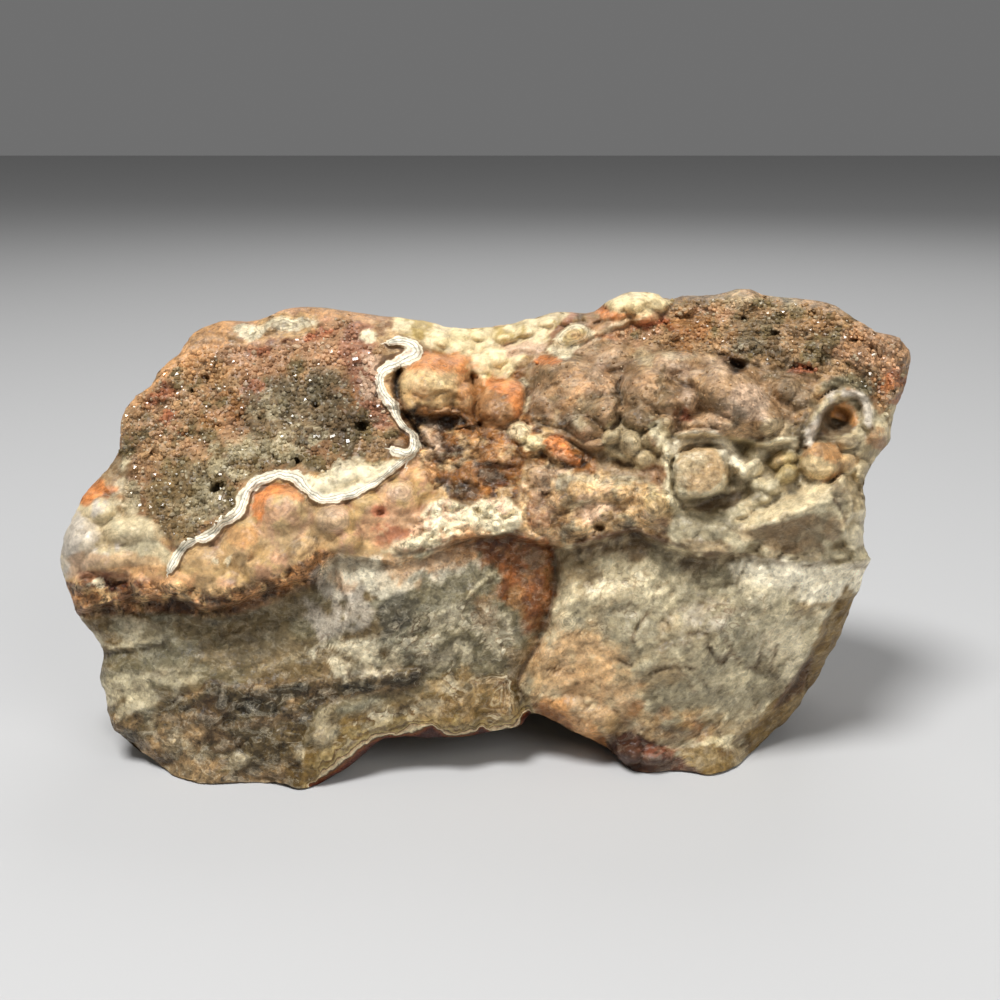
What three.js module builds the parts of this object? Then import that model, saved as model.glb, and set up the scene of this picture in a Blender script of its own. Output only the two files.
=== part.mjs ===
// A hand specimen of botryoidal lace agate, standing upright on its broken lower edge.
// It is one solid: two thick lobes joined at a waist, with a drusy hollow upper left, a lumpy drusy block upper
// right, a shelf of lace agate across the middle and two broken faces below the shelf.
// Millimetres, +X to the right, +Y away from the viewer, +Z up. The origin is the middle of the base.
//
// The front is worked out on a sight plane, square to the line of sight of an eye in front of the stone and a
// little above it. A place there is [across, up], counted from the front of the base, and depth is how far the
// surface lies behind that. The back is a rounded box drawn from the rim of the front.

import * as THREE from "three";

const stoneWidth = 104;
const eyeDistance = 182.93;
const eyeTilt = THREE.MathUtils.degToRad(15);
const sightAxisUp = 34.76; // where the line of sight crosses the sight plane
const middle = [0, 30]; // the outline is seen all round from here
const rimWidth = 2; // the front turns back over this width inside the outline
const rimDepth = 3.5;
const backDepth = 46;
const backMiddle = { x: 1, z: 27 };
const backHalfSize = { x: 50, z: 27 }; // the plain oval that the outline turns into towards the back
const baseFullness = 1.35; // lets the back bulge down to the base plane
const toeSteepness = 2; // of the front where it meets the base plane
const backBoxiness = 4.5; // 2 would be an ellipse from the rim to the middle of the back
const softness = 4; // how far one depth station blends into the next
const lumpRoundness = 0.6; // 0.5 is a ball, 1 a low dome
const backLumpRoundness = 1.5; // a dome that runs out gently

const columns = 94;
const rowsAbove = 30; // above the shelf's edge
const rowsBelow = 12;
const rimPointsPerRingPoint = [2, 4, 4, 4, 4, 4, 4, 4, 4, 8, 8]; // for each ring of the back

// The outline on the sight plane, clockwise in six runs. Each ends at the first point of the next.
const outline = {
  leftAbove: [
    [-52.2, 21.4], [-53.2, 24.6], [-53.9, 27.4], [-53.4, 30.5], [-51.4, 34.8], [-48.5, 38.4], [-46.9, 40.6],
    [-46.6, 44.5],
  ],
  top: [
    [-44.8, 47.6], [-42.5, 49.3], [-41.8, 50.9], [-39.6, 52.6], [-37.8, 55.2], [-34.5, 56.9], [-30.0, 57.0],
    [-26.8, 58.6], [-23.0, 59.0], [-16.0, 57.9], [-9.0, 57.0], [-6.5, 56.3], [-1.0, 56.3], [3.5, 57.3],
    [7.5, 58.3], [11.3, 58.1], [13.5, 60.0], [16.0, 61.1], [19.4, 61.0], [20.8, 59.9], [22.5, 60.5],
    [27.0, 60.7], [30.2, 61.6], [33.5, 60.4], [38.0, 60.0], [41.2, 59.1], [43.4, 57.5], [46.5, 55.6],
  ],
  rightAbove: [
    [49.2, 54.8], [50.2, 52.8], [49.8, 49.2], [48.3, 45.2], [47.9, 42.3], [46.1, 39.8], [44.7, 36.2],
    [45.1, 33.5], [44.5, 29.6],
  ],
  rightBelow: [[45.4, 27.6], [44.4, 24.7], [43.2, 21.6], [41.2, 17.0], [38.3, 12.0], [35.2, 7.8], [32.0, 4.8]],
  base: [
    [29.0, 2.0], [26.2, 1.0], [22.0, 1.5], [16.4, 1.6], [13.2, 4.3], [9.6, 6.0], [4.2, 8.4], [2.3, 6.9],
    [-2.0, 6.0], [-7.6, 5.4], [-14.2, 5.3], [-18.0, 2.4], [-22.0, 0.0], [-24.4, -0.8], [-28.5, 0.1],
    [-37.2, 0.1], [-41.6, 2.0],
  ],
  leftBelow: [[-44.6, 4.9], [-47.6, 6.9], [-48.3, 10.4], [-49.0, 12.8], [-48.8, 16.2], [-51.6, 20.4]],
};

// The edge of the tan shelf, from left to right: [across, up, drop to the face below].
const shelfEdge = [
  [-52.2, 21.4, 1.5], [-50, 21.6, 3], [-45, 22.9, 4], [-40, 23.2, 4.2], [-36, 21.8, 4.5], [-33, 22.4, 4.5],
  [-29, 24.2, 4.5], [-23, 26.0, 4.2], [-20.2, 28.4, 3.6], [-16, 27.6, 2.2], [-12.5, 27.2, 1.6],
  [-8, 28.8, 2], [-3, 30.4, 2.6], [1.5, 30.6, 3.4], [5, 29.6, 4], [9, 29.4, 4.4], [14, 30.6, 4.6],
  [17, 31.4, 4.6], [20, 29.6, 4.4], [23, 28.6, 3.6], [29, 28.0, 2.4], [33, 27.6, 2], [38, 27.0, 2],
  [41, 27.6, 1.6], [45.4, 27.6, 1.2],
];

// Depth stations: [across, up, depth behind the nearest point of the base], grouped by the form they describe.
const stations = {
  lowerLeftFace: [
    [-47, 8, 6], [-42, 5, 3], [-37, 3, 1.5], [-30, 3, -0.3], [-24, 0, -2.6], [-24, 4, -1.2], [-18, 5, 0.8],
    [-12, 8, 2.5],
    [-5, 8, 3], [1, 9, 4], [-47, 14, 5], [-40, 14, 1.5], [-30, 12, 0.5], [-20, 12, 0.3], [-10, 14, 1],
    [-3, 14, 2.5], [2, 14, 5], [-49, 19, 6], [-42, 19, 3], [-34, 19, 2], [-25, 20, 1.2], [-15, 20, 0.6],
    [-8, 20, 0.2], [-1, 20, 2], [4, 22, 5], [-5, 26, 2], [1, 27, 4],
  ],
  tanShelf: [
    [-52, 27, 9], [-50, 24, 8], [-46, 26, 4], [-40, 25, 1.2], [-34, 24, -0.4], [-28, 27, -0.6], [-22, 30, 0.4],
    [-16, 32, 1.5], [-11, 37, 5], [-6, 39, 8], [-38, 29, 1.2], [-32, 32, 2], [-26, 35, 2.6], [-19, 34.5, 2.6],
  ],
  palePillow: [[-52, 31, 10], [-48, 31, 6], [-43, 31, 4], [-49, 36, 13], [-47, 39, 15]],
  druseHollow: [
    [-41, 36, 9.5], [-35, 37, 8.5], [-28, 41, 10], [-20, 41, 10], [-44, 42, 14], [-38, 45, 15.5],
    [-30, 47, 16.5], [-22, 48, 16], [-17, 46, 13.5], [-42, 48, 19], [-36, 53, 22], [-28, 54, 23],
    [-20, 54, 21.5], [-15, 54, 19],
    [-24, 59, 27], [-35, 56.5, 25], [-12, 57, 27], [-14, 48, 11.5], [-12.5, 42, 8],
  ],
  saddle: [
    [-5, 56.4, 32], [0, 56.4, 33], [6, 58, 31], [-5, 53.5, 22], [3, 53.5, 20], [10, 56, 23], [-8, 51, 14.5],
    [0, 51, 16.5], [16, 60, 28], [16, 57, 22],
  ],
  middleValley: [
    [-8, 45, 10.5], [-3, 43, 12], [-6, 41, 10.5], [-1, 38, 8], [-3, 35.5, 6.5], [2, 40, 10], [0, 33, 3],
    [-6, 32, 2], [-11, 30, 2.5],
  ],
  tanTongue: [[6, 37, 5], [12, 36, 3], [18, 35, 1.5], [8, 33, 3.5], [14, 33, 2.2], [20, 33, 2.4], [9, 40, 7]],
  lumpyBlock: [
    [6, 46, 11], [11, 46, 7.5], [17, 46, 6.5], [23, 46, 6], [29, 45, 5.5], [34, 45, 8.5], [36, 48, 11],
    [22, 51, 9.5], [28, 51, 11], [12, 51, 13], [33, 52, 14], [8, 52, 17], [15, 54, 18],
  ],
  druseCrown: [
    [22, 57, 21], [28, 56, 19], [34, 56, 19], [40, 54, 16], [45, 53, 15], [48, 52, 17], [30, 61, 29],
    [38, 59.5, 27], [22, 60, 27], [44, 57, 23], [49, 54, 22], [40, 50, 12], [45, 49, 13.5], [49, 48, 20],
  ],
  paleCluster: [
    [16, 41, 8], [24, 41, 7.5], [24, 37, 4.5], [30, 39, 8], [34, 39, 7.5], [40, 39, 7], [43, 39, 9.5],
    [46, 40, 15], [41, 44, 9], [46.5, 44, 15], [30, 34, 4.5], [36, 34.5, 2.5], [41, 34, 4], [44.5, 33, 9],
    [25, 32, 2.2], [34, 31, 3.4], [42, 29, 5], [45, 28, 10],
  ],
  lowerRightFace: [
    [12, 27, 4], [20, 26, 3.6], [28, 26, 3], [36, 26, 3], [42, 26, 7], [9, 22, 4], [16, 20, 2.6], [24, 19, 2.2],
    [32, 19, 3], [37.5, 20, 5], [42, 20, 12], [6, 15, 5], [12, 13, 3], [20, 12, 2], [28, 12, 3.4], [33, 12, 6],
    [37, 13, 13], [10, 8, 4], [16, 7, 4], [22, 5, 3.4], [28, 5, 6], [31, 5, 10], [20, 2, 5], [26, 1.5, 4],
    [35, 8.5, 13],
  ],
};

// Lumps: at [across, up], size [half width, half height], turned by degrees, standing proud of the surface.
const lumps = [
  // boulders of orange chalcedony in the middle valley
  { at: [-8, 48.6], size: [4.1, 4.0], turn: 0, proud: 4.5 },
  { at: [0.2, 46.4], size: [2.9, 3.2], turn: -15, proud: 3.5 },
  { at: [3.0, 42.3], size: [1.9, 1.7], turn: 0, proud: 1.9 },
  { at: [7.6, 40.6], size: [2.9, 1.6], turn: -28, proud: 2.2 },
  // cream balls along the saddle
  { at: [-7.2, 54.2], size: [1.8, 1.6], turn: 0, proud: 1.8 },
  { at: [-1.4, 51.8], size: [2.4, 2.0], turn: 0, proud: 2.2 },
  { at: [1.0, 55.0], size: [2.8, 1.5], turn: 0, proud: 2.2 },
  { at: [5.0, 56.4], size: [2.2, 1.7], turn: 0, proud: 2.2 },
  { at: [16.6, 59.0], size: [3.4, 2.6], turn: 0, proud: 3.8 },
  { at: [14.0, 57.6], size: [2.2, 1.6], turn: 15, proud: 2.8 },
  { at: [9.6, 54.6], size: [3.6, 1.8], turn: 22, proud: 2.2 },
  // grey and tan lumps hanging from the right-hand block
  { at: [5.6, 46.6], size: [3.0, 3.6], turn: 0, proud: 2.0 },
  { at: [10.8, 47.4], size: [4.6, 4.8], turn: -20, proud: 3.5 },
  { at: [17.8, 47.6], size: [3.6, 3.8], turn: 0, proud: 3.2 },
  { at: [22.0, 50.6], size: [4.2, 2.2], turn: 8, proud: 2.8 },
  { at: [22.9, 46.8], size: [1.3, 1.8], turn: 0, proud: 2.0 },
  { at: [28.0, 46.6], size: [5.0, 4.4], turn: -25, proud: 4.0 },
  { at: [31.0, 45.4], size: [3.0, 3.2], turn: 0, proud: 3.8 },
  { at: [34.5, 48.4], size: [2.6, 2.0], turn: 0, proud: 2.2 },
  { at: [33.4, 43.0], size: [1.7, 1.5], turn: 0, proud: 2.0 },
  { at: [13.2, 42.6], size: [2.6, 2.0], turn: 0, proud: 2.5 },
  { at: [16.4, 41.8], size: [2.0, 2.0], turn: 0, proud: 2.8 },
  // pale botryoids under the block
  { at: [24.4, 38.2], size: [3.4, 3.1], turn: 0, proud: 4.0 },
  { at: [34.4, 39.6], size: [2.2, 1.4], turn: 18, proud: 2.4 },
  { at: [35.0, 37.8], size: [1.6, 1.3], turn: 25, proud: 2.1 },
  { at: [32.8, 35.8], size: [1.4, 1.4], turn: 0, proud: 1.8 },
  { at: [39.6, 39.4], size: [3.2, 2.4], turn: 12, proud: 3.5 },
  { at: [42.9, 39.2], size: [1.6, 1.5], turn: 0, proud: 2.4 },
  { at: [44.4, 38.2], size: [1.3, 1.7], turn: 0, proud: 2.1 },
  { at: [42.2, 41.7], size: [1.3, 1.2], turn: 0, proud: 1.9 },
  { at: [33.0, 29.0], size: [1.5, 1.3], turn: 0, proud: 1.6 },
  { at: [43.6, 31.2], size: [1.9, 2.8], turn: 0, proud: 2.2 },
  { at: [18.6, 34.8], size: [2.9, 2.8], turn: 0, proud: 2.0 },
  // white bubbly crust in the middle of the shelf
  { at: [-7.2, 33.3], size: [2.0, 1.9], turn: 0, proud: 2.1 },
  { at: [-4.4, 32.6], size: [1.9, 1.7], turn: 0, proud: 1.9 },
  { at: [-0.2, 33.0], size: [2.4, 1.9], turn: 0, proud: 2.2 },
  { at: [-9.8, 31.4], size: [1.8, 1.6], turn: 0, proud: 1.8 },
  { at: [-12.3, 29.1], size: [1.1, 1.1], turn: 0, proud: 1.5 },
  // pale pillows at the left end and botryoids in the tan shelf
  { at: [-50.6, 29.6], size: [3.4, 3.6], turn: 0, proud: 2.4 },
  { at: [-48.4, 33.2], size: [2.4, 1.9], turn: 12, proud: 2.1 },
  { at: [-45.4, 30.6], size: [4.2, 2.5], turn: 0, proud: 1.9 },
  { at: [-47.2, 27.0], size: [4.6, 2.4], turn: 0, proud: 2.0 },
  { at: [-25.6, 33.6], size: [3.9, 3.9], turn: 0, proud: 1.9 },
  { at: [-31.6, 28.9], size: [3.2, 3.0], turn: 0, proud: 1.6 },
  { at: [-36.6, 26.2], size: [3.4, 3.0], turn: 0, proud: 1.6 },
  { at: [-20.4, 32.2], size: [3.0, 2.6], turn: 0, proud: 1.5 },
  // dark red lumps under the right-hand foot and round scallops along the lower edge
  { at: [18.2, 3.2], size: [3.0, 1.7], turn: 0, proud: 1.8 },
  { at: [12.2, 7.6], size: [3.6, 2.6], turn: 0, proud: 1.5 },
  { at: [0.5, 9.0], size: [2.6, 2.4], turn: 0, proud: 1.1 },
  { at: [-5.0, 8.4], size: [3.2, 2.6], turn: 0, proud: 1.0 },
];

// Ledges: [across, up, drop] from left to right. Below the line the surface drops back, then recovers.
const ledges = [
  { lip: 1.1, reach: 7, line: shelfEdge },
  {
    // the undercut below the right-hand block, above the pale botryoids
    lip: 1.6, reach: 4.5,
    line: [
      [4, 44, 0.6], [9, 42.4, 1.8], [13, 40.6, 2], [17, 40.2, 1.8], [21, 42.8, 2], [25, 43.0, 2.4],
      [29, 42.4, 2.6], [32.5, 41.8, 2], [36, 42.6, 0.8], [38, 43, 0],
    ],
  },
  {
    // the pale angular block over the hollow at the right
    lip: 1.4, reach: 3.4,
    line: [[28, 30.8, 0], [31, 31.8, 1.6], [36, 32.8, 2.4], [40, 31.2, 2.2], [42, 30.6, 0.6], [43, 30.6, 0]],
  },
  {
    // the broken step across the face of the middle boulder
    lip: 1.4, reach: 3.4,
    line: [[-12, 45.6, 0.6], [-9, 46.0, 2], [-5, 46.2, 1.8], [-3.6, 44.6, 0.4], [-3, 43, 0]],
  },
  {
    // the step under the square-cut botryoid
    lip: 1.4, reach: 3.0,
    line: [[22, 34.6, 0.4], [24.5, 35.2, 1.8], [27, 36.0, 1.8], [29.2, 35.4, 0.6], [30, 35, 0]],
  },
];

// Ridges stand up along a line, and grooves sink in along one.
const ridges = [
  {
    // the edge of the white lace band
    height: 0.8, half: 1.5,
    line: [
      [-40, 26.8], [-38.2, 29.4], [-35.6, 30.2], [-33.4, 32.4], [-31.2, 32.8], [-31.6, 35.2], [-29.8, 37.3],
      [-26.4, 37.9], [-22.2, 36.0], [-18.6, 37.8], [-14, 38.4], [-11, 40.6], [-10.4, 42.4], [-12.4, 44.6],
      [-13.2, 46.8], [-14.6, 49.4], [-13.6, 51.2], [-11.2, 51.6], [-9.8, 53.4],
    ],
  },
  {
    // the white rim of the hollow tube
    height: 1.7, half: 1.6,
    line: [[37.8, 42.4], [38.4, 44.6], [40.0, 46.4], [42.2, 47.4], [44.0, 46.8], [44.6, 45.2], [44.0, 43.8]],
  },
  { height: 1.1, half: 1.4, line: [[21.6, 41.2], [24.0, 41.9], [26.0, 42.0], [28.0, 40.8], [28.8, 39.0]] },
  { height: 1.2, half: 1.4, line: [[29.0, 38.8], [31.2, 39.6], [33.0, 41.2], [35.4, 42.0]] },
  { height: 0.6, half: 1.4, line: [[-10.5, 19.6], [-7, 20.8], [-4, 22.6], [-1, 25.6]] },
];
const grooves = [
  { depth: 2.4, half: 2.0, line: [[-12.9, 50.2], [-12.3, 47.0], [-11.8, 45.0], [-10.4, 43.2], [-9.0, 41.2]] },
  {
    depth: 2.4, half: 3.0,
    line: [[7.0, 29.0], [6.9, 25.0], [6.2, 20.6], [4.6, 17.2], [3.2, 13.6], [3.4, 9.6]],
  },
  { depth: 1.8, half: 1.9, line: [[14.7, 48.6], [14.6, 46.4], [14.2, 44.6]] },
  { depth: 1.6, half: 1.8, line: [[21.4, 39.6], [21.3, 36.8], [21.9, 34.4]] },
  { depth: 1.8, half: 1.9, line: [[26.8, 52.0], [28.6, 51.4], [29.6, 50.0]] },
];
const pits = [
  { at: [-24.8, 39.7], half: 1.8, depth: 1.4 },
  { at: [-34.2, 36.6], half: 1.9, depth: 1.4 },
  { at: [-16.8, 43.8], half: 1.9, depth: 1.4 },
  { at: [40.8, 43.8], half: 2.9, depth: 3.0 },
];

// Lumps of the natural outside at the back, in the same terms, standing proud of it.
const backLumps = [
  { at: [-34, 36], size: [9, 7], turn: 20, proud: 3.2 }, { at: [-20, 44], size: [8, 6], turn: -10, proud: 2.8 },
  { at: [-28, 22], size: [8, 7], turn: 0, proud: 2.6 }, { at: [-10, 30], size: [7, 8], turn: 15, proud: 2.4 },
  { at: [2, 42], size: [7, 5], turn: 0, proud: 2.2 }, { at: [12, 26], size: [8, 7], turn: -20, proud: 2.8 },
  { at: [26, 40], size: [9, 8], turn: 10, proud: 3.4 }, { at: [34, 24], size: [7, 8], turn: 0, proud: 2.6 },
  { at: [-42, 26], size: [5, 6], turn: 0, proud: 2.0 }, { at: [18, 12], size: [7, 5], turn: 0, proud: 2.0 },
  { at: [-14, 14], size: [8, 5], turn: 0, proud: 2.2 }, { at: [38, 46], size: [5, 4], turn: 0, proud: 2.0 },
];

// Feet that the stone stands on, each worn flat on the base plane: place on that plane and roundness.
const feet = [
  { x: -31, y: 9, round: 24 }, { x: -23, y: 34, round: 24 },
  { x: 23, y: 12, round: 24 }, { x: 22, y: 34, round: 24 },
];
const footSink = 1.6; // how far a round foot would reach below the base plane if it weren't worn flat
const hollowHeight = 4.5; // the underside between the feet

// Fields of crusted crystals: the crust's unevenness fades out towards the edge of each ellipse.
const druseFields = [
  { at: [-29, 45], half: [18, 13], strength: 1 }, { at: [34, 55], half: [17, 7], strength: 1 },
  { at: [5, 34], half: [5, 6], strength: 0.7 },
];
const crustLumpSizes = [4.6, 2.9];

// The slow unevenness of the sides and back: a sum of waves, each with its direction, length and strength.
const waves = [
  { way: [0.8, 0.3, 0.5], length: 23, strength: 0.55 }, { way: [-0.4, 0.7, 0.6], length: 17, strength: 0.5 },
  { way: [0.2, -0.5, 0.85], length: 13, strength: 0.45 }, { way: [0.6, 0.6, -0.5], length: 10, strength: 0.35 },
  { way: [-0.7, 0.2, 0.7], length: 8, strength: 0.3 },
];

const sinTilt = Math.sin(eyeTilt);
const cosTilt = Math.cos(eyeTilt);
const eye = {
  y: -(eyeDistance * cosTilt - sightAxisUp * sinTilt),
  z: eyeDistance * sinTilt + sightAxisUp * cosTilt,
};

// The line of sight through a place on the sight plane, per unit of distance along the axis of view.
function sightLine([across, up]) {
  const rise = (up - sightAxisUp) / eyeDistance;
  return { x: across / eyeDistance, y: cosTilt + rise * sinTilt, z: -sinTilt + rise * cosTilt };
}

function pointAt(place, depth) {
  const line = sightLine(place);
  const run = (depth - eye.y) / line.y;
  return new THREE.Vector3(line.x * run, depth, eye.z + line.z * run);
}

// The depth at which a line of sight meets the plane that the stone stands on.
function floorDepth(place) {
  const line = sightLine(place);
  return line.z < 0 ? eye.y - (eye.z / line.z) * line.y : Infinity;
}

function smoothStep(from, to, value) {
  return THREE.MathUtils.smoothstep(value, from, to);
}

// Nearest place on a line of points: how far, on which side (positive below), and its third value there.
function nearestOn(line, [across, up]) {
  let best = { distance: Infinity, below: 1, value: 0 };
  for (let i = 0; i < line.length - 1; i++) {
    const [ax, ay, av = 0] = line[i];
    const [bx, by, bv = 0] = line[i + 1];
    const share = THREE.MathUtils.clamp(
      ((across - ax) * (bx - ax) + (up - ay) * (by - ay)) / ((bx - ax) ** 2 + (by - ay) ** 2), 0, 1,
    );
    const distance = Math.hypot(across - ax - (bx - ax) * share, up - ay - (by - ay) * share);
    if (distance < best.distance) {
      const turn = (bx - ax) * (up - ay) - (by - ay) * (across - ax);
      best = { distance, below: turn < 0 ? 1 : -1, value: av + (bv - av) * share };
    }
  }
  return best;
}

// The broad form: an average of the stations, weighted by how near they are.
const allStations = Object.values(stations).flat();
function broadDepth([across, up]) {
  let total = 0;
  let sum = 0;
  for (const [a, u, depth] of allStations) {
    const weight = Math.exp(-((across - a) ** 2 + (up - u) ** 2) / (2 * softness ** 2)) + 1e-9;
    total += weight;
    sum += weight * depth;
  }
  return sum / total;
}

// How far a lump stands in front of the surface that it is bedded in.
function lumpRise(lump, [across, up], roundness) {
  const turn = THREE.MathUtils.degToRad(lump.turn);
  const dx = across - lump.at[0];
  const dy = up - lump.at[1];
  const u = (dx * Math.cos(turn) + dy * Math.sin(turn)) / lump.size[0];
  const v = (dy * Math.cos(turn) - dx * Math.sin(turn)) / lump.size[1];
  return lump.proud * Math.max(0, 1 - u * u - v * v) ** roundness;
}

function ledgeDrop(ledge, place) {
  const near = nearestOn(ledge.line, place);
  if (near.below < 0) return 0;
  return near.value * smoothStep(0, ledge.lip, near.distance) * Math.exp(-((near.distance / ledge.reach) ** 2));
}

// Random heights at the corners of square cells, between -0.5 and 0.5, blended smoothly in between.
function unevenness([across, up], size) {
  const cornerHeight = (i, j) => {
    const wave = Math.sin(i * 127.1 + j * 311.7) * 43758.5453;
    return wave - Math.floor(wave) - 0.5;
  };
  const i = Math.floor(across / size);
  const j = Math.floor(up / size);
  const u = smoothStep(0, 1, across / size - i);
  const v = smoothStep(0, 1, up / size - j);
  const below = cornerHeight(i, j) * (1 - u) + cornerHeight(i + 1, j) * u;
  const above = cornerHeight(i, j + 1) * (1 - u) + cornerHeight(i + 1, j + 1) * u;
  return below * (1 - v) + above * v;
}

function waviness(point) {
  return waves.reduce((sum, { way, length, strength }, k) => {
    const along = (way[0] * point.x + way[1] * point.y + way[2] * point.z) / Math.hypot(...way);
    return sum + strength * Math.sin((2 * Math.PI * along) / length + k * 1.7);
  }, 0);
}

function frontDepth(place) {
  let depth = broadDepth(place);
  for (const ledge of ledges) depth += ledgeDrop(ledge, place);
  depth -= Math.max(...lumps.map((lump) => lumpRise(lump, place, lumpRoundness)));
  for (const ridge of ridges) {
    const share = nearestOn(ridge.line, place).distance / ridge.half;
    depth -= ridge.height * Math.max(0, 1 - share * share) ** lumpRoundness;
  }
  for (const groove of grooves) {
    depth += groove.depth * (1 - smoothStep(0, groove.half, nearestOn(groove.line, place).distance));
  }
  for (const pit of pits) {
    const distance = Math.hypot(place[0] - pit.at[0], place[1] - pit.at[1]);
    depth += pit.depth * (1 - smoothStep(0.2 * pit.half, pit.half, distance));
  }
  for (const { at, half, strength } of druseFields) {
    const share = Math.hypot((place[0] - at[0]) / half[0], (place[1] - at[1]) / half[1]);
    const crust = crustLumpSizes.reduce((sum, size) => sum + 0.32 * size * unevenness(place, size), 0);
    depth += strength * crust * (1 - smoothStep(0.75, 1, share));
  }
  return depth;
}

// The outline as six smooth curves that meet end to end.
const runNames = Object.keys(outline);
const runs = {};
runNames.forEach((name, k) => {
  const next = outline[runNames[(k + 1) % runNames.length]];
  const points = [...outline[name], next[0]].map(([across, up]) => new THREE.Vector3(across, up, 0));
  runs[name] = new THREE.CatmullRomCurve3(points, false, "centripetal");
});
const wholeOutline = runNames.flatMap((name) => runs[name].getSpacedPoints(60).slice(1).map((p) => [p.x, p.y]));
const closedOutline = [wholeOutline.at(-1), ...wholeOutline];
const shelfCurve = new THREE.CatmullRomCurve3(
  shelfEdge.map(([across, up]) => new THREE.Vector3(across, up, 0)), false, "centripetal",
);

// The outline as a radius around the middle, for any direction.
const spokes = wholeOutline
  .map(([across, up]) => [across - middle[0], up - middle[1]])
  .map(([dx, dy]) => [Math.atan2(dy, dx), Math.hypot(dx, dy)])
  .sort((a, b) => a[0] - b[0]);
function outlineRadius(angle) {
  const next = spokes.findIndex(([a]) => a > angle);
  const [from, to] = next > 0 ? [spokes[next - 1], spokes[next]] : [spokes.at(-1), spokes[0]];
  const span = (to[0] - from[0] + 2 * Math.PI) % (2 * Math.PI) || 1;
  const along = (angle - from[0] + 2 * Math.PI) % (2 * Math.PI);
  return from[1] + ((to[1] - from[1]) * along) / span;
}

// The front turns back towards the outline in a quarter of an ellipse.
function rimTurn(inset) {
  const share = Math.min(inset / rimWidth, 1);
  return rimDepth * (1 - Math.sqrt(1 - (1 - share) ** 2));
}

function frontPoint(place) {
  const inset = nearestOn(closedOutline, place).distance;
  const depth = frontDepth(place) + rimTurn(inset);
  return pointAt(place, Math.min(depth, floorDepth(place) - toeSteepness * inset));
}

// Shares of the way across a patch, closer together near both ends.
function shares(count) {
  const steps = [];
  for (let i = 0; i < count; i++) steps.push([0.3, 0.5, 0.8][Math.min(i, count - 1 - i)] ?? 1);
  const total = steps.reduce((sum, step) => sum + step, 0);
  let sum = 0;
  return [0, ...steps.map((step) => (sum += step) / total)];
}

// A patch of places between four curves: each row runs from the left curve to the right one.
function patch(below, above, left, right, rows) {
  return shares(rows).map((v) =>
    shares(columns).map((u) => {
      const place = new THREE.Vector3();
      place.addScaledVector(below(u), 1 - v).addScaledVector(above(u), v);
      place.addScaledVector(left(v), 1 - u).addScaledVector(right(v), u);
      place.addScaledVector(below(0), -(1 - u) * (1 - v)).addScaledVector(below(1), -u * (1 - v));
      place.addScaledVector(above(0), -(1 - u) * v).addScaledVector(above(1), -u * v);
      return [place.x, place.y];
    }),
  );
}

const along = (curve) => (share) => curve.getPointAt(share);
const against = (curve) => (share) => curve.getPointAt(1 - share);
const placesBelow = patch(
  against(runs.base), along(shelfCurve), along(runs.leftBelow), against(runs.rightBelow), rowsBelow,
);
const placesAbove = patch(
  along(shelfCurve), along(runs.top), along(runs.leftAbove), against(runs.rightAbove), rowsAbove,
);
const rows = [...placesBelow, ...placesAbove.slice(1)];

// How high the underside is off the base plane: worn flat at the feet, hollow between them.
function undersideHeight(x, y) {
  const rise = Math.min(...feet.map((foot) => Math.hypot(x - foot.x, y - foot.y) ** 2 / (2 * foot.round)));
  return THREE.MathUtils.clamp(rise - footSink, 0, hollowHeight + 2.4 * unevenness([x, y], 6));
}

// A point of the back, a share of the way from the rim to the middle of the back.
function backPoint(rim, share) {
  const turn = share * (Math.PI / 2);
  const size = (Math.cos(turn) ** backBoxiness + Math.sin(turn) ** backBoxiness) ** (-1 / backBoxiness);
  const inward = size * Math.cos(turn);
  const back = size * Math.sin(turn);
  const [dx, rise] = [rim.x - backMiddle.x, rim.z - backMiddle.z];
  const oval = 1 / Math.hypot(dx / backHalfSize.x, rise / backHalfSize.z);
  const dz = rise < 0 ? rise * THREE.MathUtils.lerp(1, baseFullness, smoothStep(0, 0.3, back)) : rise;
  const reach = inward * THREE.MathUtils.lerp(1, oval, smoothStep(0.3, 0.9, back));
  const point = new THREE.Vector3(
    backMiddle.x + dx * reach, rim.y + (backDepth - rim.y) * back, backMiddle.z + dz * reach,
  );
  const rises = backLumps.map((lump) => lumpRise(lump, [point.x, point.z], backLumpRoundness));
  point.y += rises.reduce((sum, rise) => sum + rise, 0) * smoothStep(0.7, 0.95, back);
  const outward = new THREE.Vector3(dx * reach, (point.y - rim.y) * 1.6, dz * reach);
  point.addScaledVector(outward.normalize(), waviness(point) * smoothStep(0, 0.3, back));

  // keep it out of sight from the front, and off the base plane
  const run = ((point.y - eye.y) * cosTilt - (point.z - eye.z) * sinTilt) / eyeDistance;
  const across = point.x / run;
  const up = sightAxisUp + ((point.y - eye.y) * sinTilt + (point.z - eye.z) * cosTilt) / run;
  const angle = Math.atan2(up - middle[1], across - middle[0]);
  const limit = outlineRadius(angle) * (1 - 0.02 * Math.min(1, 4 * share));
  if (Math.hypot(across - middle[0], up - middle[1]) > limit) {
    const place = [middle[0] + Math.cos(angle) * limit, middle[1] + Math.sin(angle) * limit];
    point.copy(pointAt(place, point.y));
  }
  point.z = Math.max(point.z, undersideHeight(point.x, point.y));
  return point;
}

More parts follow.
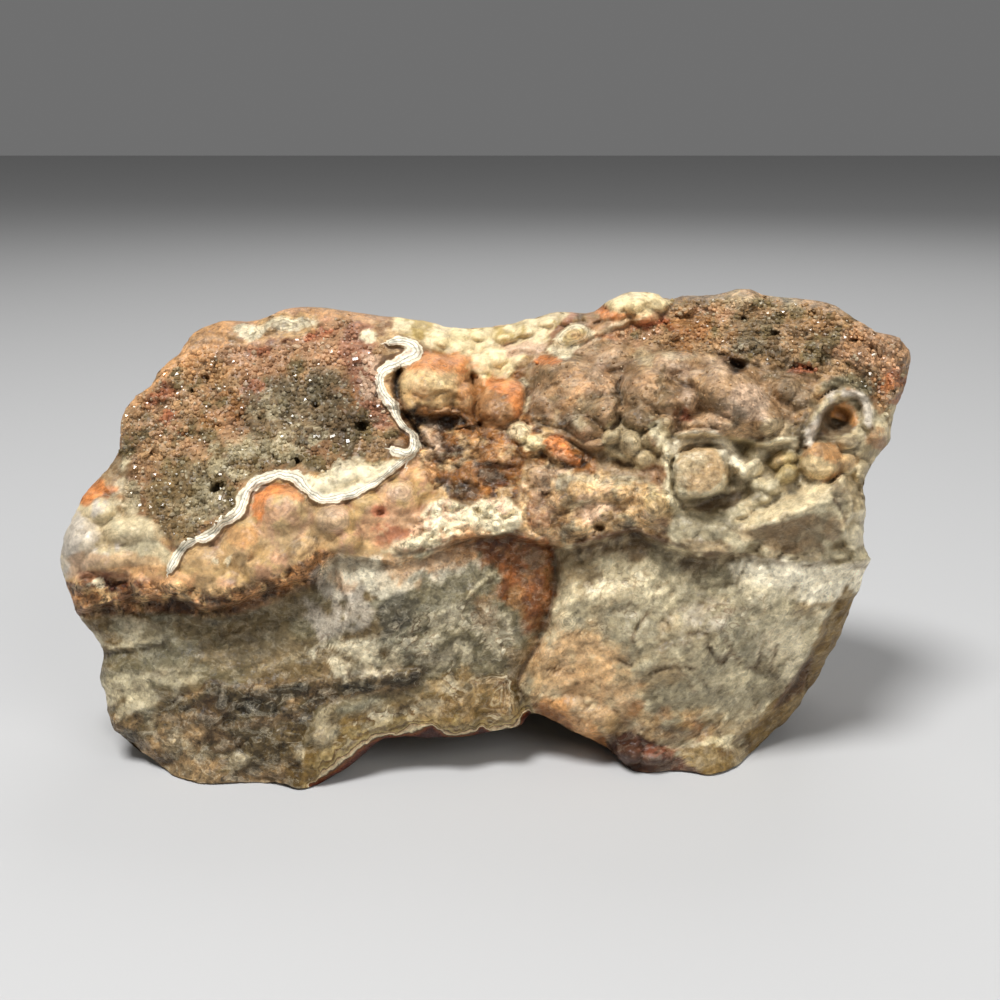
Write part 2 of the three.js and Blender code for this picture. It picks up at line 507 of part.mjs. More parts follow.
// Joins the front and the rings of the back along the rim into one closed surface.
function stoneGeometry() {
  const points = rows.flat().map(frontPoint);
  const faces = [];
  const front = (i, j) => j * (columns + 1) + i;
  const lastRow = rows.length - 1;
  for (let j = 0; j < lastRow; j++) {
    for (let i = 0; i < columns; i++) {
      const [a, b, c, d] = [front(i, j), front(i + 1, j), front(i + 1, j + 1), front(i, j + 1)];
      const rising = points[a].distanceTo(points[c]) < points[b].distanceTo(points[d]);
      const atCorner = (i === 0 && j === 0) || (i === columns - 1 && j === lastRow - 1);
      const otherCorner = (i === columns - 1 && j === 0) || (i === 0 && j === lastRow - 1);
      if (atCorner || (rising && !otherCorner)) faces.push(a, b, c, a, c, d);
      else faces.push(a, b, d, b, c, d);
    }
  }

  const rim = [];
  for (let i = 0; i < columns; i++) rim.push(front(i, 0));
  for (let j = 0; j < lastRow; j++) rim.push(front(columns, j));
  for (let i = columns; i > 0; i--) rim.push(front(i, lastRow));
  for (let j = lastRow; j > 0; j--) rim.push(front(0, j));
  let outer = rim;
  let outerShare = 1;
  rimPointsPerRingPoint.forEach((shareCount, k) => {
    const inner = [];
    for (let q = 0; q < rim.length; q += shareCount) {
      inner.push(points.length);
      points.push(backPoint(points[rim[q]], (k + 1) / (rimPointsPerRingPoint.length + 1)));
    }
    const step = shareCount / outerShare;
    const half = Math.ceil(step / 2);
    inner.forEach((a, q) => {
      const b = inner[(q + 1) % inner.length];
      const outerAt = (s) => outer[(q * step + s) % outer.length];
      for (let s = 0; s < step; s++) faces.push(outerAt(s + 1), outerAt(s), s < half ? a : b);
      faces.push(a, b, outerAt(half));
    });
    outer = inner;
    outerShare = shareCount;
  });
  const pole = points.length;
  points.push(backPoint(points[rim[0]], 1));
  outer.forEach((a, q) => faces.push(outer[(q + 1) % outer.length], a, pole));

  const geometry = new THREE.BufferGeometry().setFromPoints(points);
  geometry.setIndex(faces);
  geometry.computeBoundingBox();
  const size = geometry.boundingBox.getSize(new THREE.Vector3());
  const centre = geometry.boundingBox.getCenter(new THREE.Vector3());
  geometry.translate(-centre.x, -centre.y, 0);
  geometry.scale(stoneWidth / size.x, stoneWidth / size.x, stoneWidth / size.x);
  geometry.computeVertexNormals();
  return geometry;
}

const stoneFinish = new THREE.MeshStandardMaterial({ color: 0xa8937a, roughness: 0.55, metalness: 0 });
const agate = new THREE.Mesh(stoneGeometry(), stoneFinish);
agate.name = "agate";

const specimen = new THREE.Group();
specimen.name = "botryoidal_lace_agate";
specimen.add(agate);

export default specimen;
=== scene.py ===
# A rough hand specimen of botryoidal lace agate: druse, lace bands, botryoids and broken faces.
# Shapes are worked out in millimetres on a sight plane, as places [across, up], then moved to the frame in metres.
from math import cos, pi, radians, sin

import bpy
import numpy as np
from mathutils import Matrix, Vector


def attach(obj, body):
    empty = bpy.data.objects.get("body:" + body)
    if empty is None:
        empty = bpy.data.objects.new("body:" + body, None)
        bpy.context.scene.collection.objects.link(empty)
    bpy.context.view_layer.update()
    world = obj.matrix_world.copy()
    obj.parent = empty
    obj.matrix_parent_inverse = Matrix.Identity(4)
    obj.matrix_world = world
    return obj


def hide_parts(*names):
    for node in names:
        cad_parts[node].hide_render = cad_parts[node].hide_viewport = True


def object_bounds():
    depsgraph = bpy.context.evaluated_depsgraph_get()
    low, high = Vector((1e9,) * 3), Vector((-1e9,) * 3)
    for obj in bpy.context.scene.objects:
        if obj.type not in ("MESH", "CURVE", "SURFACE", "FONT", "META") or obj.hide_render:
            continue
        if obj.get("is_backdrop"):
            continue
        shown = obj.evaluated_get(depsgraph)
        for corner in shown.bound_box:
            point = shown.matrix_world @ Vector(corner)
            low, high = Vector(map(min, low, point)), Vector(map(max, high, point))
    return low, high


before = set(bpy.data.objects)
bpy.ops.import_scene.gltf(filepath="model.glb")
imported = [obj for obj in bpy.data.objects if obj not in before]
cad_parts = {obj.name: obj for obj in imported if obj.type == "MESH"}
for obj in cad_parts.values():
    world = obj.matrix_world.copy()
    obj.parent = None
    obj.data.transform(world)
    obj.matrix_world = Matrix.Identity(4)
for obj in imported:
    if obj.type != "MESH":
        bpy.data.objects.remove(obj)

cadLow, cadHigh = (np.array(corner, dtype=float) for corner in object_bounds())
print("frame loaded, box in metres:", cadLow, cadHigh)

sight = {
    "distance": 182.93,  # mm from the eye to the sight plane
    "tilt": 15.0,  # degrees that the eye looks down
    "axisUp": 34.76,  # where the line of sight crosses the plane
    "lens": 54.0,  # mm, on a 36 mm sensor
}
sinTilt, cosTilt = sin(radians(sight["tilt"])), cos(radians(sight["tilt"]))
eyeY = -(sight["distance"] * cosTilt - sight["axisUp"] * sinTilt)
eyeZ = sight["distance"] * sinTilt + sight["axisUp"] * cosTilt



def smooth(start, end, value):
    # 0 before start, 1 after end, an S-curve between
    share = np.clip((value - start) / (end - start), 0, 1)
    return share * share * (3 - 2 * share)


def mix(a, b, share):
    return a + (b - a) * share


def cornerValue(i, j, k, seed):
    # a repeatable random value, 0 to 1, for each corner of a lattice
    n = (i * 73856093) ^ (j * 19349663) ^ (k * 83492791) ^ (seed * 265443577)
    n = ((n ^ (n >> 13)) * 1274126177) & 0x7FFFFFFF
    n = ((n ^ (n >> 15)) * 668265263) & 0x7FFFFFFF
    return ((n ^ (n >> 12)) & 0xFFFF) / 65535


def noise(points, size, seed=0):
    # random values at the corners of cubes of that size, blended smoothly in between: -1 to 1
    if points.shape[1] == 2:
        points = np.column_stack([points, np.zeros(len(points))])
    cell = np.floor(points / size).astype(np.int64)
    u, v, w = (smooth(0, 1, points / size - cell)).T
    i, j, k = cell.T
    total = 0
    for di, wi in ((0, 1 - u), (1, u)):
        for dj, wj in ((0, 1 - v), (1, v)):
            for dk, wk in ((0, 1 - w), (1, w)):
                total = total + wi * wj * wk * cornerValue(i + di, j + dj, k + dk, seed)
    return 2 * total - 1


def fractal(points, size, octaves=4, seed=0, gain=0.55):
    # noise of halving size and shrinking strength, added up
    total, strength, most = 0, 1.0, 0
    for octave in range(octaves):
        total = total + strength * noise(points, size / 2**octave, seed + 17 * octave)
        most += strength
        strength *= gain
    return total / most


def crystalCells(places, size, seed=0):
    # scattered points share the plane out into cells of about that size. returns for each place
    # flake: the height of its cell's own tilted plane, about -1 to 1
    # point: the highest of the six-sided pyramids that stand on the cells, height - 1.15 * distance to a side
    # edge: distance to the cell's edge. pick: the cell's random value, 0 to 1. away: distance to its spot
    cell = np.floor(places / size).astype(np.int64)
    count = len(places)
    nearest, second = np.full(count, 1e9), np.full(count, 1e9)
    flake, pick, point = np.zeros(count), np.zeros(count), np.full(count, -1e9)
    for di in (-1, 0, 1):
        for dj in (-1, 0, 1):
            i, j = (cell + [di, dj]).T
            spot = [cornerValue(i, j, n, seed) for n in range(6)]
            x = places[:, 0] / size - (i + 0.12 + 0.76 * spot[0])
            y = places[:, 1] / size - (j + 0.12 + 0.76 * spot[1])
            sides = [np.abs(x * np.cos(a) + y * np.sin(a)) for a in (spot[5] * pi + k * pi / 3 for k in range(3))]
            point = np.maximum(point, 0.75 * spot[4] - 1.15 * np.max(sides, axis=0))
            distance = np.hypot(x, y)
            closer = distance < nearest
            second = np.where(closer, nearest, np.minimum(second, distance))
            flake = np.where(closer, spot[4] - 0.5 + x * (2 * spot[2] - 1) + y * (2 * spot[3] - 1), flake)
            pick = np.where(closer, spot[4], pick)
            nearest = np.where(closer, distance, nearest)
    return flake, point, (second - nearest) * size, pick, nearest * size


def terraced(value, steps):
    # flat steps with short risers: how broken layers lie over each other
    level = value * steps
    return (np.floor(level) + smooth(0.82, 1.0, level - np.floor(level))) / steps


def stretched(places, turn, ratio):
    # places turned by that many degrees and squeezed along, so that patterns on them are drawn out along that line
    c, s = cos(radians(turn)), sin(radians(turn))
    return np.column_stack([(places[:, 0] * c + places[:, 1] * s) / ratio, places[:, 1] * c - places[:, 0] * s])


def nearestOn(line, places, reach=9.0):
    # for each place: the distance to a line of points, positive above it, and the line's third value there.
    # places further than reach from the line's box are left at reach
    line = np.array(line, dtype=float)
    low, high = line[:, :2].min(0) - reach, line[:, :2].max(0) + reach
    near = np.all((places > low) & (places < high), axis=1)
    p = places[near]
    best = np.full(len(p), float(reach))
    side = np.ones(len(p))
    value = np.full(len(p), line[0, 2] if line.shape[1] > 2 else 0.0)
    for a, b in zip(line, line[1:]):
        span = b[:2] - a[:2]
        share = np.clip((p - a[:2]) @ span / (span @ span), 0, 1)
        off = p - a[:2] - share[:, None] * span
        distance = np.hypot(*off.T)
        closer = distance < best
        best = np.where(closer, distance, best)
        turn = span[0] * (p[:, 1] - a[1]) - span[1] * (p[:, 0] - a[0])
        side = np.where(closer, np.where(turn < 0, -1.0, 1.0), side)
        if line.shape[1] > 2:
            value = np.where(closer, mix(a[2], b[2], share), value)
    distances, sides, values = np.full(len(places), float(reach)), np.ones(len(places)), np.zeros(len(places))
    distances[near], sides[near], values[near] = best, side, value
    return distances, sides, values


def insetIn(shape, places, reach=6.0):
    # distance in from the edge of a closed outline, negative outside it
    closed = np.array(list(shape) + [shape[0]], dtype=float)[:, :2]
    distance = nearestOn(closed, places, reach)[0]
    inside = np.zeros(len(places), dtype=bool)
    for (ax, ay), (bx, by) in zip(closed, closed[1:]):
        if ay == by:
            continue
        crosses = (places[:, 1] > min(ay, by)) & (places[:, 1] <= max(ay, by))
        inside ^= crosses & (places[:, 0] < ax + (places[:, 1] - ay) * (bx - ax) / (by - ay))
    return np.where(inside, distance, -distance)


def ovalShare(oval, places):
    # 0 at the centre of (across, up, half width, half height, turn in degrees), 1 on its edge
    across, up, halfWidth, halfHeight, turn = (list(oval) + [0])[:5]
    dx, dy = places[:, 0] - across, places[:, 1] - up
    c, s = cos(radians(turn)), sin(radians(turn))
    return np.hypot((dx * c + dy * s) / halfWidth, (dy * c - dx * s) / halfHeight)


def sightPoints(places, depth):
    # points on the lines of sight through these places, at that depth
    rise = (places[:, 1] - sight["axisUp"]) / sight["distance"]
    run = (depth - eyeY) / (cosTilt + rise * sinTilt)
    return np.column_stack([places[:, 0] / sight["distance"] * run, depth, eyeZ + (rise * cosTilt - sinTilt) * run])


def sightPlaces(points):
    # where points lie on the sight plane
    y, z = points[:, 1] - eyeY, points[:, 2] - eyeZ
    run = (y * cosTilt - z * sinTilt) / sight["distance"]
    return np.column_stack([points[:, 0] / run, sight["axisUp"] + (y * sinTilt + z * cosTilt) / run])


def floorDepth(places):
    rise = (places[:, 1] - sight["axisUp"]) / sight["distance"]
    down = rise * cosTilt - sinTilt
    return eyeY - eyeZ / np.minimum(down, -1e-3) * (cosTilt + rise * sinTilt)


form = {
    "columns": 345,
    "rowsAbove": 141,  # above the shelf's edge
    "rowsBelow": 63,
    "rimPointsPerRingPoint": 3,
    "backRings": 46,
    "lastRing": 0.64,  # share of the way to the middle of the back where the rings end and a sheet closes them
    "rimSmoothing": 9,  # ring points to each side, over which the outline's raggedness is lost behind it
    "middle": (0.0, 30.0),  # the outline is seen all round from here
    "rimWidth": 2.0,  # the front turns back over this width inside the outline
    "rimDepth": 3.5,
    "backDepth": 46.0,
    "backMiddle": (1.0, 27.0),  # across and height
    "backHalfSize": (50.0, 27.0),
    "baseFullness": 1.35,
    "backBoxiness": 4.5,
    "toeSteepness": 2.0,
    "upright": 0.5,  # how far a lump keeps the depth of its own middle where the stone slopes back
    "softness": 4.0,  # how far one depth station blends into the next
    "raggedness": 0.35,  # of the outline, mm
}

outline = {
    "leftAbove": [
        (-52.2, 21.4), (-53.2, 24.6), (-53.9, 27.4), (-53.4, 30.5), (-51.4, 34.8), (-48.5, 38.4), (-46.9, 40.6),
        (-46.6, 44.5),
    ],
    "top": [
        (-44.8, 47.6), (-42.5, 49.3), (-41.8, 50.9), (-39.6, 52.6), (-37.8, 55.2), (-34.5, 56.9), (-30.0, 57.0),
        (-26.8, 58.6), (-23.0, 59.0), (-16.0, 57.9), (-9.0, 57.0), (-6.5, 56.3), (-1.0, 56.3), (3.5, 57.3),
        (7.5, 58.3), (11.3, 58.1), (13.5, 60.0), (16.0, 61.1), (19.4, 61.0), (20.8, 59.9), (22.5, 60.5),
        (27.0, 60.7), (30.2, 61.6), (33.5, 60.4), (38.0, 60.0), (41.2, 59.1), (43.4, 57.5), (46.5, 55.6),
    ],
    "rightAbove": [
        (49.2, 54.8), (50.2, 52.8), (49.8, 49.2), (48.3, 45.2), (47.9, 42.3), (46.1, 39.8), (44.7, 36.2),
        (45.1, 33.5), (44.5, 29.6),
    ],
    "rightBelow": [(45.4, 27.6), (44.4, 24.7), (43.2, 21.6), (41.2, 17.0), (38.3, 12.0), (35.2, 7.8), (32.0, 4.8)],
    "base": [
        (29.0, 2.0), (26.2, 1.0), (22.0, 1.5), (16.4, 1.6), (13.2, 4.3), (9.6, 6.0), (4.2, 8.4), (2.3, 6.9),
        (-2.0, 6.0), (-7.6, 5.4), (-14.2, 5.3), (-18.0, 2.4), (-22.0, 0.0), (-24.4, -0.8), (-28.5, 0.1),
        (-37.2, 0.1), (-41.6, 2.0),
    ],
    "leftBelow": [(-44.6, 4.9), (-47.6, 6.9), (-48.3, 10.4), (-49.0, 12.8), (-48.8, 16.2), (-51.6, 20.4)],
}

# the edge of the tan shelf, left to right: across, up, drop to the face below
shelfEdge = [
    (-52.2, 21.4, 1.5), (-50, 21.6, 3), (-45, 22.9, 4), (-40, 23.2, 4.2), (-36, 21.8, 4.5), (-33, 22.4, 4.5),
    (-29, 24.2, 4.2), (-23, 26.0, 3.0), (-20.2, 28.4, 2.0), (-16, 27.6, 1.0), (-12.5, 27.2, 0.7),
    (-8, 28.8, 1.0), (-3, 30.4, 1.7), (1.5, 30.6, 3.0), (5, 29.6, 4), (9, 29.4, 3.4), (14, 30.6, 3.2),
    (17, 31.4, 2.8), (20, 29.6, 2.6), (23, 28.6, 2.6), (29, 28.0, 1.0), (33, 27.6, 0.5), (38, 27.0, 0.2),
    (41, 27.6, 0.2), (45.4, 27.6, 0.2),
]

# how deep the surface lies at named places: across, up, depth
stations = {
    "lowerLeftFace": [
        (-47, 8, 6), (-42, 5, 3), (-37, 3, 1.5), (-30, 3, -0.3), (-24, 0, -2.6), (-24, 4, -1.2), (-18, 5, 0.8),
        (-12, 8, 2.5), (-5, 8, 3), (1, 9, 4), (-47, 14, 5), (-40, 14, 1.5), (-30, 12, 0.5), (-20, 12, 0.3),
        (-10, 14, 1), (-3, 14, 2.5), (2, 14, 5), (-49, 19, 6), (-42, 19, 3), (-34, 19, 2), (-25, 20, 1.2),
        (-15, 20, 0.6), (-8, 20, 0.2), (-1, 20, 2), (4, 22, 5), (-5, 26, 2), (1, 27, 4),
    ],
    "tanShelf": [
        (-52, 27, 9), (-50, 24, 8), (-46, 26, 4), (-40, 25, 1.2), (-34, 24, -0.4), (-28, 27, -0.6), (-22, 30, 0.4),
        (-16, 32, 1.5), (-11, 37, 5), (-6, 39, 8), (-38, 29, 1.2), (-32, 32, 2), (-26, 35, 2.6), (-19, 34.5, 2.6),
    ],
    "palePillow": [(-52, 31, 10), (-48, 31, 6), (-43, 31, 4), (-49, 36, 13), (-47, 39, 15)],
    "druseHollow": [
        (-41, 36, 9.5), (-35, 37, 8.5), (-28, 41, 10), (-20, 41, 10), (-44, 42, 14), (-38, 45, 15.5),
        (-30, 47, 16.5), (-22, 48, 16), (-17, 46, 13.5), (-42, 48, 19), (-36, 53, 22), (-28, 54, 23),
        (-20, 54, 21.5), (-15, 54, 19), (-24, 59, 27), (-35, 56.5, 25), (-12, 57, 27), (-14, 48, 11.5),
        (-12.5, 42, 8),
    ],
    "saddle": [
        (-5, 56.4, 32), (0, 56.4, 33), (6, 58, 31), (-5, 53.5, 22), (3, 53.5, 20), (10, 56, 23), (-8, 51, 14.5),
        (0, 51, 16.5), (16, 60, 28), (16, 57, 22),
    ],
    "middleValley": [
        (-8, 45, 10.5), (-3, 43, 12), (-6, 41, 10.5), (-1, 38, 8), (-3, 35.5, 6.5), (2, 40, 10), (0, 33, 3),
        (-6, 32, 2), (-11, 30, 2.5),
    ],
    "tanTongue": [(6, 37, 5), (12, 36, 3), (18, 35, 1.5), (8, 33, 3.5), (14, 33, 2.2), (20, 33, 2.4), (9, 40, 7)],
    "lumpyBlock": [
        (6, 46, 11), (11, 46, 7.5), (17, 46, 6.5), (23, 46, 6), (29, 45, 5.5), (34, 45, 8.5), (36, 48, 11),
        (22, 51, 9.5), (28, 51, 11), (12, 51, 13), (33, 52, 14), (8, 52, 17), (15, 54, 18),
    ],
    "druseCrown": [
        (22, 57, 21), (28, 56, 19), (34, 56, 19), (40, 54, 16), (45, 53, 15), (48, 52, 17), (30, 61, 29),
        (38, 59.5, 27), (22, 60, 27), (44, 57, 23), (49, 54, 22), (40, 50, 12), (45, 49, 13.5), (49, 48, 20),
    ],
    "paleCluster": [
        (16, 41, 8), (24, 41, 7.5), (24, 37, 4.5), (30, 39, 8), (34, 39, 7.5), (40, 39, 7), (43, 39, 9.5),
        (46, 40, 15), (41, 44, 9), (46.5, 44, 15), (30, 34, 4.5), (36, 34.5, 2.5), (41, 34, 4), (44.5, 33, 9),
        (25, 32, 2.2), (34, 31, 3.4), (42, 29, 5), (45, 28, 10),
    ],
    "lowerRightFace": [
        (12, 27, 2.8), (20, 26, 2.6), (28, 25.6, 2.6), (30, 23.4, 1.6), (36, 26.4, 4.6), (37, 23, 1.8), (42, 26, 7.4), (9, 22, 4), (16, 20, 2.6), (24, 19, 2.2),
        (32, 19, 3), (37.5, 20, 5), (42, 20, 12), (6, 15, 5), (12, 13, 3), (20, 12, 2), (28, 12, 3.4), (33, 12, 6),
        (37, 13, 13), (10, 8, 4), (16, 7, 4), (22, 5, 3.4), (28, 5, 6), (31, 5, 10), (20, 2, 5), (26, 1.5, 4),
        (35, 8.5, 13),
    ],
}

# lumps: across, up, half width, half height, turn in degrees, how proud
lumps = {
    "orangeBoulders": [
        (-8.2, 48.9, 4.0, 3.8, 0, 4.6), (-5.6, 50.6, 2.4, 2.0, 20, 4.4), (-4.6, 47.4, 1.9, 1.9, 0, 3.2),
        (-10.0, 46.6, 2.0, 1.6, 0, 2.2), (0.2, 46.4, 2.8, 3.1, -15, 3.6), (1.4, 48.2, 1.6, 1.4, 0, 2.6),
        (2.4, 43.0, 1.4, 1.3, 0, 1.9), (4.4, 42.0, 1.5, 1.2, 0, 1.8), (3.2, 40.9, 1.1, 0.9, 0, 1.2),
        (7.6, 40.7, 2.9, 1.5, -28, 2.2), (-2.6, 51.0, 1.8, 1.5, 0, 1.9), (-1.6, 48.8, 1.2, 1.2, 0, 1.4),
    ],
    "saddleBalls": [
        (-7.2, 54.2, 1.0, 1.0, 0, 1.6), (-5.2, 53.2, 0.9, 0.8, 0, 1.3), (-0.4, 52.2, 1.8, 1.5, 0, 2.3),
        (0.6, 55.1, 1.7, 1.3, 0, 2.2), (3.0, 55.5, 1.5, 1.2, 0, 2.0), (-2.4, 54.6, 1.0, 0.9, 0, 1.4),
        (3.7, 56.7, 1.3, 1.0, 0, 1.8), (5.6, 56.9, 1.4, 1.1, 0, 1.9), (8.6, 57.2, 1.3, 1.0, 0, 1.7),
        (16.6, 59.2, 2.2, 1.9, 0, 3.6), (14.4, 59.3, 1.7, 1.5, 0, 3.0), (18.9, 59.4, 1.7, 1.6, 0, 3.0),
        (17.6, 57.6, 1.9, 1.3, 0, 2.6), (14.0, 57.7, 2.0, 1.1, 15, 2.4), (11.4, 57.4, 1.3, 0.9, 0, 1.4),
        (2.4, 51.6, 1.3, 1.0, 0, 1.3),
    ],
    "whiteMass": [
        (-21.4, 36.5, 1.8, 1.2, 10, 1.2), (-18.8, 37.8, 2.0, 1.7, 0, 1.6), (-16.2, 37.9, 1.7, 1.3, 0, 1.3),
        (-13.8, 38.4, 1.4, 1.0, 0, 1.1), (-23.0, 37.4, 1.0, 0.8, 0, 0.8),
    ],
    "whiteEye": [(9.2, 54.9, 2.9, 1.5, 28, 2.0), (13.6, 56.3, 2.8, 0.9, 25, 1.6), (2.6, 53.2, 2.9, 0.8, 0, 1.2)],
    "block": [
        (9.4, 47.8, 5.8, 4.4, -28, 3.6), (5.6, 46.2, 2.2, 2.8, 0, 2.0), (12.6, 45.4, 2.4, 2.4, 0, 3.4),
        (10.6, 43.6, 2.6, 1.5, -20, 2.4), (8.0, 50.6, 3.4, 1.6, 15, 2.6), (17.8, 48.0, 3.4, 3.4, 0, 3.0),
        (17.0, 44.8, 2.2, 2.0, 0, 2.6), (20.4, 46.4, 1.8, 1.8, 0, 2.0), (19.6, 51.2, 4.6, 1.7, 8, 2.2),
        (13.6, 51.8, 3.0, 1.6, 15, 1.8), (22.9, 46.8, 1.3, 1.8, 0, 3.3), (25.0, 49.2, 2.4, 1.5, -30, 2.4),
        (28.4, 47.0, 5.8, 3.4, -34, 4.4), (32.2, 44.3, 2.2, 2.0, 0, 4.0), (27.0, 44.2, 2.8, 1.9, 0, 2.6),
        (23.8, 43.8, 1.6, 1.3, 0, 1.6), (34.8, 48.2, 2.0, 1.5, 0, 2.0), (36.8, 46.8, 1.6, 1.5, 0, 1.4),
        (34.4, 42.6, 1.4, 1.1, 0, 1.8), (15.9, 41.7, 1.7, 1.6, 0, 2.8), (13.4, 42.6, 1.5, 1.2, 0, 2.2),
        (18.6, 42.4, 1.5, 1.4, 0, 2.0), (20.2, 44.0, 1.2, 1.5, 0, 1.7), (11.6, 41.6, 1.2, 0.9, 0, 1.4), (17.7, 39.7, 1.7, 1.4, 0, 1.8),
    ],
    "crown": [
        (24.6, 58.8, 2.4, 1.8, 0, 1.1), (29.8, 59.6, 2.6, 1.9, 0, 1.3), (34.8, 58.6, 2.4, 1.6, 0, 1.1),
        (31.6, 56.4, 2.0, 1.4, 0, 1.0), (36.6, 56.0, 2.4, 1.5, 0, 1.1), (41.4, 57.2, 2.2, 1.5, -15, 1.0),
        (45.6, 54.6, 2.4, 1.7, -20, 1.1), (47.8, 51.6, 1.9, 2.2, 0, 1.1), (43.2, 52.0, 2.2, 1.5, 0, 1.0),
        (39.4, 53.4, 2.0, 1.4, 0, 1.0), (35.4, 53.4, 1.8, 1.2, 0, 0.8), (26.2, 54.6, 2.2, 1.4, 0, 1.0),
        (21.6, 55.2, 2.2, 1.4, 10, 1.0), (47.2, 48.2, 1.8, 1.9, 0, 1.0), (18.2, 54.0, 2.2, 1.1, 18, 0.7),
    ],
    "cluster": [
        (24.5, 38.1, 3.3, 3.0, 0, 2.8, 0.16), (34.6, 39.7, 2.0, 1.1, 20, 2.6), (34.9, 38.0, 1.6, 1.0, 28, 2.3),
        (33.2, 36.5, 1.1, 1.0, 0, 1.8), (32.4, 35.2, 1.0, 0.8, 0, 1.4), (39.2, 39.3, 2.5, 2.6, 0, 3.6),
        (42.2, 39.0, 1.5, 1.4, 0, 2.6), (44.2, 38.0, 1.1, 1.5, 0, 2.1), (42.4, 41.9, 1.3, 1.1, 0, 2.0),
        (30.6, 38.4, 1.7, 1.1, 40, 1.9), (28.9, 39.6, 1.1, 1.1, 0, 1.5), (31.4, 36.8, 1.2, 0.9, 0, 1.2),
        (19.6, 41.4, 1.2, 2.0, -25, 1.4), (20.2, 38.2, 0.9, 2.6, 5, 1.3), (46.2, 43.2, 1.4, 1.8, 0, 1.4),
        (43.6, 33.4, 1.4, 1.7, 0, 2.4), (43.2, 30.6, 1.5, 1.8, 0, 2.4), (44.8, 36.0, 1.0, 1.4, 0, 1.6),
        (32.9, 28.6, 1.5, 1.3, 0, 1.9), (30.7, 28.0, 0.6, 0.5, 0, 0.6), (35.2, 27.8, 1.0, 0.5, 0, 0.7),
        (44.3, 28.0, 1.5, 1.1, 0, 1.3), (40.9, 28.4, 1.5, 0.7, -10, 0.9), (38.2, 27.7, 1.2, 0.6, 10, 0.8),
        (36.7, 27.2, 0.5, 0.4, 0, 0.6), (42.5, 27.1, 1.1, 0.6, 0, 0.8), (28.0, 36.2, 0.9, 0.8, 0, 1.0),
        (26.6, 31.4, 2.6, 1.5, -8, 0.9), (23.2, 31.6, 1.8, 1.4, 0, 0.8), (28.6, 29.6, 1.6, 1.1, 0, 0.8),
        (24.4, 29.4, 1.9, 1.0, 0, 0.7), (37.6, 44.4, 1.4, 1.8, 0, 1.2), (36.6, 42.8, 1.0, 1.0, 0, 1.2),
    ],
    "tongue": [
        (18.8, 34.4, 2.8, 2.7, 0, 2.2), (14.2, 35.4, 3.2, 1.9, 0, 1.4), (10.2, 35.6, 2.6, 1.6, 0, 1.2),
        (12.6, 33.2, 1.6, 1.1, 0, 1.3), (15.4, 32.6, 1.6, 1.1, 0, 1.2), (5.0, 37.6, 1.9, 1.6, 0, 1.4),
        (7.2, 34.6, 1.9, 1.5, 0, 1.3), (5.2, 32.0, 1.8, 1.5, 0, 1.4), (9.4, 31.4, 1.8, 1.1, 0, 1.2),
    ],
    "bubbles": [
        (-7.8, 33.2, 1.5, 1.5, 0, 1.2), (-6.2, 34.1, 1.2, 1.1, 0, 1.0), (-4.2, 32.8, 1.4, 1.2, 0, 1.0),
        (-1.6, 33.6, 1.3, 1.3, 0, 1.1), (0.6, 33.8, 1.4, 1.3, 0, 1.3), (1.6, 32.2, 1.1, 1.0, 0, 1.0),
        (-0.4, 32.0, 1.3, 1.0, 0, 1.0), (-2.8, 31.6, 1.3, 0.9, 0, 0.8), (-5.8, 31.4, 1.5, 1.0, 0, 0.9),
        (-8.6, 31.2, 1.3, 1.1, 0, 0.9), (-10.4, 31.0, 1.1, 1.0, 0, 0.8), (-9.8, 32.4, 0.9, 0.9, 0, 0.7),
        (-12.3, 29.1, 0.9, 0.9, 0, 0.8), (-10.6, 29.4, 1.1, 0.8, 0, 0.7), (-7.4, 29.9, 1.3, 0.8, 0, 0.7),
    ],
    "pillow": [
        (-51.0, 29.8, 2.9, 3.4, 0, 2.2), (-48.6, 33.2, 2.4, 1.9, 12, 2.2), (-45.4, 30.8, 3.4, 2.2, 0, 1.8),
        (-47.6, 27.2, 4.2, 2.2, 0, 1.9), (-42.6, 30.8, 1.8, 1.8, 0, 1.4), (-50.4, 24.6, 1.9, 1.6, 0, 1.6),
        (-46.2, 34.2, 1.4, 1.2, 0, 1.2), (-39.2, 24.6, 2.6, 1.6, 0, 1.3), (-44.0, 24.6, 1.8, 1.3, 0, 1.2),
    ],
    "shelf": [
        (-26.6, 33.2, 3.4, 3.6, 0, 1.7), (-31.4, 29.2, 2.8, 2.6, 0, 1.2), (-36.0, 26.4, 3.4, 2.9, 0, 1.2),
        (-20.4, 32.2, 2.8, 2.6, 0, 1.7), (-16.2, 33.4, 2.2, 2.2, 0, 1.1), (-12.2, 34.8, 2.8, 2.6, 0, 1.4),
        (-9.4, 36.6, 2.4, 2.2, 0, 1.3), (-28.6, 26.2, 3.4, 1.9, 20, 1.4), (-33.4, 24.2, 3.0, 1.6, 0, 1.4),
        (-24.2, 28.2, 2.6, 2.0, 25, 1.3), (-18.8, 29.6, 2.2, 1.4, 20, 1.3),
    ],
    "base": [
        (15.6, 3.6, 1.7, 1.5, 0, 1.9), (19.2, 3.2, 2.2, 1.5, 0, 1.9), (22.6, 2.4, 1.6, 0.9, 0, 1.3),
        (12.2, 7.6, 2.6, 1.9, 0, 1.4), (8.4, 9.4, 2.2, 1.6, 0, 1.1), (0.6, 8.8, 2.4, 2.2, 0, 1.0),
        (-5.4, 8.2, 2.8, 2.4, 0, 0.9), (-32.0, 3.0, 1.2, 1.0, 0, 0.8), (-25.0, 3.7, 1.3, 1.1, 0, 0.9),
        (-22.0, 5.5, 1.1, 1.0, 0, 0.8), (-21.0, 8.6, 1.4, 1.0, 0, 0.9), (-36.0, 8.0, 1.6, 1.2, 0, 0.8),
    ],
}

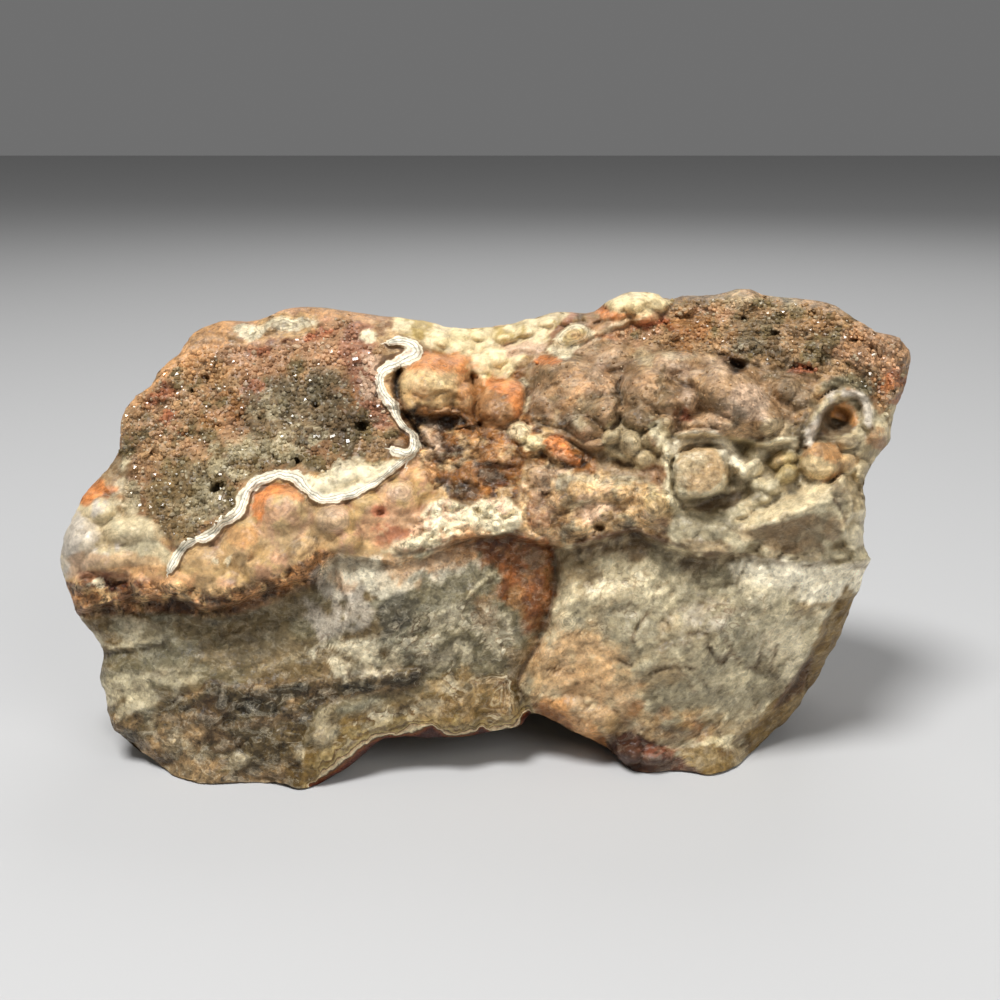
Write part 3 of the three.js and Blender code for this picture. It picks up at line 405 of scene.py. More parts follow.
# ledges: below the line the surface drops back, then recovers. line points are across, up, drop
ledges = {
    "shelf": {"lip": 0.7, "reach": 7.0, "line": shelfEdge},
    "blockUndercut": {
        "lip": 0.8, "reach": 4.0,
        "line": [
            (4, 44, 0.6), (9, 42.4, 1.3), (11, 41.2, 1.5), (13, 40.3, 1.2), (17, 40.2, 0.4), (21, 42.8, 1.0),
            (25, 43.0, 2.8), (29, 42.4, 3), (32.5, 41.8, 2.4), (36, 42.6, 0.8), (38, 43, 0),
        ],
    },
    "boulderStep": {
        "lip": 0.6, "reach": 3.0,
        "line": [(-12, 45.8, 0.8), (-9, 45.2, 2.0), (-5, 45.4, 1.8), (-3.4, 44.4, 0.6), (-3, 43, 0)],
    },
    "boulderFace": {
        "lip": 0.5, "reach": 2.4,
        "line": [(-11.6, 48.0, 0.4), (-9, 47.6, 0.8), (-6.5, 48.2, 0.8), (-4.4, 47.2, 0.6), (-3.6, 46.6, 0)],
    },
    "cutOrb": {
        "lip": 0.5, "reach": 2.6,
        "line": [(22, 35.2, 0.6), (23.4, 34.9, 2.2), (26.3, 36.1, 2.6), (27.3, 37.6, 2), (28.2, 38.8, 0)],
    },
    "bevelFall": {
        "lip": 0.7, "reach": 7.0,
        "line": [(30.1, 6.8, 1.2), (33.0, 9.4, 2.0), (35.7, 12.5, 2.4), (38.4, 17.8, 2.4), (40.9, 22.9, 1.6), (42, 25, 0.4)],
    },
    "leftFacet": {
        "lip": 0.4, "reach": 3.0,
        "line": [(-49.8, 16.2, 0.5), (-46, 16.7, 0.9), (-41.4, 17.6, 0.8), (-40.4, 18.2, 0)],
    },
}

ridges = {
    "laceEdge": {
        "height": 0.75, "half": 0.9,
        "line": [
            (-40, 26.6), (-39, 28.6), (-37.4, 29.6), (-35.6, 30.3), (-34.1, 31.8), (-32.5, 32.8), (-31.6, 33.6),
            (-31, 35.6), (-29.5, 37.1), (-27.2, 37.8), (-25.0, 37.5), (-23.3, 35.7), (-21.8, 34.9), (-20.2, 34.9),
            (-18.3, 35.5), (-16.4, 36.3), (-14.6, 37.3), (-13.0, 38.6), (-11.4, 40.4),
        ],
    },
    "uprightLace": {
        "height": 0.9, "half": 0.8,
        "line": [
            (-13.4, 54.0), (-12.4, 54.2), (-10.6, 53.6), (-10.6, 52.4), (-12.6, 51.4), (-14.0, 50.6),
            (-14.6, 49.2), (-14.0, 47.6), (-12.9, 46.2), (-12.2, 44.2), (-10.8, 42.6), (-10.6, 41.0), (-12.6, 40.4),
        ],
    },
    "tubeRim": {
        "height": 1.6, "half": 0.8,
        "line": [
            (37.6, 41.8), (38.0, 43.6), (38.8, 45.4), (40.0, 46.9), (41.4, 47.8), (43.2, 47.9), (44.5, 46.8),
            (45.0, 45.4), (44.9, 44.2),
        ],
    },
    "outerArch": {"height": 1.0, "half": 0.9, "line": [(38.6, 48.2), (40.2, 49.2), (42.6, 49.1), (44.8, 47.9)]},
    "whiteArch": {
        "height": 2.2, "half": 1.0,
        "line": [(20.8, 40.6), (21.8, 41.8), (23.6, 42.3), (25.6, 42.4), (27.3, 41.5), (28.4, 39.8), (29.4, 38.4)],
    },
    "whiteBar": {"height": 1.6, "half": 1.0, "line": [(29.6, 38.6), (31.2, 40.4), (32.8, 41.5), (35.6, 41.6)]},
    "paleColumn": {"height": 0.9, "half": 0.9, "line": [(18.6, 44.4), (19.4, 42.0), (20.6, 39.6), (20.9, 36.6), (21.4, 34.6)]},
    "seam": {
        "height": 0.22, "half": 0.5,
        "line": [(-12, 18.5), (-9, 20), (-6.5, 21.2), (-4.5, 22.5), (-2.5, 24.5), (-0.5, 26.2)],
    },
}

grooves = {
    "lobeValley": {
        "depth": 1.5, "half": 2.2, "line": [(7, 29), (6.9, 25), (6.2, 20.6), (4.6, 17.2), (3.2, 13.6), (3.4, 9.6)],
    },
    "valleyCrack": {
        "depth": 0.5, "half": 0.5,
        "line": [(6.8, 28), (7, 25.5), (6.3, 22), (5.2, 18), (3.5, 15.5), (2.2, 12.5), (3, 10.5), (4, 8.6)],
    },
    "boulderCrack": {
        "depth": 2.4, "half": 0.8,
        "line": [(-12.5, 50.6), (-12.6, 48.4), (-12.2, 46.4), (-11.4, 44.6), (-10, 42.8), (-9.2, 41.4)],
    },
    "boulderGap": {"depth": 1.4, "half": 0.6, "line": [(-3.4, 49.8), (-3.1, 47.4), (-2.9, 45.0), (-2.2, 43.4)]},
    "blockCrack": {
        "depth": 1.1, "half": 0.55,
        "line": [(14.9, 49.6), (14.3, 48.3), (14.8, 46.9), (14.0, 45.5), (14.5, 44.5), (13.6, 43.4)],
    },
    "blockCrackRight": {"depth": 0.6, "half": 0.5, "line": [(21.0, 49.6), (22.2, 48.9), (23.6, 48.5)]},
    "orbGap": {"depth": 1.0, "half": 0.6, "line": [(21.2, 39.8), (21.0, 37.4), (21.6, 35.0), (22.4, 33.9)]},
    "redSlot": {"depth": 1.6, "half": 0.5, "line": [(35.8, 50.7), (37.8, 50.9)]},
    "crackA": {"depth": 0.5, "half": 0.4, "line": [(14, 15.8), (15.4, 14.9), (16.3, 14.7)]},
    "crackB": {"depth": 0.5, "half": 0.4, "line": [(18, 13.7), (22, 14.4), (24, 13.5), (25, 12.2)]},
    "crackC": {
        "depth": 0.6, "half": 0.45,
        "line": [(23, 18.3), (24.8, 18.7), (25.2, 17.3), (26.2, 15.8), (27, 14.8), (27.8, 15.8)],
    },
    "crackD": {
        "depth": 0.5, "half": 0.4,
        "line": [(27.5, 17.8), (28.7, 15.7), (30.3, 14.4), (31.4, 14.6), (31.8, 16.3), (32.6, 18.2)],
    },
    "leftLine": {
        "depth": 0.35, "half": 0.35,
        "line": [(-40, 10), (-38.5, 11), (-36.5, 11.5), (-35.3, 12.7), (-33, 12), (-30, 12.3)],
    },
    "tongueGap": {"depth": 0.9, "half": 0.7, "line": [(12, 41), (14, 39.6), (16, 39.0)]},
}

# pits: across, up, half width, half height, turn, depth
pits = [
    (28.5, 51.1, 1.5, 1.1, -40, 2.2), (27.2, 52.2, 0.9, 0.6, 0, 1.0),
    (-25.0, 39.8, 0.8, 0.7, 0, 2.6), (-34.4, 36.4, 1.3, 0.5, 40, 2.4), (-16.9, 43.8, 1.0, 0.9, 0, 2.4),
    (-36.0, 49.7, 0.9, 0.4, -50, 1.8), (-37.5, 48.0, 0.4, 0.4, 0, 1.4), (41.2, 44.6, 2.5, 2.1, 0, 2.8), (41.0, 44.2, 1.2, 0.8, 0, 1.0),
    (-14.7, 33.2, 0.6, 0.5, 0, 1.0), (12.2, 31.5, 0.9, 0.5, 0, 1.6), (16.1, 30.9, 0.9, 0.5, 0, 1.6),
    (16.8, 19.0, 0.6, 0.5, 0, 1.0), (-50.4, 25.0, 1.2, 0.6, 0, 0.9), (-46.2, 24.6, 1.5, 0.5, 10, 0.9),
    (-29.3, 45.0, 0.5, 0.4, 0, 1.2), (-22.6, 46.4, 0.5, 0.6, 0, 1.2), (29.8, 57.4, 0.7, 0.5, 0, 1.6),
    (33.4, 55.2, 0.8, 0.5, 0, 1.6), (38.4, 58.0, 0.6, 0.5, 0, 1.3), (43.6, 54.2, 1.3, 0.3, 5, 1.1),
]

feet = [(-31, 9), (-23, 34), (23, 12), (22, 34)]
footing = {"round": 24.0, "sink": 1.6, "hollowHeight": 4.5}


def broadDepth(places):
    # an average of the stations, weighted by a bell curve of their distance
    total, weighted = 0, 0
    for across, up, depth in (station for group in stations.values() for station in group):
        away = (places[:, 0] - across) ** 2 + (places[:, 1] - up) ** 2
        weight = np.exp(-away / (2 * form["softness"] ** 2)) + 1e-9
        total, weighted = total + weight, weighted + weight * depth
    return weighted / total


def lumpRise(lump, places, roundness=0.5):
    # a ball at roundness 0.5, a gentle dome above 1: proud * (1 - share^2)^roundness
    if len(lump) > 6:
        roundness = lump[6]
    return lump[5] * np.maximum(0, 1 - ovalShare(lump[:5], places) ** 2) ** roundness


def scatter(shape, spacing, seed):
    # one jittered spot in each square cell inside an outline
    shape = np.array(shape, dtype=float)
    low, high = shape[:, :2].min(0), shape[:, :2].max(0)
    i, j = np.meshgrid(np.arange(low[0] // spacing, high[0] // spacing + 1),
                       np.arange(low[1] // spacing, high[1] // spacing + 1))
    i, j = i.ravel().astype(np.int64), j.ravel().astype(np.int64)
    jitter = [cornerValue(i, j, n, seed) for n in range(3)]
    spots = np.column_stack([(i + 0.2 + 0.6 * jitter[0]) * spacing, (j + 0.2 + 0.6 * jitter[1]) * spacing])
    inside = insetIn(shape, spots) > 0
    return spots[inside], jitter[2][inside]


# zones of the front, each over the ones before it: outline, three colours and the character of the surface.
# flake, point, grain and terrace are (size, height) in mm, balls is (spacing, height), stretch is (degrees, ratio),
# tone is how strongly the shade varies, shade makes all of it lighter or darker in powers of two, lacing is how much
# fine banding shows, wisps how much fine pale and dark veining, and grimeAndShade how much the recesses are darkened,
# partly grime and partly painted shade
plainZone = {
    "mottle": 4.0, "flake": (2.4, 0.3), "point": (1.4, 0.0), "grain": (0.9, 0.12), "terrace": (5.0, 0.0),
    "stretch": (0, 1.0), "tone": 0.5, "lacing": 0.2, "polish": 0.5, "grimeAndShade": 0.6, "grit": 0.3, "shade": 0.0,
    "wisps": 0.5,
}
zones = {
    "matrix": {
        "shape": [(-70, -10), (70, -10), (70, 75), (-70, 75)], "colours": ("taupe", "tan", "druseBrown"),
    },
    "leftFace": {
        "shape": [
            (-60, 21.5), (-50, 21), (-45, 21.5), (-40, 21), (-33, 20.5), (-28, 22), (-22.5, 24.5), (-20, 28),
            (-16, 28), (-12.5, 27.5), (-8, 28.8), (-3, 30.4), (1.5, 31), (6.8, 28.8), (7, 25.5), (6.3, 22),
            (5.2, 18), (3.5, 15.5), (2.2, 12.5), (3, 10.5), (4, 8), (3, 4), (-60, -5),
        ],
        "colours": ("greyFace", "faceBrown", "coolGrey"), "mottle": 5.0, "flake": (5.0, 0.2), "grain": (0.7, 0.16),
        "terrace": (8.0, 1.4), "stretch": (9, 3.0), "tone": 0.55, "lacing": 0.10, "polish": 0.42,
        "grit": 0.4,
        "grimeAndShade": 0.6,
        # darker partly as painted shade on this lower face
        "shade": -0.25,
        "wisps": 0.65,
    },
    "leftFoot": {
        "shape": [
            (-50, 8), (-42, 9.5), (-38.5, 11), (-36.5, 11.5), (-35.3, 12.7), (-33, 12), (-28, 12.6), (-21, 13),
            (-13, 13.6), (-9.6, 14), (-10, 12), (-17, 11), (-22, 9.6), (-24, 6), (-24.5, -3), (-44, -3),
        ],
        "colours": ("druseOlive", "tan", "taupe"), "mottle": 3.0, "flake": (1.8, 0.4), "grain": (0.7, 0.2),
        "terrace": (5.0, 1.3), "stretch": (10, 2.6), "tone": 0.9, "lacing": 0.05, "polish": 0.45, "grimeAndShade": 0.5,
        "grit": 0.6,
        # much darker, partly as painted shade on this low face that the light from above hardly reaches
        "shade": -1.2,
        "wisps": 1.0,
    },
    "rightFace": {
        "shape": [
            (6.8, 28.8), (7, 25.5), (6.3, 22), (5.2, 18), (3.5, 15.5), (2.2, 12.5), (3, 10.5), (4, 8), (4, -5),
            (60, -5), (60, 27.5), (45, 27.2), (41, 27.5), (38, 27), (33, 27.8), (29, 28.2), (23, 28.6), (20, 29.6),
            (17, 31), (14, 30.5), (9, 29.4),
        ],
        "colours": ("faceGrey", "warmGrey", "warmWhite"), "mottle": 4.0, "flake": (3.4, 0.4), "grain": (0.8, 0.14),
        "terrace": (6.0, 2.2), "stretch": (24, 1.9), "tone": 0.4, "lacing": 0.2, "polish": 0.42, "grimeAndShade": 0.55,
        "grit": 0.3,
        "shade": 0.1,
        "wisps": 0.55,
    },
    "shelf": {
        "shape": [
            (-56, 20.5), (-50, 21.4), (-45, 22.8), (-40, 22.8), (-36, 21.6), (-33, 22.0), (-29, 23.8), (-23, 25.8),
            (-20.2, 28.0), (-16, 27.6), (-12.5, 27.6), (-10, 32), (-7.3, 35), (-5, 37), (-8, 41), (-10, 42),
            (-12.6, 40.5), (-15, 39), (-17.6, 39.6), (-21.5, 36.4), (-24.8, 38.4), (-28, 37.8), (-31.7, 34.4),
            (-31.6, 32.8), (-34.1, 31.8), (-37.4, 29.8), (-40, 26.8), (-44, 26.8), (-50, 26.4), (-56, 27.4),
        ],
        "colours": ("tan", "pinkTan", "honeyTan"), "mottle": 2.4, "flake": (2.4, 0.2), "grain": (1.1, 0.14),
        "terrace": (4.0, 0.5), "tone": 0.45, "lacing": 0.12, "polish": 0.45, "grimeAndShade": 0.5,
        "grit": 0.22,
        "shade": 0.0,
        "wisps": 0.35,
    },
    "shelfBrink": {
        "shape": [
            (-56, 19), (-50, 20.4), (-45, 21), (-40, 21), (-36, 20.4), (-33, 20.6), (-29, 22.4), (-23, 24.6),
            (-20.4, 27), (-19.4, 28.4), (-22, 28.8), (-24.6, 27), (-28, 25.4), (-32, 24.2), (-36, 24), (-40, 24.8),
            (-45, 25), (-50, 24.8), (-56, 25),
        ],
        "colours": ("peachBrown", "umber", "tan"), "mottle": 2.0, "flake": (1.1, 0.5), "grain": (0.7, 0.3),
        "tone": 1.0, "lacing": 0.0, "polish": 0.5, "grimeAndShade": 0.6,
        "grit": 0.75,
        "shade": 0.1,
        "wisps": 0.6,
    },
    "valley": {
        "shape": [
            (-13, 42), (-12.6, 50), (-12, 52.5), (-3, 52), (3, 50), (4.4, 44), (11.5, 40), (12, 37.5), (3, 39.5),
            (2, 35), (1, 34.6), (-2.3, 34.6), (-7, 35.0), (-9, 37), (-10.5, 41),
        ],
        "colours": ("amberBrown", "umber", "tan"), "mottle": 2.4, "flake": (2.6, 0.8), "grain": (0.8, 0.2),
        "terrace": (4.0, 0.8), "tone": 1.0, "lacing": 0.05, "polish": 0.45, "grimeAndShade": 0.5,
        "grit": 0.5,
        "shade": -0.25,
        "wisps": 0.8,
    },
    "boulders": {
        "shape": [
            (-12.4, 47), (-12.2, 50), (-10.4, 52.4), (-6.6, 53.2), (-3.2, 52.2), (-2.4, 49.8), (0.6, 50), (3.0, 48.6),
            (3.2, 45.6), (2.0, 43.6), (-0.8, 43.2), (-2.8, 44.6), (-4.6, 46), (-8.6, 45.6), (-11.6, 46),
        ],
        "colours": ("peachTan", "tan", "amber"), "mottle": 2.6, "flake": (2.4, 0.4), "grain": (0.8, 0.14),
        "terrace": (3.0, 0.5), "tone": 0.6, "lacing": 0.0, "polish": 0.42, "grimeAndShade": 0.5,
        "grit": 0.3,
        "shade": -0.25,
        "wisps": 0.4,
    },
    "hollow": {
        "shape": [
            (-47, 40), (-47, 44), (-45, 47), (-42, 49.5), (-39, 52), (-36, 54), (-26, 54), (-20, 57.5), (-17, 57),
            (-17.2, 54), (-13, 54), (-15, 51.3), (-15, 48), (-13.5, 46), (-12, 43), (-13.5, 41), (-15, 39),
            (-18, 40.3), (-21, 37.5), (-24.8, 39), (-27, 38), (-30, 37.6), (-32, 35.5), (-32.2, 33.2), (-34, 32),
            (-37, 30), (-39.5, 29), (-42, 31.5), (-43, 32.6), (-46, 34.5), (-45.8, 37), (-45, 39.5),
        ],
        "colours": ("druseBrown", "druseTan", "druseOlive"), "mottle": 3.4, "flake": (3.6, 0.9),
        "point": (1.7, 0.6), "grain": (0.9, 0.1), "tone": 0.45, "lacing": 0.0, "polish": 0.4, "grimeAndShade": 0.15,
        "grit": 0.4,
        "shade": -0.35,
        "wisps": 0.25,
    },
    "crest": {
        "shape": [
            (-50, 41), (-48, 47), (-43, 51), (-38.5, 56), (-30, 60), (-22, 61), (-14, 60), (-13, 57), (-17, 57.2),
            (-21, 57), (-26, 55), (-33, 54), (-38, 52.4), (-42, 48.8), (-45.4, 45),
        ],
        "colours": ("peachTan", "pinkTan", "druseTan"), "mottle": 2.6, "flake": (1.8, 0.3), "point": (1.1, 0.25),
        "grain": (0.8, 0.16), "tone": 0.6, "lacing": 0.1, "polish": 0.42,
        "grit": 0.45,
        "shade": -0.3,
        "wisps": 0.4,
    },
    "saddle": {
        "shape": [
            (-13, 55.6), (-13, 60), (9, 62), (9, 58.4), (6.8, 55), (5.5, 53.5), (3.2, 52.6), (1.9, 51),
            (1, 49.5), (-2, 49.5), (-4, 50.5), (-4.6, 52), (-7, 52.8), (-9, 53.6), (-11, 54.6),
        ],
        "colours": ("cream", "yellowCream", "paleOlive"), "mottle": 2.4, "flake": (1.5, 0.12), "grain": (0.9, 0.12),
        "balls": (1.5, 0.6), "tone": 0.3, "lacing": 0.05, "polish": 0.44, "grimeAndShade": 0.4,
        "grit": 0.2,
        "shade": -0.1,
        "wisps": 0.2,
    },
    "block": {
        "shape": [
            (4, 53.4), (3.6, 47), (4, 44), (6, 43.4), (9, 42.4), (12, 41), (17, 40.4), (20.6, 42.5), (25, 42.9),
            (29, 42.4), (33, 42), (36.6, 42.8), (37.6, 46), (38.5, 49), (34, 50.5), (28, 52), (22, 52.6), (16, 54.4),
            (12, 54.6), (7, 53.4),
        ],
        "colours": ("druseTan", "pinkGrey", "taupe"), "mottle": 3.0, "flake": (2.6, 0.45), "point": (1.2, 0.0),
        "grain": (0.8, 0.2), "tone": 0.7, "lacing": 0.05, "polish": 0.5, "grimeAndShade": 0.4,
        "grit": 0.4,
        "shade": -0.35,
        "wisps": 0.6,
    },
    "crown": {
        "shape": [
            (12, 55), (17, 56.4), (20.4, 57.6), (20.6, 62), (55, 64), (55, 43), (47.4, 43.6), (45.4, 47), (41, 49.6),
            (37, 50), (33, 51), (27, 52.4), (22, 52.5), (16, 54.2),
        ],
        "colours": ("crownBrown", "druseTan", "druseOlive"), "mottle": 3.0, "flake": (3.0, 0.8),
        "point": (1.7, 0.6), "grain": (0.9, 0.24), "tone": 0.5, "lacing": 0.0, "polish": 0.4, "grimeAndShade": 0.25,
        "grit": 0.6,
        "shade": -0.3,
        "wisps": 0.35,
    },
    "cluster": {
        "shape": [
            (19, 44), (20.4, 40.5), (20.9, 34.5), (20, 31.8), (21, 29.5), (23.5, 28.3), (29.5, 28.2), (34, 27.5),
            (38, 26.9), (41, 27.3), (47, 27.2), (52, 45), (46, 47), (41, 48.4), (38, 45), (36.5, 42.7), (32, 42),
            (28, 42.5), (25, 43), (21, 42.8),
        ],
        "colours": ("warmWhite", "paleGrey", "cream"), "mottle": 2.4, "flake": (2.6, 0.4), "grain": (0.8, 0.12),
        "terrace": (3.0, 0.5), "tone": 0.4, "lacing": 0.06, "polish": 0.42, "grimeAndShade": 0.4,
        "grit": 0.25,
        "shade": -0.25,
        "wisps": 0.45,
    },
    "tongue": {
        "shape": [
            (2.2, 35), (2.7, 37), (3, 39.4), (6, 39), (10, 37.6), (12, 37.9), (16, 37.7), (19.5, 36.4), (21.1, 34.2),
            (20.9, 32), (19.5, 30.2), (17, 31.2), (13, 30.7), (9, 29.5), (7, 29.2), (3.5, 30.5), (2.8, 32),
        ],
        "colours": ("tan", "pinkGrey", "paleGrey"), "mottle": 2.6, "flake": (1.7, 0.4), "grain": (0.8, 0.22),
        "terrace": (3.0, 0.5), "tone": 0.8, "lacing": 0.15, "polish": 0.48, "grimeAndShade": 0.55,
        "grit": 0.5,
        "shade": 0.0,
        "wisps": 0.9,
    },
    "bubbles": {
        "shape": [
            (-13, 29.3), (-11.5, 30.4), (-9.8, 32.6), (-8.4, 34.4), (-7.0, 35.2), (-5.6, 34.6), (-3.6, 33.8),
            (-2.3, 34.9), (1, 35), (2.4, 33.5), (2.8, 32.3), (2, 31), (-3, 30.3), (-9, 28.9), (-12.5, 28.4),
        ],
        "colours": ("chalk", "warmWhite", "palePink"), "mottle": 1.8, "flake": (1.2, 0.5), "grain": (0.6, 0.35),
        "balls": (1.7, 0.5), "tone": 0.22, "lacing": 0.0, "polish": 0.42, "grimeAndShade": 0.3,
        "grit": 0.5,
        "shade": 0.2,
        "point": (0.9, 0.5),
        "wisps": 0.3,
    },
    "pillow": {
        "shape": [
            (-56, 24), (-55, 31.8), (-50.4, 34.6), (-48.5, 35), (-47.3, 34.7), (-46, 32.6), (-43, 32.7),
            (-41.9, 30.2), (-40.2, 28.5), (-39.9, 26.8), (-44, 26.9), (-48, 26.4), (-52, 25.6),
        ],
        "colours": ("warmWhite", "cream", "lavender"), "mottle": 3.0, "flake": (2.2, 0.16), "grain": (0.9, 0.12),
        "terrace": (3.0, 0.3), "tone": 0.3, "lacing": 0.15, "polish": 0.46,
        "grit": 0.2,
        "grimeAndShade": 0.4,
        "shade": -0.35,
        "wisps": 0.25,
    },
}
zones = {name: {**plainZone, **zone} for name, zone in zones.items()}


def ballField(places, broad, zone, seed):
    # half balls of mixed sizes round jittered spots: height * sqrt(1 - share^2), each partly level with its middle
    spacing, height = zone["balls"]
    balls = np.zeros(len(places))
    spots, picks = scatter(zone["shape"], spacing, seed)
    for (across, up), size, level in zip(spots, picks, broadDepth(spots)):
        radius = spacing * mix(0.4, 1.05, size)
        near = np.flatnonzero(np.abs(places[:, 0] - across) < radius)
        share = ((places[near, 0] - across) ** 2 + (places[near, 1] - up) ** 2) / radius**2
        ball = height * mix(0.4, 1.4, size) * np.sqrt(np.maximum(0, 1 - share))
        ball += 0.6 * form["upright"] * (broad[near] - level) * smooth(0, 0.5 * height, ball)
        balls[near] = np.maximum(balls[near], ball)
    return balls


def zoneRelief(places, zone, seed):
    # the surface's own roughness in one zone, proud of the broad form
    drawnOut = stretched(places, *zone["stretch"])
    flakeSize, flakeHeight = zone["flake"]
    pointSize, pointHeight = zone["point"]
    grainSize, grainHeight = zone["grain"]
    terraceSize, terraceHeight = zone["terrace"]
    flake, small = (crystalCells(places, size, seed)[0] for size in (flakeSize, 0.45 * flakeSize))
    relief = flakeHeight * (flake + 0.4 * small + fractal(places, 2 * flakeSize, 3, seed))
    relief += grainHeight * fractal(places, grainSize, 3, seed + 40)
    if pointHeight:
        relief += pointHeight * (crystalCells(places, pointSize, seed + 2)[1] + 0.3)
        relief += 0.4 * pointHeight * crystalCells(places, 0.5 * pointSize, seed + 3)[1]
    if terraceHeight:
        relief += terraceHeight * terraced(fractal(drawnOut, terraceSize, 5, seed + 60), 7)
    return relief


laceAreas = [
    (0.75, [(-14, 19), (-10, 21.4), (-5, 23.4), (0, 22), (3, 18), (1, 14.6), (-6, 13.6), (-12, 14.4)]),
    (0.5, [(-26, 13.4), (-22, 18.4), (-14, 18.6), (-12, 14), (-20, 12.8)]),
    (1.0, [(-24, 0), (-20, 5.5), (-18.6, 8), (-12.5, 9.6), (-8, 10.8), (-6.6, 13.5), (1.4, 14), (3.6, 9), (-1, 4)]),
    (0.6, [(9, 24), (16, 27), (20, 22), (16, 18), (9, 18)]), (0.55, [(25, 22), (33, 23), (35, 17), (28, 15)]),
    (0.3, [(-8, 28), (-2, 30), (0, 26), (-6, 24)]), (0.3, [(20.8, 42), (27, 42), (28, 36), (21, 35)]),
]
lumpRoundness = {"shelf": 1.1, "pillow": 1.2, "block": 0.75, "crown": 1.3, "tongue": 1.2, "bubbles": 1.1, "base": 0.8}


def frontRelief(places):
    # broad form, then ledges, lumps, ridges, grooves and pits, then each zone's own roughness
    broad = broadDepth(places)
    depth = broad.copy()
    wobbly = places + 0.5 * np.column_stack([fractal(places, 3.0, 4, 5), fractal(places, 3.0, 4, 6)])
    for ledge in ledges.values():
        distance, side, drop = nearestOn(ledge["line"], wobbly, 3 * ledge["reach"])
        fall = drop * smooth(0, ledge["lip"], distance) * np.exp(-((distance / ledge["reach"]) ** 2))
        depth += np.where(side < 0, fall, 0)
    rise = np.zeros(len(places))
    for group, members in lumps.items():
        for lump, level in zip(members, broadDepth(np.array([lump[:2] for lump in members], dtype=float))):
            ball = lumpRise(lump, wobbly, lumpRoundness.get(group, 0.5))
            ball += form["upright"] * (broad - level) * smooth(0, 0.5 * lump[5], ball)
            rise = np.maximum(rise, ball)
    for ridge in ridges.values():
        share = nearestOn(curved(ridge["line"]), wobbly, 3)[0] / ridge["half"]
        depth -= ridge["height"] * np.sqrt(np.maximum(0, 1 - share**2))
    for groove in grooves.values():
        depth += groove["depth"] * (1 - smooth(0, groove["half"], nearestOn(curved(groove["line"]), wobbly, 4)[0]))
    for pit in pits:
        depth += pit[5] * (1 - smooth(0.35, 1, ovalShare(pit[:5], wobbly)))
    for block in blocks:
        depth += blockDepth(block, wobbly, depth - 0.6 * rise)

    relief = np.zeros(len(places))
    for number, zone in enumerate(zones.values()):
        weight = smooth(-0.4, 0.4, insetIn(zone["shape"], wobbly))
        inside = weight > 0
        own = np.zeros(len(places))
        own[inside] = zoneRelief(places[inside], zone, 10 * number)
        if "balls" in zone:
            rise = np.maximum(rise, ballField(wobbly, broad, zone, number) * weight)
        relief = mix(relief, own, weight)
    return depth - rise - relief


# broken blocks with flat faces. each is its faces' outlines, as places with a depth, and stands in front of the rest
blocks = [
    [  # cut face of the round nodule at the right
        [(21.5, 40.0, 3.2), (24.4, 40.9, 3.4), (27.3, 40.5, 3.2), (27.9, 38.2, 2.6), (27.3, 36.0, 1.8),
         (24.2, 35.0, 1.4), (21.8, 35.6, 1.8), (21.2, 38.0, 2.6)],
    ],
    [  # pale block at the right: lit top, shaded front, steep end
        [(29.4, 31.7, 2.6), (32.0, 33.6, 4.4), (35.4, 35.8, 5.6), (37.6, 37.2, 6.0), (39.4, 36.8, 4.6),
         (40.8, 36.2, 3.4), (38.4, 33.8, 1.4), (34.4, 32.4, 1.2), (29.9, 31.0, 2.0)],
        [(29.9, 31.0, 2.0), (34.4, 32.4, 1.2), (38.4, 33.8, 1.4), (40.6, 34.6, 2.0), (41.6, 32.6, 2.8),
         (42.2, 30.6, 3.8), (40.6, 29.4, 4.2), (37.4, 28.2, 4.2), (34.4, 29.0, 3.6), (30.4, 29.5, 2.8)],
        [(38.2, 33.8, 1.4), (41.6, 37.4, 3.6), (42.6, 34.9, 3.8), (42.8, 33.0, 3.4), (41.8, 31.2, 3.2), (40.2, 32.6, 2.2)],
    ],
    [  # grey-white shelf left of it, lit from above
        [(21.2, 33.0, 3.6), (23.4, 33.4, 3.8), (26.9, 32.9, 3.4), (29.9, 31.7, 2.8), (30.4, 30.0, 1.8),
         (29.4, 28.5, 1.6), (25.4, 28.0, 1.2), (23.4, 28.5, 1.4), (21.9, 30.0, 2.2)],
    ],
    [  # wedge between the cut orb and the block
        [(27.0, 33.4, 3.0), (29.6, 34.4, 4.0), (31.8, 36.4, 5.6), (32.4, 35.4, 5.0), (30.4, 33.0, 3.4), (28.6, 32.4, 2.8)],
    ],
]


def blockDepth(block, places, present):
    # how far the blocks' flat faces are from the present surface, fading out just outside their outlines.
    # a face is the plane depth = a + b * across + c * up that fits its corners best
    total, weighted = np.zeros(len(places)), np.zeros(len(places))
    for face in block:
        corners = np.array(face)
        plane = np.linalg.lstsq(np.column_stack([np.ones(len(corners)), corners[:, :2]]), corners[:, 2], rcond=None)[0]
        weight = smooth(-0.5, 0.1, insetIn(face, places, 3))
        total += weight
        weighted += weight * (plane[0] + places @ plane[1:])
    wanted = weighted / np.maximum(total, 1e-6)
    return np.minimum(total, 1) * (wanted - present)


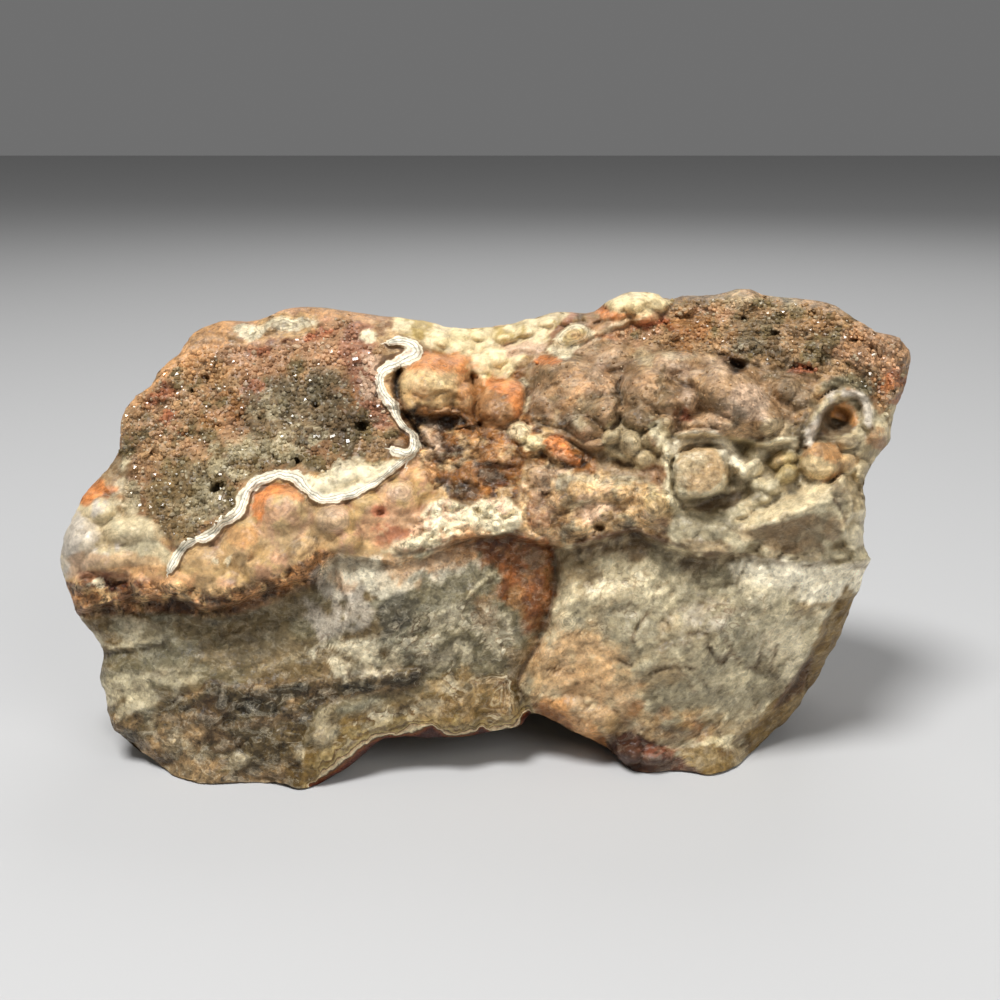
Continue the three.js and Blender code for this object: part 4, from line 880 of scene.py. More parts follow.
def splineThrough(points, samples):
    # centripetal Catmull-Rom through the points, then spaced evenly by length
    points = np.array(points, dtype=float)[:, :2]
    padded = np.vstack([2 * points[0] - points[1], points, 2 * points[-1] - points[-2]])
    out = []
    for p0, p1, p2, p3 in zip(padded, padded[1:], padded[2:], padded[3:]):
        t0 = 0.0
        t1, t2, t3 = np.cumsum([max(np.linalg.norm(b - a), 1e-4) ** 0.5 for a, b in ((p0, p1), (p1, p2), (p2, p3))])
        t = np.linspace(t1, t2, 24, endpoint=False)[:, None]
        a1 = (t1 - t) / (t1 - t0) * p0 + (t - t0) / (t1 - t0) * p1
        a2 = (t2 - t) / (t2 - t1) * p1 + (t - t1) / (t2 - t1) * p2
        a3 = (t3 - t) / (t3 - t2) * p2 + (t - t2) / (t3 - t2) * p3
        b1 = (t2 - t) / (t2 - t0) * a1 + (t - t0) / (t2 - t0) * a2
        b2 = (t3 - t) / (t3 - t1) * a2 + (t - t1) / (t3 - t1) * a3
        out.append((t2 - t) / (t2 - t1) * b1 + (t - t1) / (t2 - t1) * b2)
    curve = np.vstack(out + [points[-1:]])
    lengths = np.concatenate([[0], np.cumsum(np.hypot(*np.diff(curve, axis=0).T))])
    at = np.asarray(samples) * lengths[-1]
    return np.column_stack([np.interp(at, lengths, curve[:, 0]), np.interp(at, lengths, curve[:, 1])])


def curved(line):
    # a smooth curve through a line's points, four steps to each, with any further values blended
    line = np.array(line, dtype=float)
    lengths = np.concatenate([[0], np.cumsum(np.hypot(*np.diff(line[:, :2], axis=0).T))])
    steps = np.linspace(0, 1, 4 * len(line))
    others = [np.interp(steps, lengths / lengths[-1], column) for column in line[:, 2:].T]
    return np.column_stack([splineThrough(line, steps), *others])


def shares(count):
    # steps across a patch, closer together near both ends
    ends = np.minimum(np.arange(count), np.arange(count)[::-1])
    steps = np.where(ends < 6, 0.4 + 0.1 * ends, 1.0)
    return np.concatenate([[0], np.cumsum(steps) / steps.sum()])


runNames = list(outline)
runs = {name: outline[name] + [outline[after][0]] for name, after in zip(runNames, runNames[1:] + runNames[:1])}
outlineLine = np.vstack([splineThrough(runs[name], np.linspace(0, 1, 80))[:-1] for name in runNames])
outlineLine = np.vstack([outlineLine, outlineLine[:1]])


def patch(below, above, left, right):
    # a grid of places between four curves: blend of opposite curves less the blend of the corners
    u, v = np.meshgrid(shares(len(below) - 1), shares(len(left) - 1))
    u, v = u[..., None], v[..., None]
    places = (1 - v) * below[None] + v * above[None] + (1 - u) * left[:, None] + u * right[:, None]
    return places - ((1 - u) * (1 - v) * below[0] + u * (1 - v) * below[-1] + (1 - u) * v * above[0] + u * v * above[-1])


across = shares(form["columns"])
upBelow, upAbove = shares(form["rowsBelow"]), shares(form["rowsAbove"])
shelfCurve = splineThrough(shelfEdge, across)
lowerPatch = patch(splineThrough(runs["base"][::-1], across), shelfCurve,
                   splineThrough(runs["leftBelow"], upBelow), splineThrough(runs["rightBelow"][::-1], upBelow))
upperPatch = patch(shelfCurve, splineThrough(runs["top"], across),
                   splineThrough(runs["leftAbove"], upAbove), splineThrough(runs["rightAbove"][::-1], upAbove))
gridPlaces = np.vstack([lowerPatch, upperPatch[1:]])
gridShape = gridPlaces.shape[:2]
places = gridPlaces.reshape(-1, 2)
inset = nearestOn(outlineLine, places, 8)[0]

# the outline is ragged on the scale of the grains, only ever inwards
toMiddle = np.array(form["middle"]) - places
toMiddle /= np.linalg.norm(toMiddle, axis=1)[:, None]
ragged = form["raggedness"] * (1 + fractal(places, 1.6, 3, 91)) * np.exp(-inset / 1.2)
places = places + toMiddle * ragged[:, None]
print("front grid", gridShape)

relief = frontRelief(places)


def frontSurface(places, relief):
    # the rim turns back along a quarter circle, and nothing is behind the floor's line of sight
    inset = nearestOn(outlineLine, places, 8)[0]
    share = np.minimum(inset / form["rimWidth"], 1)
    rimTurn = form["rimDepth"] * (1 - np.sqrt(1 - (1 - share) ** 2))
    depth = np.minimum(relief + rimTurn, floorDepth(places) - form["toeSteepness"] * inset)
    return sightPoints(places, depth)


frontPoints = frontSurface(places, relief)
print("front relief worked out")


def gridOrder(rows, cols):
    # the rim of the grid as indexes, anticlockwise from the lower left as seen from the front
    index = np.arange(rows * cols).reshape(rows, cols)
    return np.concatenate([index[0, :-1], index[:-1, -1], index[-1, :0:-1], index[:0:-1, 0]])


angles = np.arctan2(outlineLine[:-1, 1] - form["middle"][1], outlineLine[:-1, 0] - form["middle"][0])
radii = np.hypot(outlineLine[:-1, 1] - form["middle"][1], outlineLine[:-1, 0] - form["middle"][0])
byAngle = np.argsort(angles)
backLumps = [
    (-34, 36, 9, 7, 20, 3.2), (-20, 44, 8, 6, -10, 2.8), (-28, 22, 8, 7, 0, 2.6), (-10, 30, 7, 8, 15, 2.4),
    (2, 42, 7, 5, 0, 2.2), (12, 26, 8, 7, -20, 2.8), (26, 40, 9, 8, 10, 3.4), (34, 24, 7, 8, 0, 2.6),
    (-42, 26, 5, 6, 0, 2.0), (18, 12, 7, 5, 0, 2.0), (-14, 14, 8, 5, 0, 2.2), (38, 46, 5, 4, 0, 2.0),
]


def undersideHeight(points):
    # worn flat at the feet, a rough hollow between them
    rise = np.min([np.hypot(points[:, 0] - x, points[:, 1] - y) ** 2 for x, y in feet], axis=0) / (2 * footing["round"])
    return np.clip(rise - footing["sink"], 0, footing["hollowHeight"] + 1.2 * fractal(points, 5, 4, 71))


def backCrust(places, seed):
    # knobs and tilted breaks on places in mm: height * sqrt(1 - (distance to the nearest spot / radius)^2), and
    # planes that level off by a hyperbolic tangent
    big, small = crystalCells(places, 5.4, seed), crystalCells(places, 2.4, seed + 1)
    knobs = 1.5 * np.sqrt(np.maximum(0, 1 - (big[4] / 3.6) ** 2)) + 0.6 * np.sqrt(np.maximum(0, 1 - (small[4] / 1.5) ** 2))
    return knobs, 1.2 * np.tanh(1.1 * big[0]) + 0.5 * np.tanh(small[0]) + 0.6


def backRing(share):
    # the rim carried back and in along a rounded box. returns points, the way outward and the share of the way back
    turn = share * pi / 2
    boxy = form["backBoxiness"]
    size = (cos(turn) ** boxy + sin(turn) ** boxy) ** (-1 / boxy)
    inward, back = size * cos(turn), size * sin(turn)
    rim = mix(rimPoints, softRim, smooth(0, 0.3, share))
    dx, rise = rim[:, 0] - form["backMiddle"][0], rim[:, 2] - form["backMiddle"][1]
    oval = 1 / np.hypot(dx / form["backHalfSize"][0], rise / form["backHalfSize"][1])
    dz = np.where(rise < 0, rise * mix(1, form["baseFullness"], smooth(0, 0.3, back)), rise)
    reach = inward * mix(1, oval, smooth(0.3, 0.9, back))
    points = np.column_stack([form["backMiddle"][0] + dx * reach, mix(rim[:, 1], form["backDepth"], back),
                              form["backMiddle"][1] + dz * reach])
    outward = np.column_stack([dx * reach, (points[:, 1] - rim[:, 1]) * 1.6 + 1e-6, dz * reach])
    return np.column_stack([points, outward, np.full(len(points), back)])


def roughened(base):
    # knobs, breaks and broad swellings on the back, kept behind the outline and above the floor
    points, outward, back = base[:, :3].copy(), base[:, 3:6], base[:, 6]
    outward = outward / np.linalg.norm(outward, axis=1)[:, None]
    warped = points + 1.2 * np.column_stack([fractal(points, 4, 3, seed) for seed in (64, 65, 66)])
    aroundSide = np.column_stack([32 * np.arctan2(outward[:, 2], outward[:, 0]), warped[:, 1]])
    onBack = smooth(0.8, 0.95, back)
    knobs, breaks = (mix(a, b, onBack) for a, b in zip(backCrust(aroundSide, 62), backCrust(warped[:, [0, 2]], 67)))
    rough = mix(breaks, knobs, smooth(-0.1, 0.15, fractal(points, 15, 3, 68)))
    rough += 2.4 * fractal(points, 13, 4, 61) + 0.7 * fractal(points, 2.4, 3, 63)
    swell = sum(lumpRise(one, points[:, [0, 2]], 1.5) for one in backLumps) * smooth(0.7, 0.95, back)
    points += outward * ((rough - 1.9) * smooth(0, 0.2, back))[:, None]
    points[:, 1] += swell

    seen = sightPlaces(points)
    off = seen - form["middle"]
    angle = np.arctan2(off[:, 1], off[:, 0])
    limit = np.interp(angle, angles[byAngle], radii[byAngle], period=2 * pi) * (0.996 - 0.02 * smooth(0, 0.5, back))
    tooFar = np.hypot(*off.T) > limit
    inside = form["middle"] + np.column_stack([np.cos(angle), np.sin(angle)]) * limit[:, None]
    points = np.where(tooFar[:, None], sightPoints(inside, points[:, 1]), points)
    points[:, 2] = np.maximum(points[:, 2], undersideHeight(points))
    return points, rough


rim = gridOrder(*gridShape)
every = form["rimPointsPerRingPoint"]
ringRim = rim[::every]
ringShares = form["lastRing"] * np.arange(1, form["backRings"] + 1) / form["backRings"]
wide = form["rimSmoothing"]
rimPoints = frontPoints[ringRim]
softRim = np.mean([np.roll(rimPoints, k, axis=0) for k in range(-wide, wide + 1)], axis=0)
rings = np.stack([backRing(share) for share in ringShares])

# the sheet fills in the last ring: the blend of its opposite sides less the blend of its corners
sheetShape = tuple((count - 1) // every + 1 for count in gridShape)
corners = np.cumsum([0, sheetShape[1] - 1, sheetShape[0] - 1, sheetShape[1] - 1, sheetShape[0] - 1])
lastRing = np.vstack([rings[-1], rings[-1][:1]])
sheetBottom, sheetRight, sheetTop, sheetLeft = (lastRing[a:b + 1] for a, b in zip(corners, corners[1:]))
sheet = patch(sheetBottom, sheetTop[::-1], sheetLeft[::-1], sheetRight)[1:-1, 1:-1].reshape(-1, rings.shape[2])
backPoints, backRough = roughened(np.vstack([rings.reshape(-1, rings.shape[2]), sheet]))
backShare = np.concatenate([np.repeat(ringShares, len(ringRim)), np.ones(len(sheet))])
rimBehind = np.concatenate([np.tile(ringRim, len(ringShares)), np.full(len(sheet), ringRim[0])])
drawn = np.vstack([frontPoints, backPoints])
print("back worked out,", len(drawn), "points")

# the drawn stone, in millimetres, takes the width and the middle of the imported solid
drawnLow, drawnHigh = drawn.min(0), drawn.max(0)
toMetres = (cadHigh[0] - cadLow[0]) / (drawnHigh[0] - drawnLow[0])
drawnMiddle = (drawnLow + drawnHigh) / 2
print("drawn size in mm:", drawnHigh - drawnLow, "packed size in mm:", (cadHigh - cadLow) / toMetres)
drawnMiddle[2] = 0


def toFrame(points):
    placed = (points - drawnMiddle) * toMetres
    placed[:, :2] += (cadLow[:2] + cadHigh[:2]) / 2
    return placed


def stoneFaces():
    # quads over the front grid, the rings and the sheet of the back, with fans from the rim to the first ring
    rows, cols = gridShape
    index = np.arange(rows * cols).reshape(rows, cols)
    quads = [np.stack([index[:-1, :-1], index[:-1, 1:], index[1:, 1:], index[1:, :-1]], axis=-1).reshape(-1, 4)]
    ring = rows * cols + np.arange(len(ringShares) * len(ringRim)).reshape(len(ringShares), -1)
    after = np.roll(ring, -1, axis=1)
    quads.append(np.stack([ring[:-1], ring[1:], after[1:], after[:-1]], axis=-1).reshape(-1, 4))
    index = np.zeros(sheetShape, dtype=int)
    index[1:-1, 1:-1] = ring[-1, -1] + 1 + np.arange(len(sheet)).reshape(sheetShape[0] - 2, -1)
    index.flat[gridOrder(*sheetShape)] = ring[-1]
    quads.append(np.stack([index[:-1, :-1], index[1:, :-1], index[1:, 1:], index[:-1, 1:]], axis=-1).reshape(-1, 4))
    rimRows = rim.reshape(-1, every)
    rimNext = np.roll(rim, -1).reshape(-1, every)
    half = (every + 1) // 2
    first, second = ring[0], after[0]
    triangles = [np.stack([rimNext[:, s], rimRows[:, s], first if s < half else second], axis=-1) for s in range(every)]
    triangles.append(np.stack([first, second, rimNext[:, half - 1]], axis=-1))
    return np.vstack(quads), np.vstack(triangles)


def meshFrom(name, points, quads, triangles):
    mesh = bpy.data.meshes.new(name)
    mesh.vertices.add(len(points))
    mesh.vertices.foreach_set("co", points.astype(np.float32).ravel())
    corners = np.concatenate([quads.ravel(), triangles.ravel()]).astype(np.int32)
    sizes = np.concatenate([np.full(len(quads), 4), np.full(len(triangles), 3)]).astype(np.int32)
    mesh.loops.add(len(corners))
    mesh.loops.foreach_set("vertex_index", corners)
    mesh.polygons.add(len(sizes))
    mesh.polygons.foreach_set("loop_start", np.concatenate([[0], np.cumsum(sizes)[:-1]]).astype(np.int32))
    mesh.polygons.foreach_set("use_smooth", np.ones(len(sizes), dtype=bool))
    mesh.update(calc_edges=True)
    mesh.validate()
    return mesh


stoneLow, stoneHigh = toFrame(drawn).min(0), toFrame(drawn).max(0)
fitDepth = 0.006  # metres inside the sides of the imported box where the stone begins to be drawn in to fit


def fitted(points):
    # beyond a start just inside each side: start + (place - start) * (side - start) / (farthest place - start)
    points = toFrame(points)
    for side, farthest, way in ((cadHigh, stoneHigh, 1), (cadLow, stoneLow, -1)):
        start = side - way * fitDepth
        share = np.minimum(1, (side - start) / (farthest - start))
        points = np.where(way * (points - start) > 0, start + (points - start) * share, points)
    return np.clip(points, cadLow, cadHigh)


placed = fitted(drawn)
quads, triangles = stoneFaces()
stoneMesh = meshFrom("agateStone", placed, quads, triangles)
stone = bpy.data.objects.new("agateStone", stoneMesh)
bpy.context.collection.objects.link(stone)
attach(stone, "root")
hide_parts("agate")
print("stone mesh built,", len(quads) * 2 + len(triangles), "triangles")

# colours as the screen shows them
chart = {
    "taupe": (142, 118, 88), "tan": (192, 160, 118), "honeyTan": (192, 162, 116), "pinkTan": (188, 148, 118),
    "druseBrown": (150, 116, 86), "druseTan": (172, 140, 106), "druseOlive": (120, 104, 74), "druseGrey": (106, 96, 76),
    "umber": (80, 54, 32), "umberGrey": (100, 82, 60), "crownBrown": (136, 110, 80), "greyFace": (120, 112, 88), "faceBrown": (116, 98, 68),
    "coolGrey": (132, 128, 110), "warmGrey": (146, 130, 102), "paleGrey": (164, 150, 122),
    "warmWhite": (212, 202, 174), "chalk": (232, 222, 196), "cream": (228, 212, 178), "amberBrown": (160, 108, 58),
    "yellowCream": (222, 206, 166), "paleOlive": (182, 160, 106), "paleGreen": (190, 176, 142),
    "palePink": (212, 184, 162), "lavender": (214, 206, 198), "pinkGrey": (186, 156, 128),
    "peachTan": (206, 160, 116), "peach": (204, 158, 112), "peachBrown": (164, 120, 80), "orange": (212, 132, 74),
    "amber": (196, 142, 88), "rust": (112, 62, 20), "redBrown": (92, 40, 20), "brickRed": (168, 94, 66),
    "mauve": (160, 112, 92), "olive": (116, 92, 46), "shadow": (36, 26, 18), "ironBlack": (50, 44, 32),
    "slate": (84, 80, 68), "clear": (196, 186, 158),
    "snow": (246, 240, 222), "maroon": (58, 26, 16), "wispBrown": (128, 104, 74), "faceGrey": (150, 142, 120),
}


def paint(name):
    # a chart colour, given as the screen shows it, as linear light
    c = np.array(chart[name]) / 255
    return np.where(c <= 0.04045, c / 12.92, ((c + 0.055) / 1.055) ** 2.4)


# patches of colour on the front: colour, strength, edge softness, an oval or an outline, and for a broken-up patch
# the size of its blotches
patches = [
    # upper left hollow
    ("druseGrey", 0.7, 2.0, [(-31, 43), (-31, 48), (-25, 50.5), (-18, 49), (-16.6, 44), (-17, 41), (-22, 41), (-27, 42)]),
    ("druseOlive", 0.8, 2.0, [(-44, 33), (-41, 39), (-34, 42), (-27, 41), (-28, 38), (-33, 36), (-36, 31), (-40, 29.6)]),
    ("clear", 0.55, 1.0, [(-32, 40), (-28.5, 43), (-24, 44.4), (-22, 42.4), (-24, 40.4), (-28, 38.8)], 1.6),
    ("clear", 0.5, 0.8, (-28.6, 46.2, 2.4, 1.6), 1.2), ("clear", 0.7, 1.2, (-33, 39.8, 5.0, 2.6), 1.3),
    ("clear", 0.5, 1.5, (-36.5, 34.4, 3.4, 2.4, 40), 1.2),
    ("pinkTan", 0.8, 2.0, [(-39, 52.4), (-28, 55.6), (-21, 57.5), (-16, 57), (-16.5, 51), (-24, 51), (-31, 50.4)]),
    ("mauve", 0.75, 1.0, [(-18, 57), (-15.4, 56), (-14.8, 50), (-14, 46.6), (-12.6, 43.6), (-15, 43), (-17.4, 47), (-19.6, 54)]),
    ("palePink", 0.7, 0.8, [(-17.2, 52.6), (-14.6, 52.4), (-15.0, 49), (-14.2, 46.4), (-16.2, 46.6), (-17.4, 49.6)], 2.0),
    ("brickRed", 0.65, 1.3, (-41, 47, 2.8, 2.2), 1.5), ("brickRed", 0.5, 1.2, (-40, 43.6, 2.4, 1.6), 1.5),
    ("chalk", 0.95, 0.3, (-15.9, 55.0, 1.3, 0.8)), ("brickRed", 0.7, 0.9, (-22, 55.4, 2.8, 1.0, 20), 1.2), ("brickRed", 0.6, 0.9, (-28.6, 53.2, 2.4, 0.9), 1.2),
    ("brickRed", 0.5, 0.8, (-30.5, 48.4, 1.4, 1.2), 1.0), ("amberBrown", 0.6, 0.9, (-18.4, 47.2, 1.5, 1.2), 1.0),
    ("amberBrown", 0.5, 1.6, (-34.5, 45.5, 3.6, 3.0), 2.0),
    ("umberGrey", 0.75, 1.2, [(-18, 45), (-14.6, 45), (-12.6, 42), (-14.6, 40.6), (-18, 41), (-20, 40), (-20, 42)], 1.6), ("clear", 0.7, 0.8, (-24, 42.4, 3.0, 1.6), 1.2),
    ("peachTan", 0.6, 1.4, (-36, 50.5, 4.6, 2.4, 35), 2.0), ("warmWhite", 0.6, 0.8, (-45.5, 34.6, 2.2, 2.4), 1.6),
    ("pinkTan", 0.5, 1.6, (-38, 44, 6.0, 5.0), 2.4), ("druseGrey", 0.6, 1.4, (-22, 47.6, 4.6, 3.0), 1.6),
    # left shoulder and pillow
    ("peachTan", 0.7, 1.0, (-37, 54.4, 5.4, 2.6, 28)), ("tan", 0.9, 0.4, (-26.2, 56.2, 3.9, 1.8)),
    ("chalk", 0.95, 0.3, (-26.2, 56.3, 2.9, 1.05)), ("chalk", 0.9, 0.35, (-30.3, 55.4, 1.9, 1.3)),
    ("redBrown", 0.8, 0.3, (-27.6, 54.2, 2.2, 0.35)),
    ("orange", 0.8, 0.6, [(-51.6, 34), (-50.5, 36.2), (-49.3, 37.4), (-46.9, 35.9), (-48.5, 35), (-50.5, 34)]),
    ("warmWhite", 0.8, 0.7, [(-48.6, 40), (-45.4, 39.6), (-45.6, 37), (-47.4, 35.8), (-49.5, 38)], 2.4),
    ("lavender", 0.7, 1.2, (-51.4, 29.5, 2.4, 3.4)), ("cream", 0.7, 1.0, (-43.4, 31, 2.2, 1.6)),
    ("peach", 0.6, 0.9, [(-52.5, 28), (-41, 28.4), (-40.6, 26), (-45, 25.4), (-52.5, 25.4)]),
    ("redBrown", 0.75, 0.7, (-49.9, 24.9, 1.8, 1.1)), ("redBrown", 0.7, 0.8, (-46, 24.6, 2.4, 0.9)),
    ("peachTan", 0.8, 0.8, (-39.4, 24.8, 2.8, 1.3)), ("chalk", 0.8, 0.3, (-49.3, 24.4, 0.9, 0.5), 0.8),
    # the umber band under the shelf's edge is partly its brown underside and partly painted shade under the overhang
    ("umber", 0.75, 0.8, [(-54, 22.2), (-48, 22.2), (-44, 22.8), (-38, 21.8), (-33, 21.8), (-28, 23.4), (-22, 25.6), (-21.4, 24.6),
                          (-28, 22.4), (-33, 20.8), (-40, 21), (-46, 21), (-54, 20.4)], 2.0),
    ("tan", 0.8, 0.7, [(-42, 24.6), (-38, 25), (-33, 24.6), (-30, 25.4), (-30, 24.2), (-34, 23.0), (-39, 22.8)], 1.8),
    # tan shelf
    ("amber", 0.6, 0.5, (-31.6, 30.2, 2.0, 1.5)), ("orange", 0.85, 0.35, [(-30.6, 33.4), (-30.2, 35.4), (-28.6, 36.6),
        (-25.6, 36.5), (-24.2, 35.0), (-26.6, 35.4), (-28.6, 34.4), (-29.4, 32.4)]),
    ("chalk", 1.0, 0.3, [(-24.6, 37.8), (-22.4, 37.6), (-20.8, 38.6), (-19.4, 39.7), (-17.7, 40.3), (-16.2, 39.5),
        (-14.9, 39.2), (-13.2, 39.6), (-12.0, 39.8), (-12.8, 38.2), (-14.4, 37.0), (-16.2, 36.0), (-18.3, 35.2),
        (-20.2, 34.7), (-22.2, 34.8), (-23.6, 36.0)]),
    ("pinkTan", 0.8, 1.0, [(-17, 34), (-10, 34.2), (-9.4, 31), (-13, 28.6), (-17, 29.4)]),
    ("brickRed", 0.7, 0.5, (-14.7, 33.2, 0.9, 0.7)), ("brickRed", 0.6, 0.9, (-13.6, 30.6, 2.2, 1.4), 1.2),
    ("amberBrown", 0.5, 0.8, (-12.6, 36.8, 2.4, 1.6), 1.4), ("peachTan", 0.7, 0.7, (-9.6, 38.6, 2.0, 2.2), 1.6),
    ("warmWhite", 0.6, 0.5, (-12.3, 29.1, 0.9, 0.9)), ("palePink", 0.5, 0.6, (-20.2, 32.4, 1.9, 1.7)),
    ("palePink", 0.55, 0.6, (-12.2, 35.8, 1.6, 1.3)),
    ("chalk", 0.85, 0.2, (-34.6, 27.2, 0.55, 0.5)), ("chalk", 0.85, 0.2, (-33.2, 27.2, 0.62, 0.6)),
    ("umber", 0.55, 0.9, (-24.5, 28.8, 2.6, 1.2, 25), 1.2), ("umber", 0.5, 1.2, (-30, 25.2, 3.2, 1.2, 15), 1.2),
    # boulders and valley
    ("honeyTan", 0.8, 0.6, (-8.0, 48.6, 4.3, 3.6)), ("orange", 0.7, 0.9, (-7.4, 51.5, 3.9, 1.0)),
    ("peach", 0.7, 0.8, (-8.2, 48.6, 2.6, 1.8), 2.0), ("orange", 0.45, 0.6, (-4.6, 48.0, 1.0, 1.6)), ("yellowCream", 0.35, 0.8, (-8.6, 49.4, 3.0, 1.2), 1.6),
    ("shadow", 0.9, 0.7, [(-11.8, 46.4), (-8, 46.2), (-4.6, 46), (-4.0, 43.8), (-8, 43.6), (-11.4, 44.8)]),
    ("amberBrown", 0.7, 0.9, (-6.6, 45.6, 2.6, 1.0)),
    ("peachBrown", 0.85, 0.5, (0.1, 46.2, 2.8, 3.1)), ("orange", 0.7, 0.6, [(-2.2, 48.8), (0.6, 49.6), (2.6, 48.6), (3.0, 46.0), (2.0, 43.6), (1.4, 45.6), (0.8, 47.6), (-1.4, 47.8)]),
    ("rust", 0.6, 0.6, (-0.6, 44.6, 2.0, 1.0), 1.0),
    ("cream", 0.9, 0.4, (2.4, 43.1, 1.6, 1.4)), ("yellowCream", 0.9, 0.5, (3.8, 41.7, 2.2, 1.3)),
    ("orange", 0.95, 0.4, (7.4, 41.0, 2.6, 1.1, -28)), ("rust", 0.6, 1.0, (-0.4, 38.6, 2.0, 3.0), 1.4),
    ("ironBlack", 0.6, 0.8, (-4.6, 36.0, 1.9, 1.1)), ("amber", 0.5, 1.0, (-2.0, 41.6, 2.2, 1.8), 1.6),
    ("palePink", 0.5, 0.8, (-8.4, 41.6, 1.6, 2.4), 1.6), ("clear", 0.4, 1.0, (-5.6, 39.6, 2.2, 1.6), 1.2),
    # saddle
    ("orange", 0.8, 0.5, (14, 58.0, 1.9, 1.0)), ("yellowCream", 0.9, 0.5, (16.8, 59.6, 3.8, 1.9)),
    ("cream", 0.7, 0.5, (15.6, 60.4, 2.4, 0.9)),
    ("orange", 0.85, 0.4, (5.6, 51.7, 1.7, 0.7)), ("palePink", 0.9, 0.3, [(-0.2, 53.6), (3.5, 54.2), (6, 54),
        (5.9, 52.7), (1.5, 52.3)]), ("chalk", 0.95, 0.25, [(5.6, 53.1), (7.8, 56.2), (10.5, 56.4), (11.7, 55.2),
        (10, 53.7), (8.2, 51.9), (6, 52.6)]), ("paleOlive", 0.8, 0.3, (9.1, 55.0, 1.5, 0.7, 25)),
    ("mauve", 0.8, 0.35, [(5.8, 54.4), (8.6, 58.2), (9.6, 57.8), (6.8, 54.8)]),
    ("chalk", 0.9, 0.3, [(10.5, 54.6), (13.5, 56.4), (15.2, 57.3), (17, 57.2), (14.4, 56.0), (11.6, 54.2)]),
    ("brickRed", 0.8, 0.35, [(12, 54.9), (13.7, 55.3), (17, 56.9), (20.4, 57.2), (17, 55.6), (13.7, 54.3)]),
    # lumpy block and crown
    # pale pink on the lumps' tops is partly painted highlight; umber and umberGrey in the hollows between them partly
    # painted shade
    ("palePink", 0.55, 1.2, (11.4, 49.4, 2.6, 1.4), 3.0), ("peachTan", 0.5, 1.4, (8.0, 46.6, 2.8, 2.0)), ("palePink", 0.6, 0.8, (16.0, 41.7, 1.8, 1.6)), ("umberGrey", 0.5, 1.2, (17.6, 45.0, 2.4, 1.8), 1.4),
    ("clear", 0.45, 1.5, (9.4, 45.4, 3.8, 2.0, -30), 1.6), ("clear", 0.5, 1.4, (20, 51.4, 4.0, 1.4), 1.6),
    ("palePink", 0.8, 0.8, (22.9, 46.8, 1.3, 1.7)), ("peachTan", 0.7, 1.0, (11.6, 49.6, 3.0, 1.4), 2.0), ("palePink", 0.7, 0.8, (15.8, 50.4, 2.4, 1.5), 2.0), ("palePink", 0.7, 0.8, (21.6, 50.6, 2.6, 1.3), 2.0), ("umber", 0.5, 1.0, (7.4, 44.8, 2.6, 1.4, -20), 1.6), ("brickRed", 0.85, 0.5, (22.2, 45.2, 1.4, 0.9), 1.0),
    ("palePink", 0.8, 1.2, (30.4, 46.8, 3.2, 2.2, -36)), ("umberGrey", 0.6, 1.2, (26.6, 45.2, 3.0, 2.2), 1.8),
    ("umber", 0.5, 1.2, (5.4, 46.4, 2.0, 2.4), 1.6), ("peachTan", 0.5, 1.2, (17.4, 49.6, 2.6, 1.4), 2.0),
    ("cream", 0.5, 0.8, (33.4, 43.4, 1.8, 1.2)), ("cream", 0.4, 0.9, (15.2, 42.0, 3.0, 1.4)),
    ("paleGreen", 0.6, 0.8, (19.8, 43.4, 1.5, 1.6)), ("druseGrey", 0.7, 1.6, (31.5, 55.2, 4.6, 2.8), 3.0),
    ("druseGrey", 0.6, 1.4, (34.6, 51.8, 3.0, 1.4), 2.0), ("druseGrey", 0.5, 1.4, (36.4, 47.8, 2.4, 2.0), 2.0),
    ("pinkTan", 0.7, 2.0, (45.4, 53.6, 4.4, 3.2)), ("pinkTan", 0.8, 1.0, [(12, 55), (17, 56.4), (20.4, 58), (27, 60.5), (30, 60.5), (30, 57.5), (24, 55), (16, 54)], 3.0), ("brickRed", 0.5, 0.8, (48, 48.8, 1.6, 1.8), 1.2),
    ("orange", 0.35, 0.6, (46.3, 49.0, 1.4, 1.2), 1.0), ("brickRed", 0.7, 0.4, (36.8, 50.8, 1.4, 0.5)),
    ("amberBrown", 0.6, 1.5, (24, 55.6, 4.0, 2.4, 15), 2.4), ("brickRed", 0.4, 1.0, (20, 56.4, 2.6, 1.2, 15), 1.6),
    ("umber", 0.8, 0.7, [(26.4, 52.8), (28.4, 52.6), (30.4, 51.4), (30.0, 49.8), (28.0, 50.0)]), ("shadow", 0.8, 0.3, (28.5, 51.0, 0.8, 0.6, -40)),
    ("peachTan", 0.45, 2.0, (40, 57, 5, 2.2, -20), 2.6), ("clear", 0.4, 1.5, (30, 59.6, 5.0, 1.2), 1.6),
    # pale cluster
    ("tan", 0.85, 0.35, (24.4, 38.4, 3.1, 2.9)), ("cream", 0.5, 0.6, (23.6, 39.2, 1.8, 1.4)),
    # painted shadow under the cut nodule
    ("umber", 0.75, 0.6, [(23.6, 33.6), (26.4, 35.8), (29.8, 35.6), (28.4, 34.0), (25.6, 32.8)]),
    ("amber", 0.8, 0.4, (39.4, 39.4, 2.9, 2.5, 12)), ("yellowCream", 0.7, 0.6, (38.6, 38.6, 2.0, 1.3)),
    ("tan", 0.9, 0.4, (42.6, 39.4, 1.2, 1.4)),
    ("paleOlive", 0.7, 0.4, (34.4, 39.7, 2.0, 1.3, 18)), ("paleOlive", 0.6, 0.4, (34.9, 37.9, 1.4, 1.2, 25)),
    # the umber and shadow patches on this line are painted shade in the tube's hollow
    ("cream", 0.9, 0.4, (42.2, 41.8, 1.4, 1.1)), ("umber", 0.8, 0.5, (41.0, 44.4, 2.4, 2.2)), ("shadow", 0.6, 0.4, (40.6, 43.4, 1.2, 0.6)),
    ("amber", 0.9, 0.4, (42.4, 45.3, 1.7, 1.1, -20)), ("slate", 0.5, 0.8, (40.6, 48.2, 2.6, 0.8)),
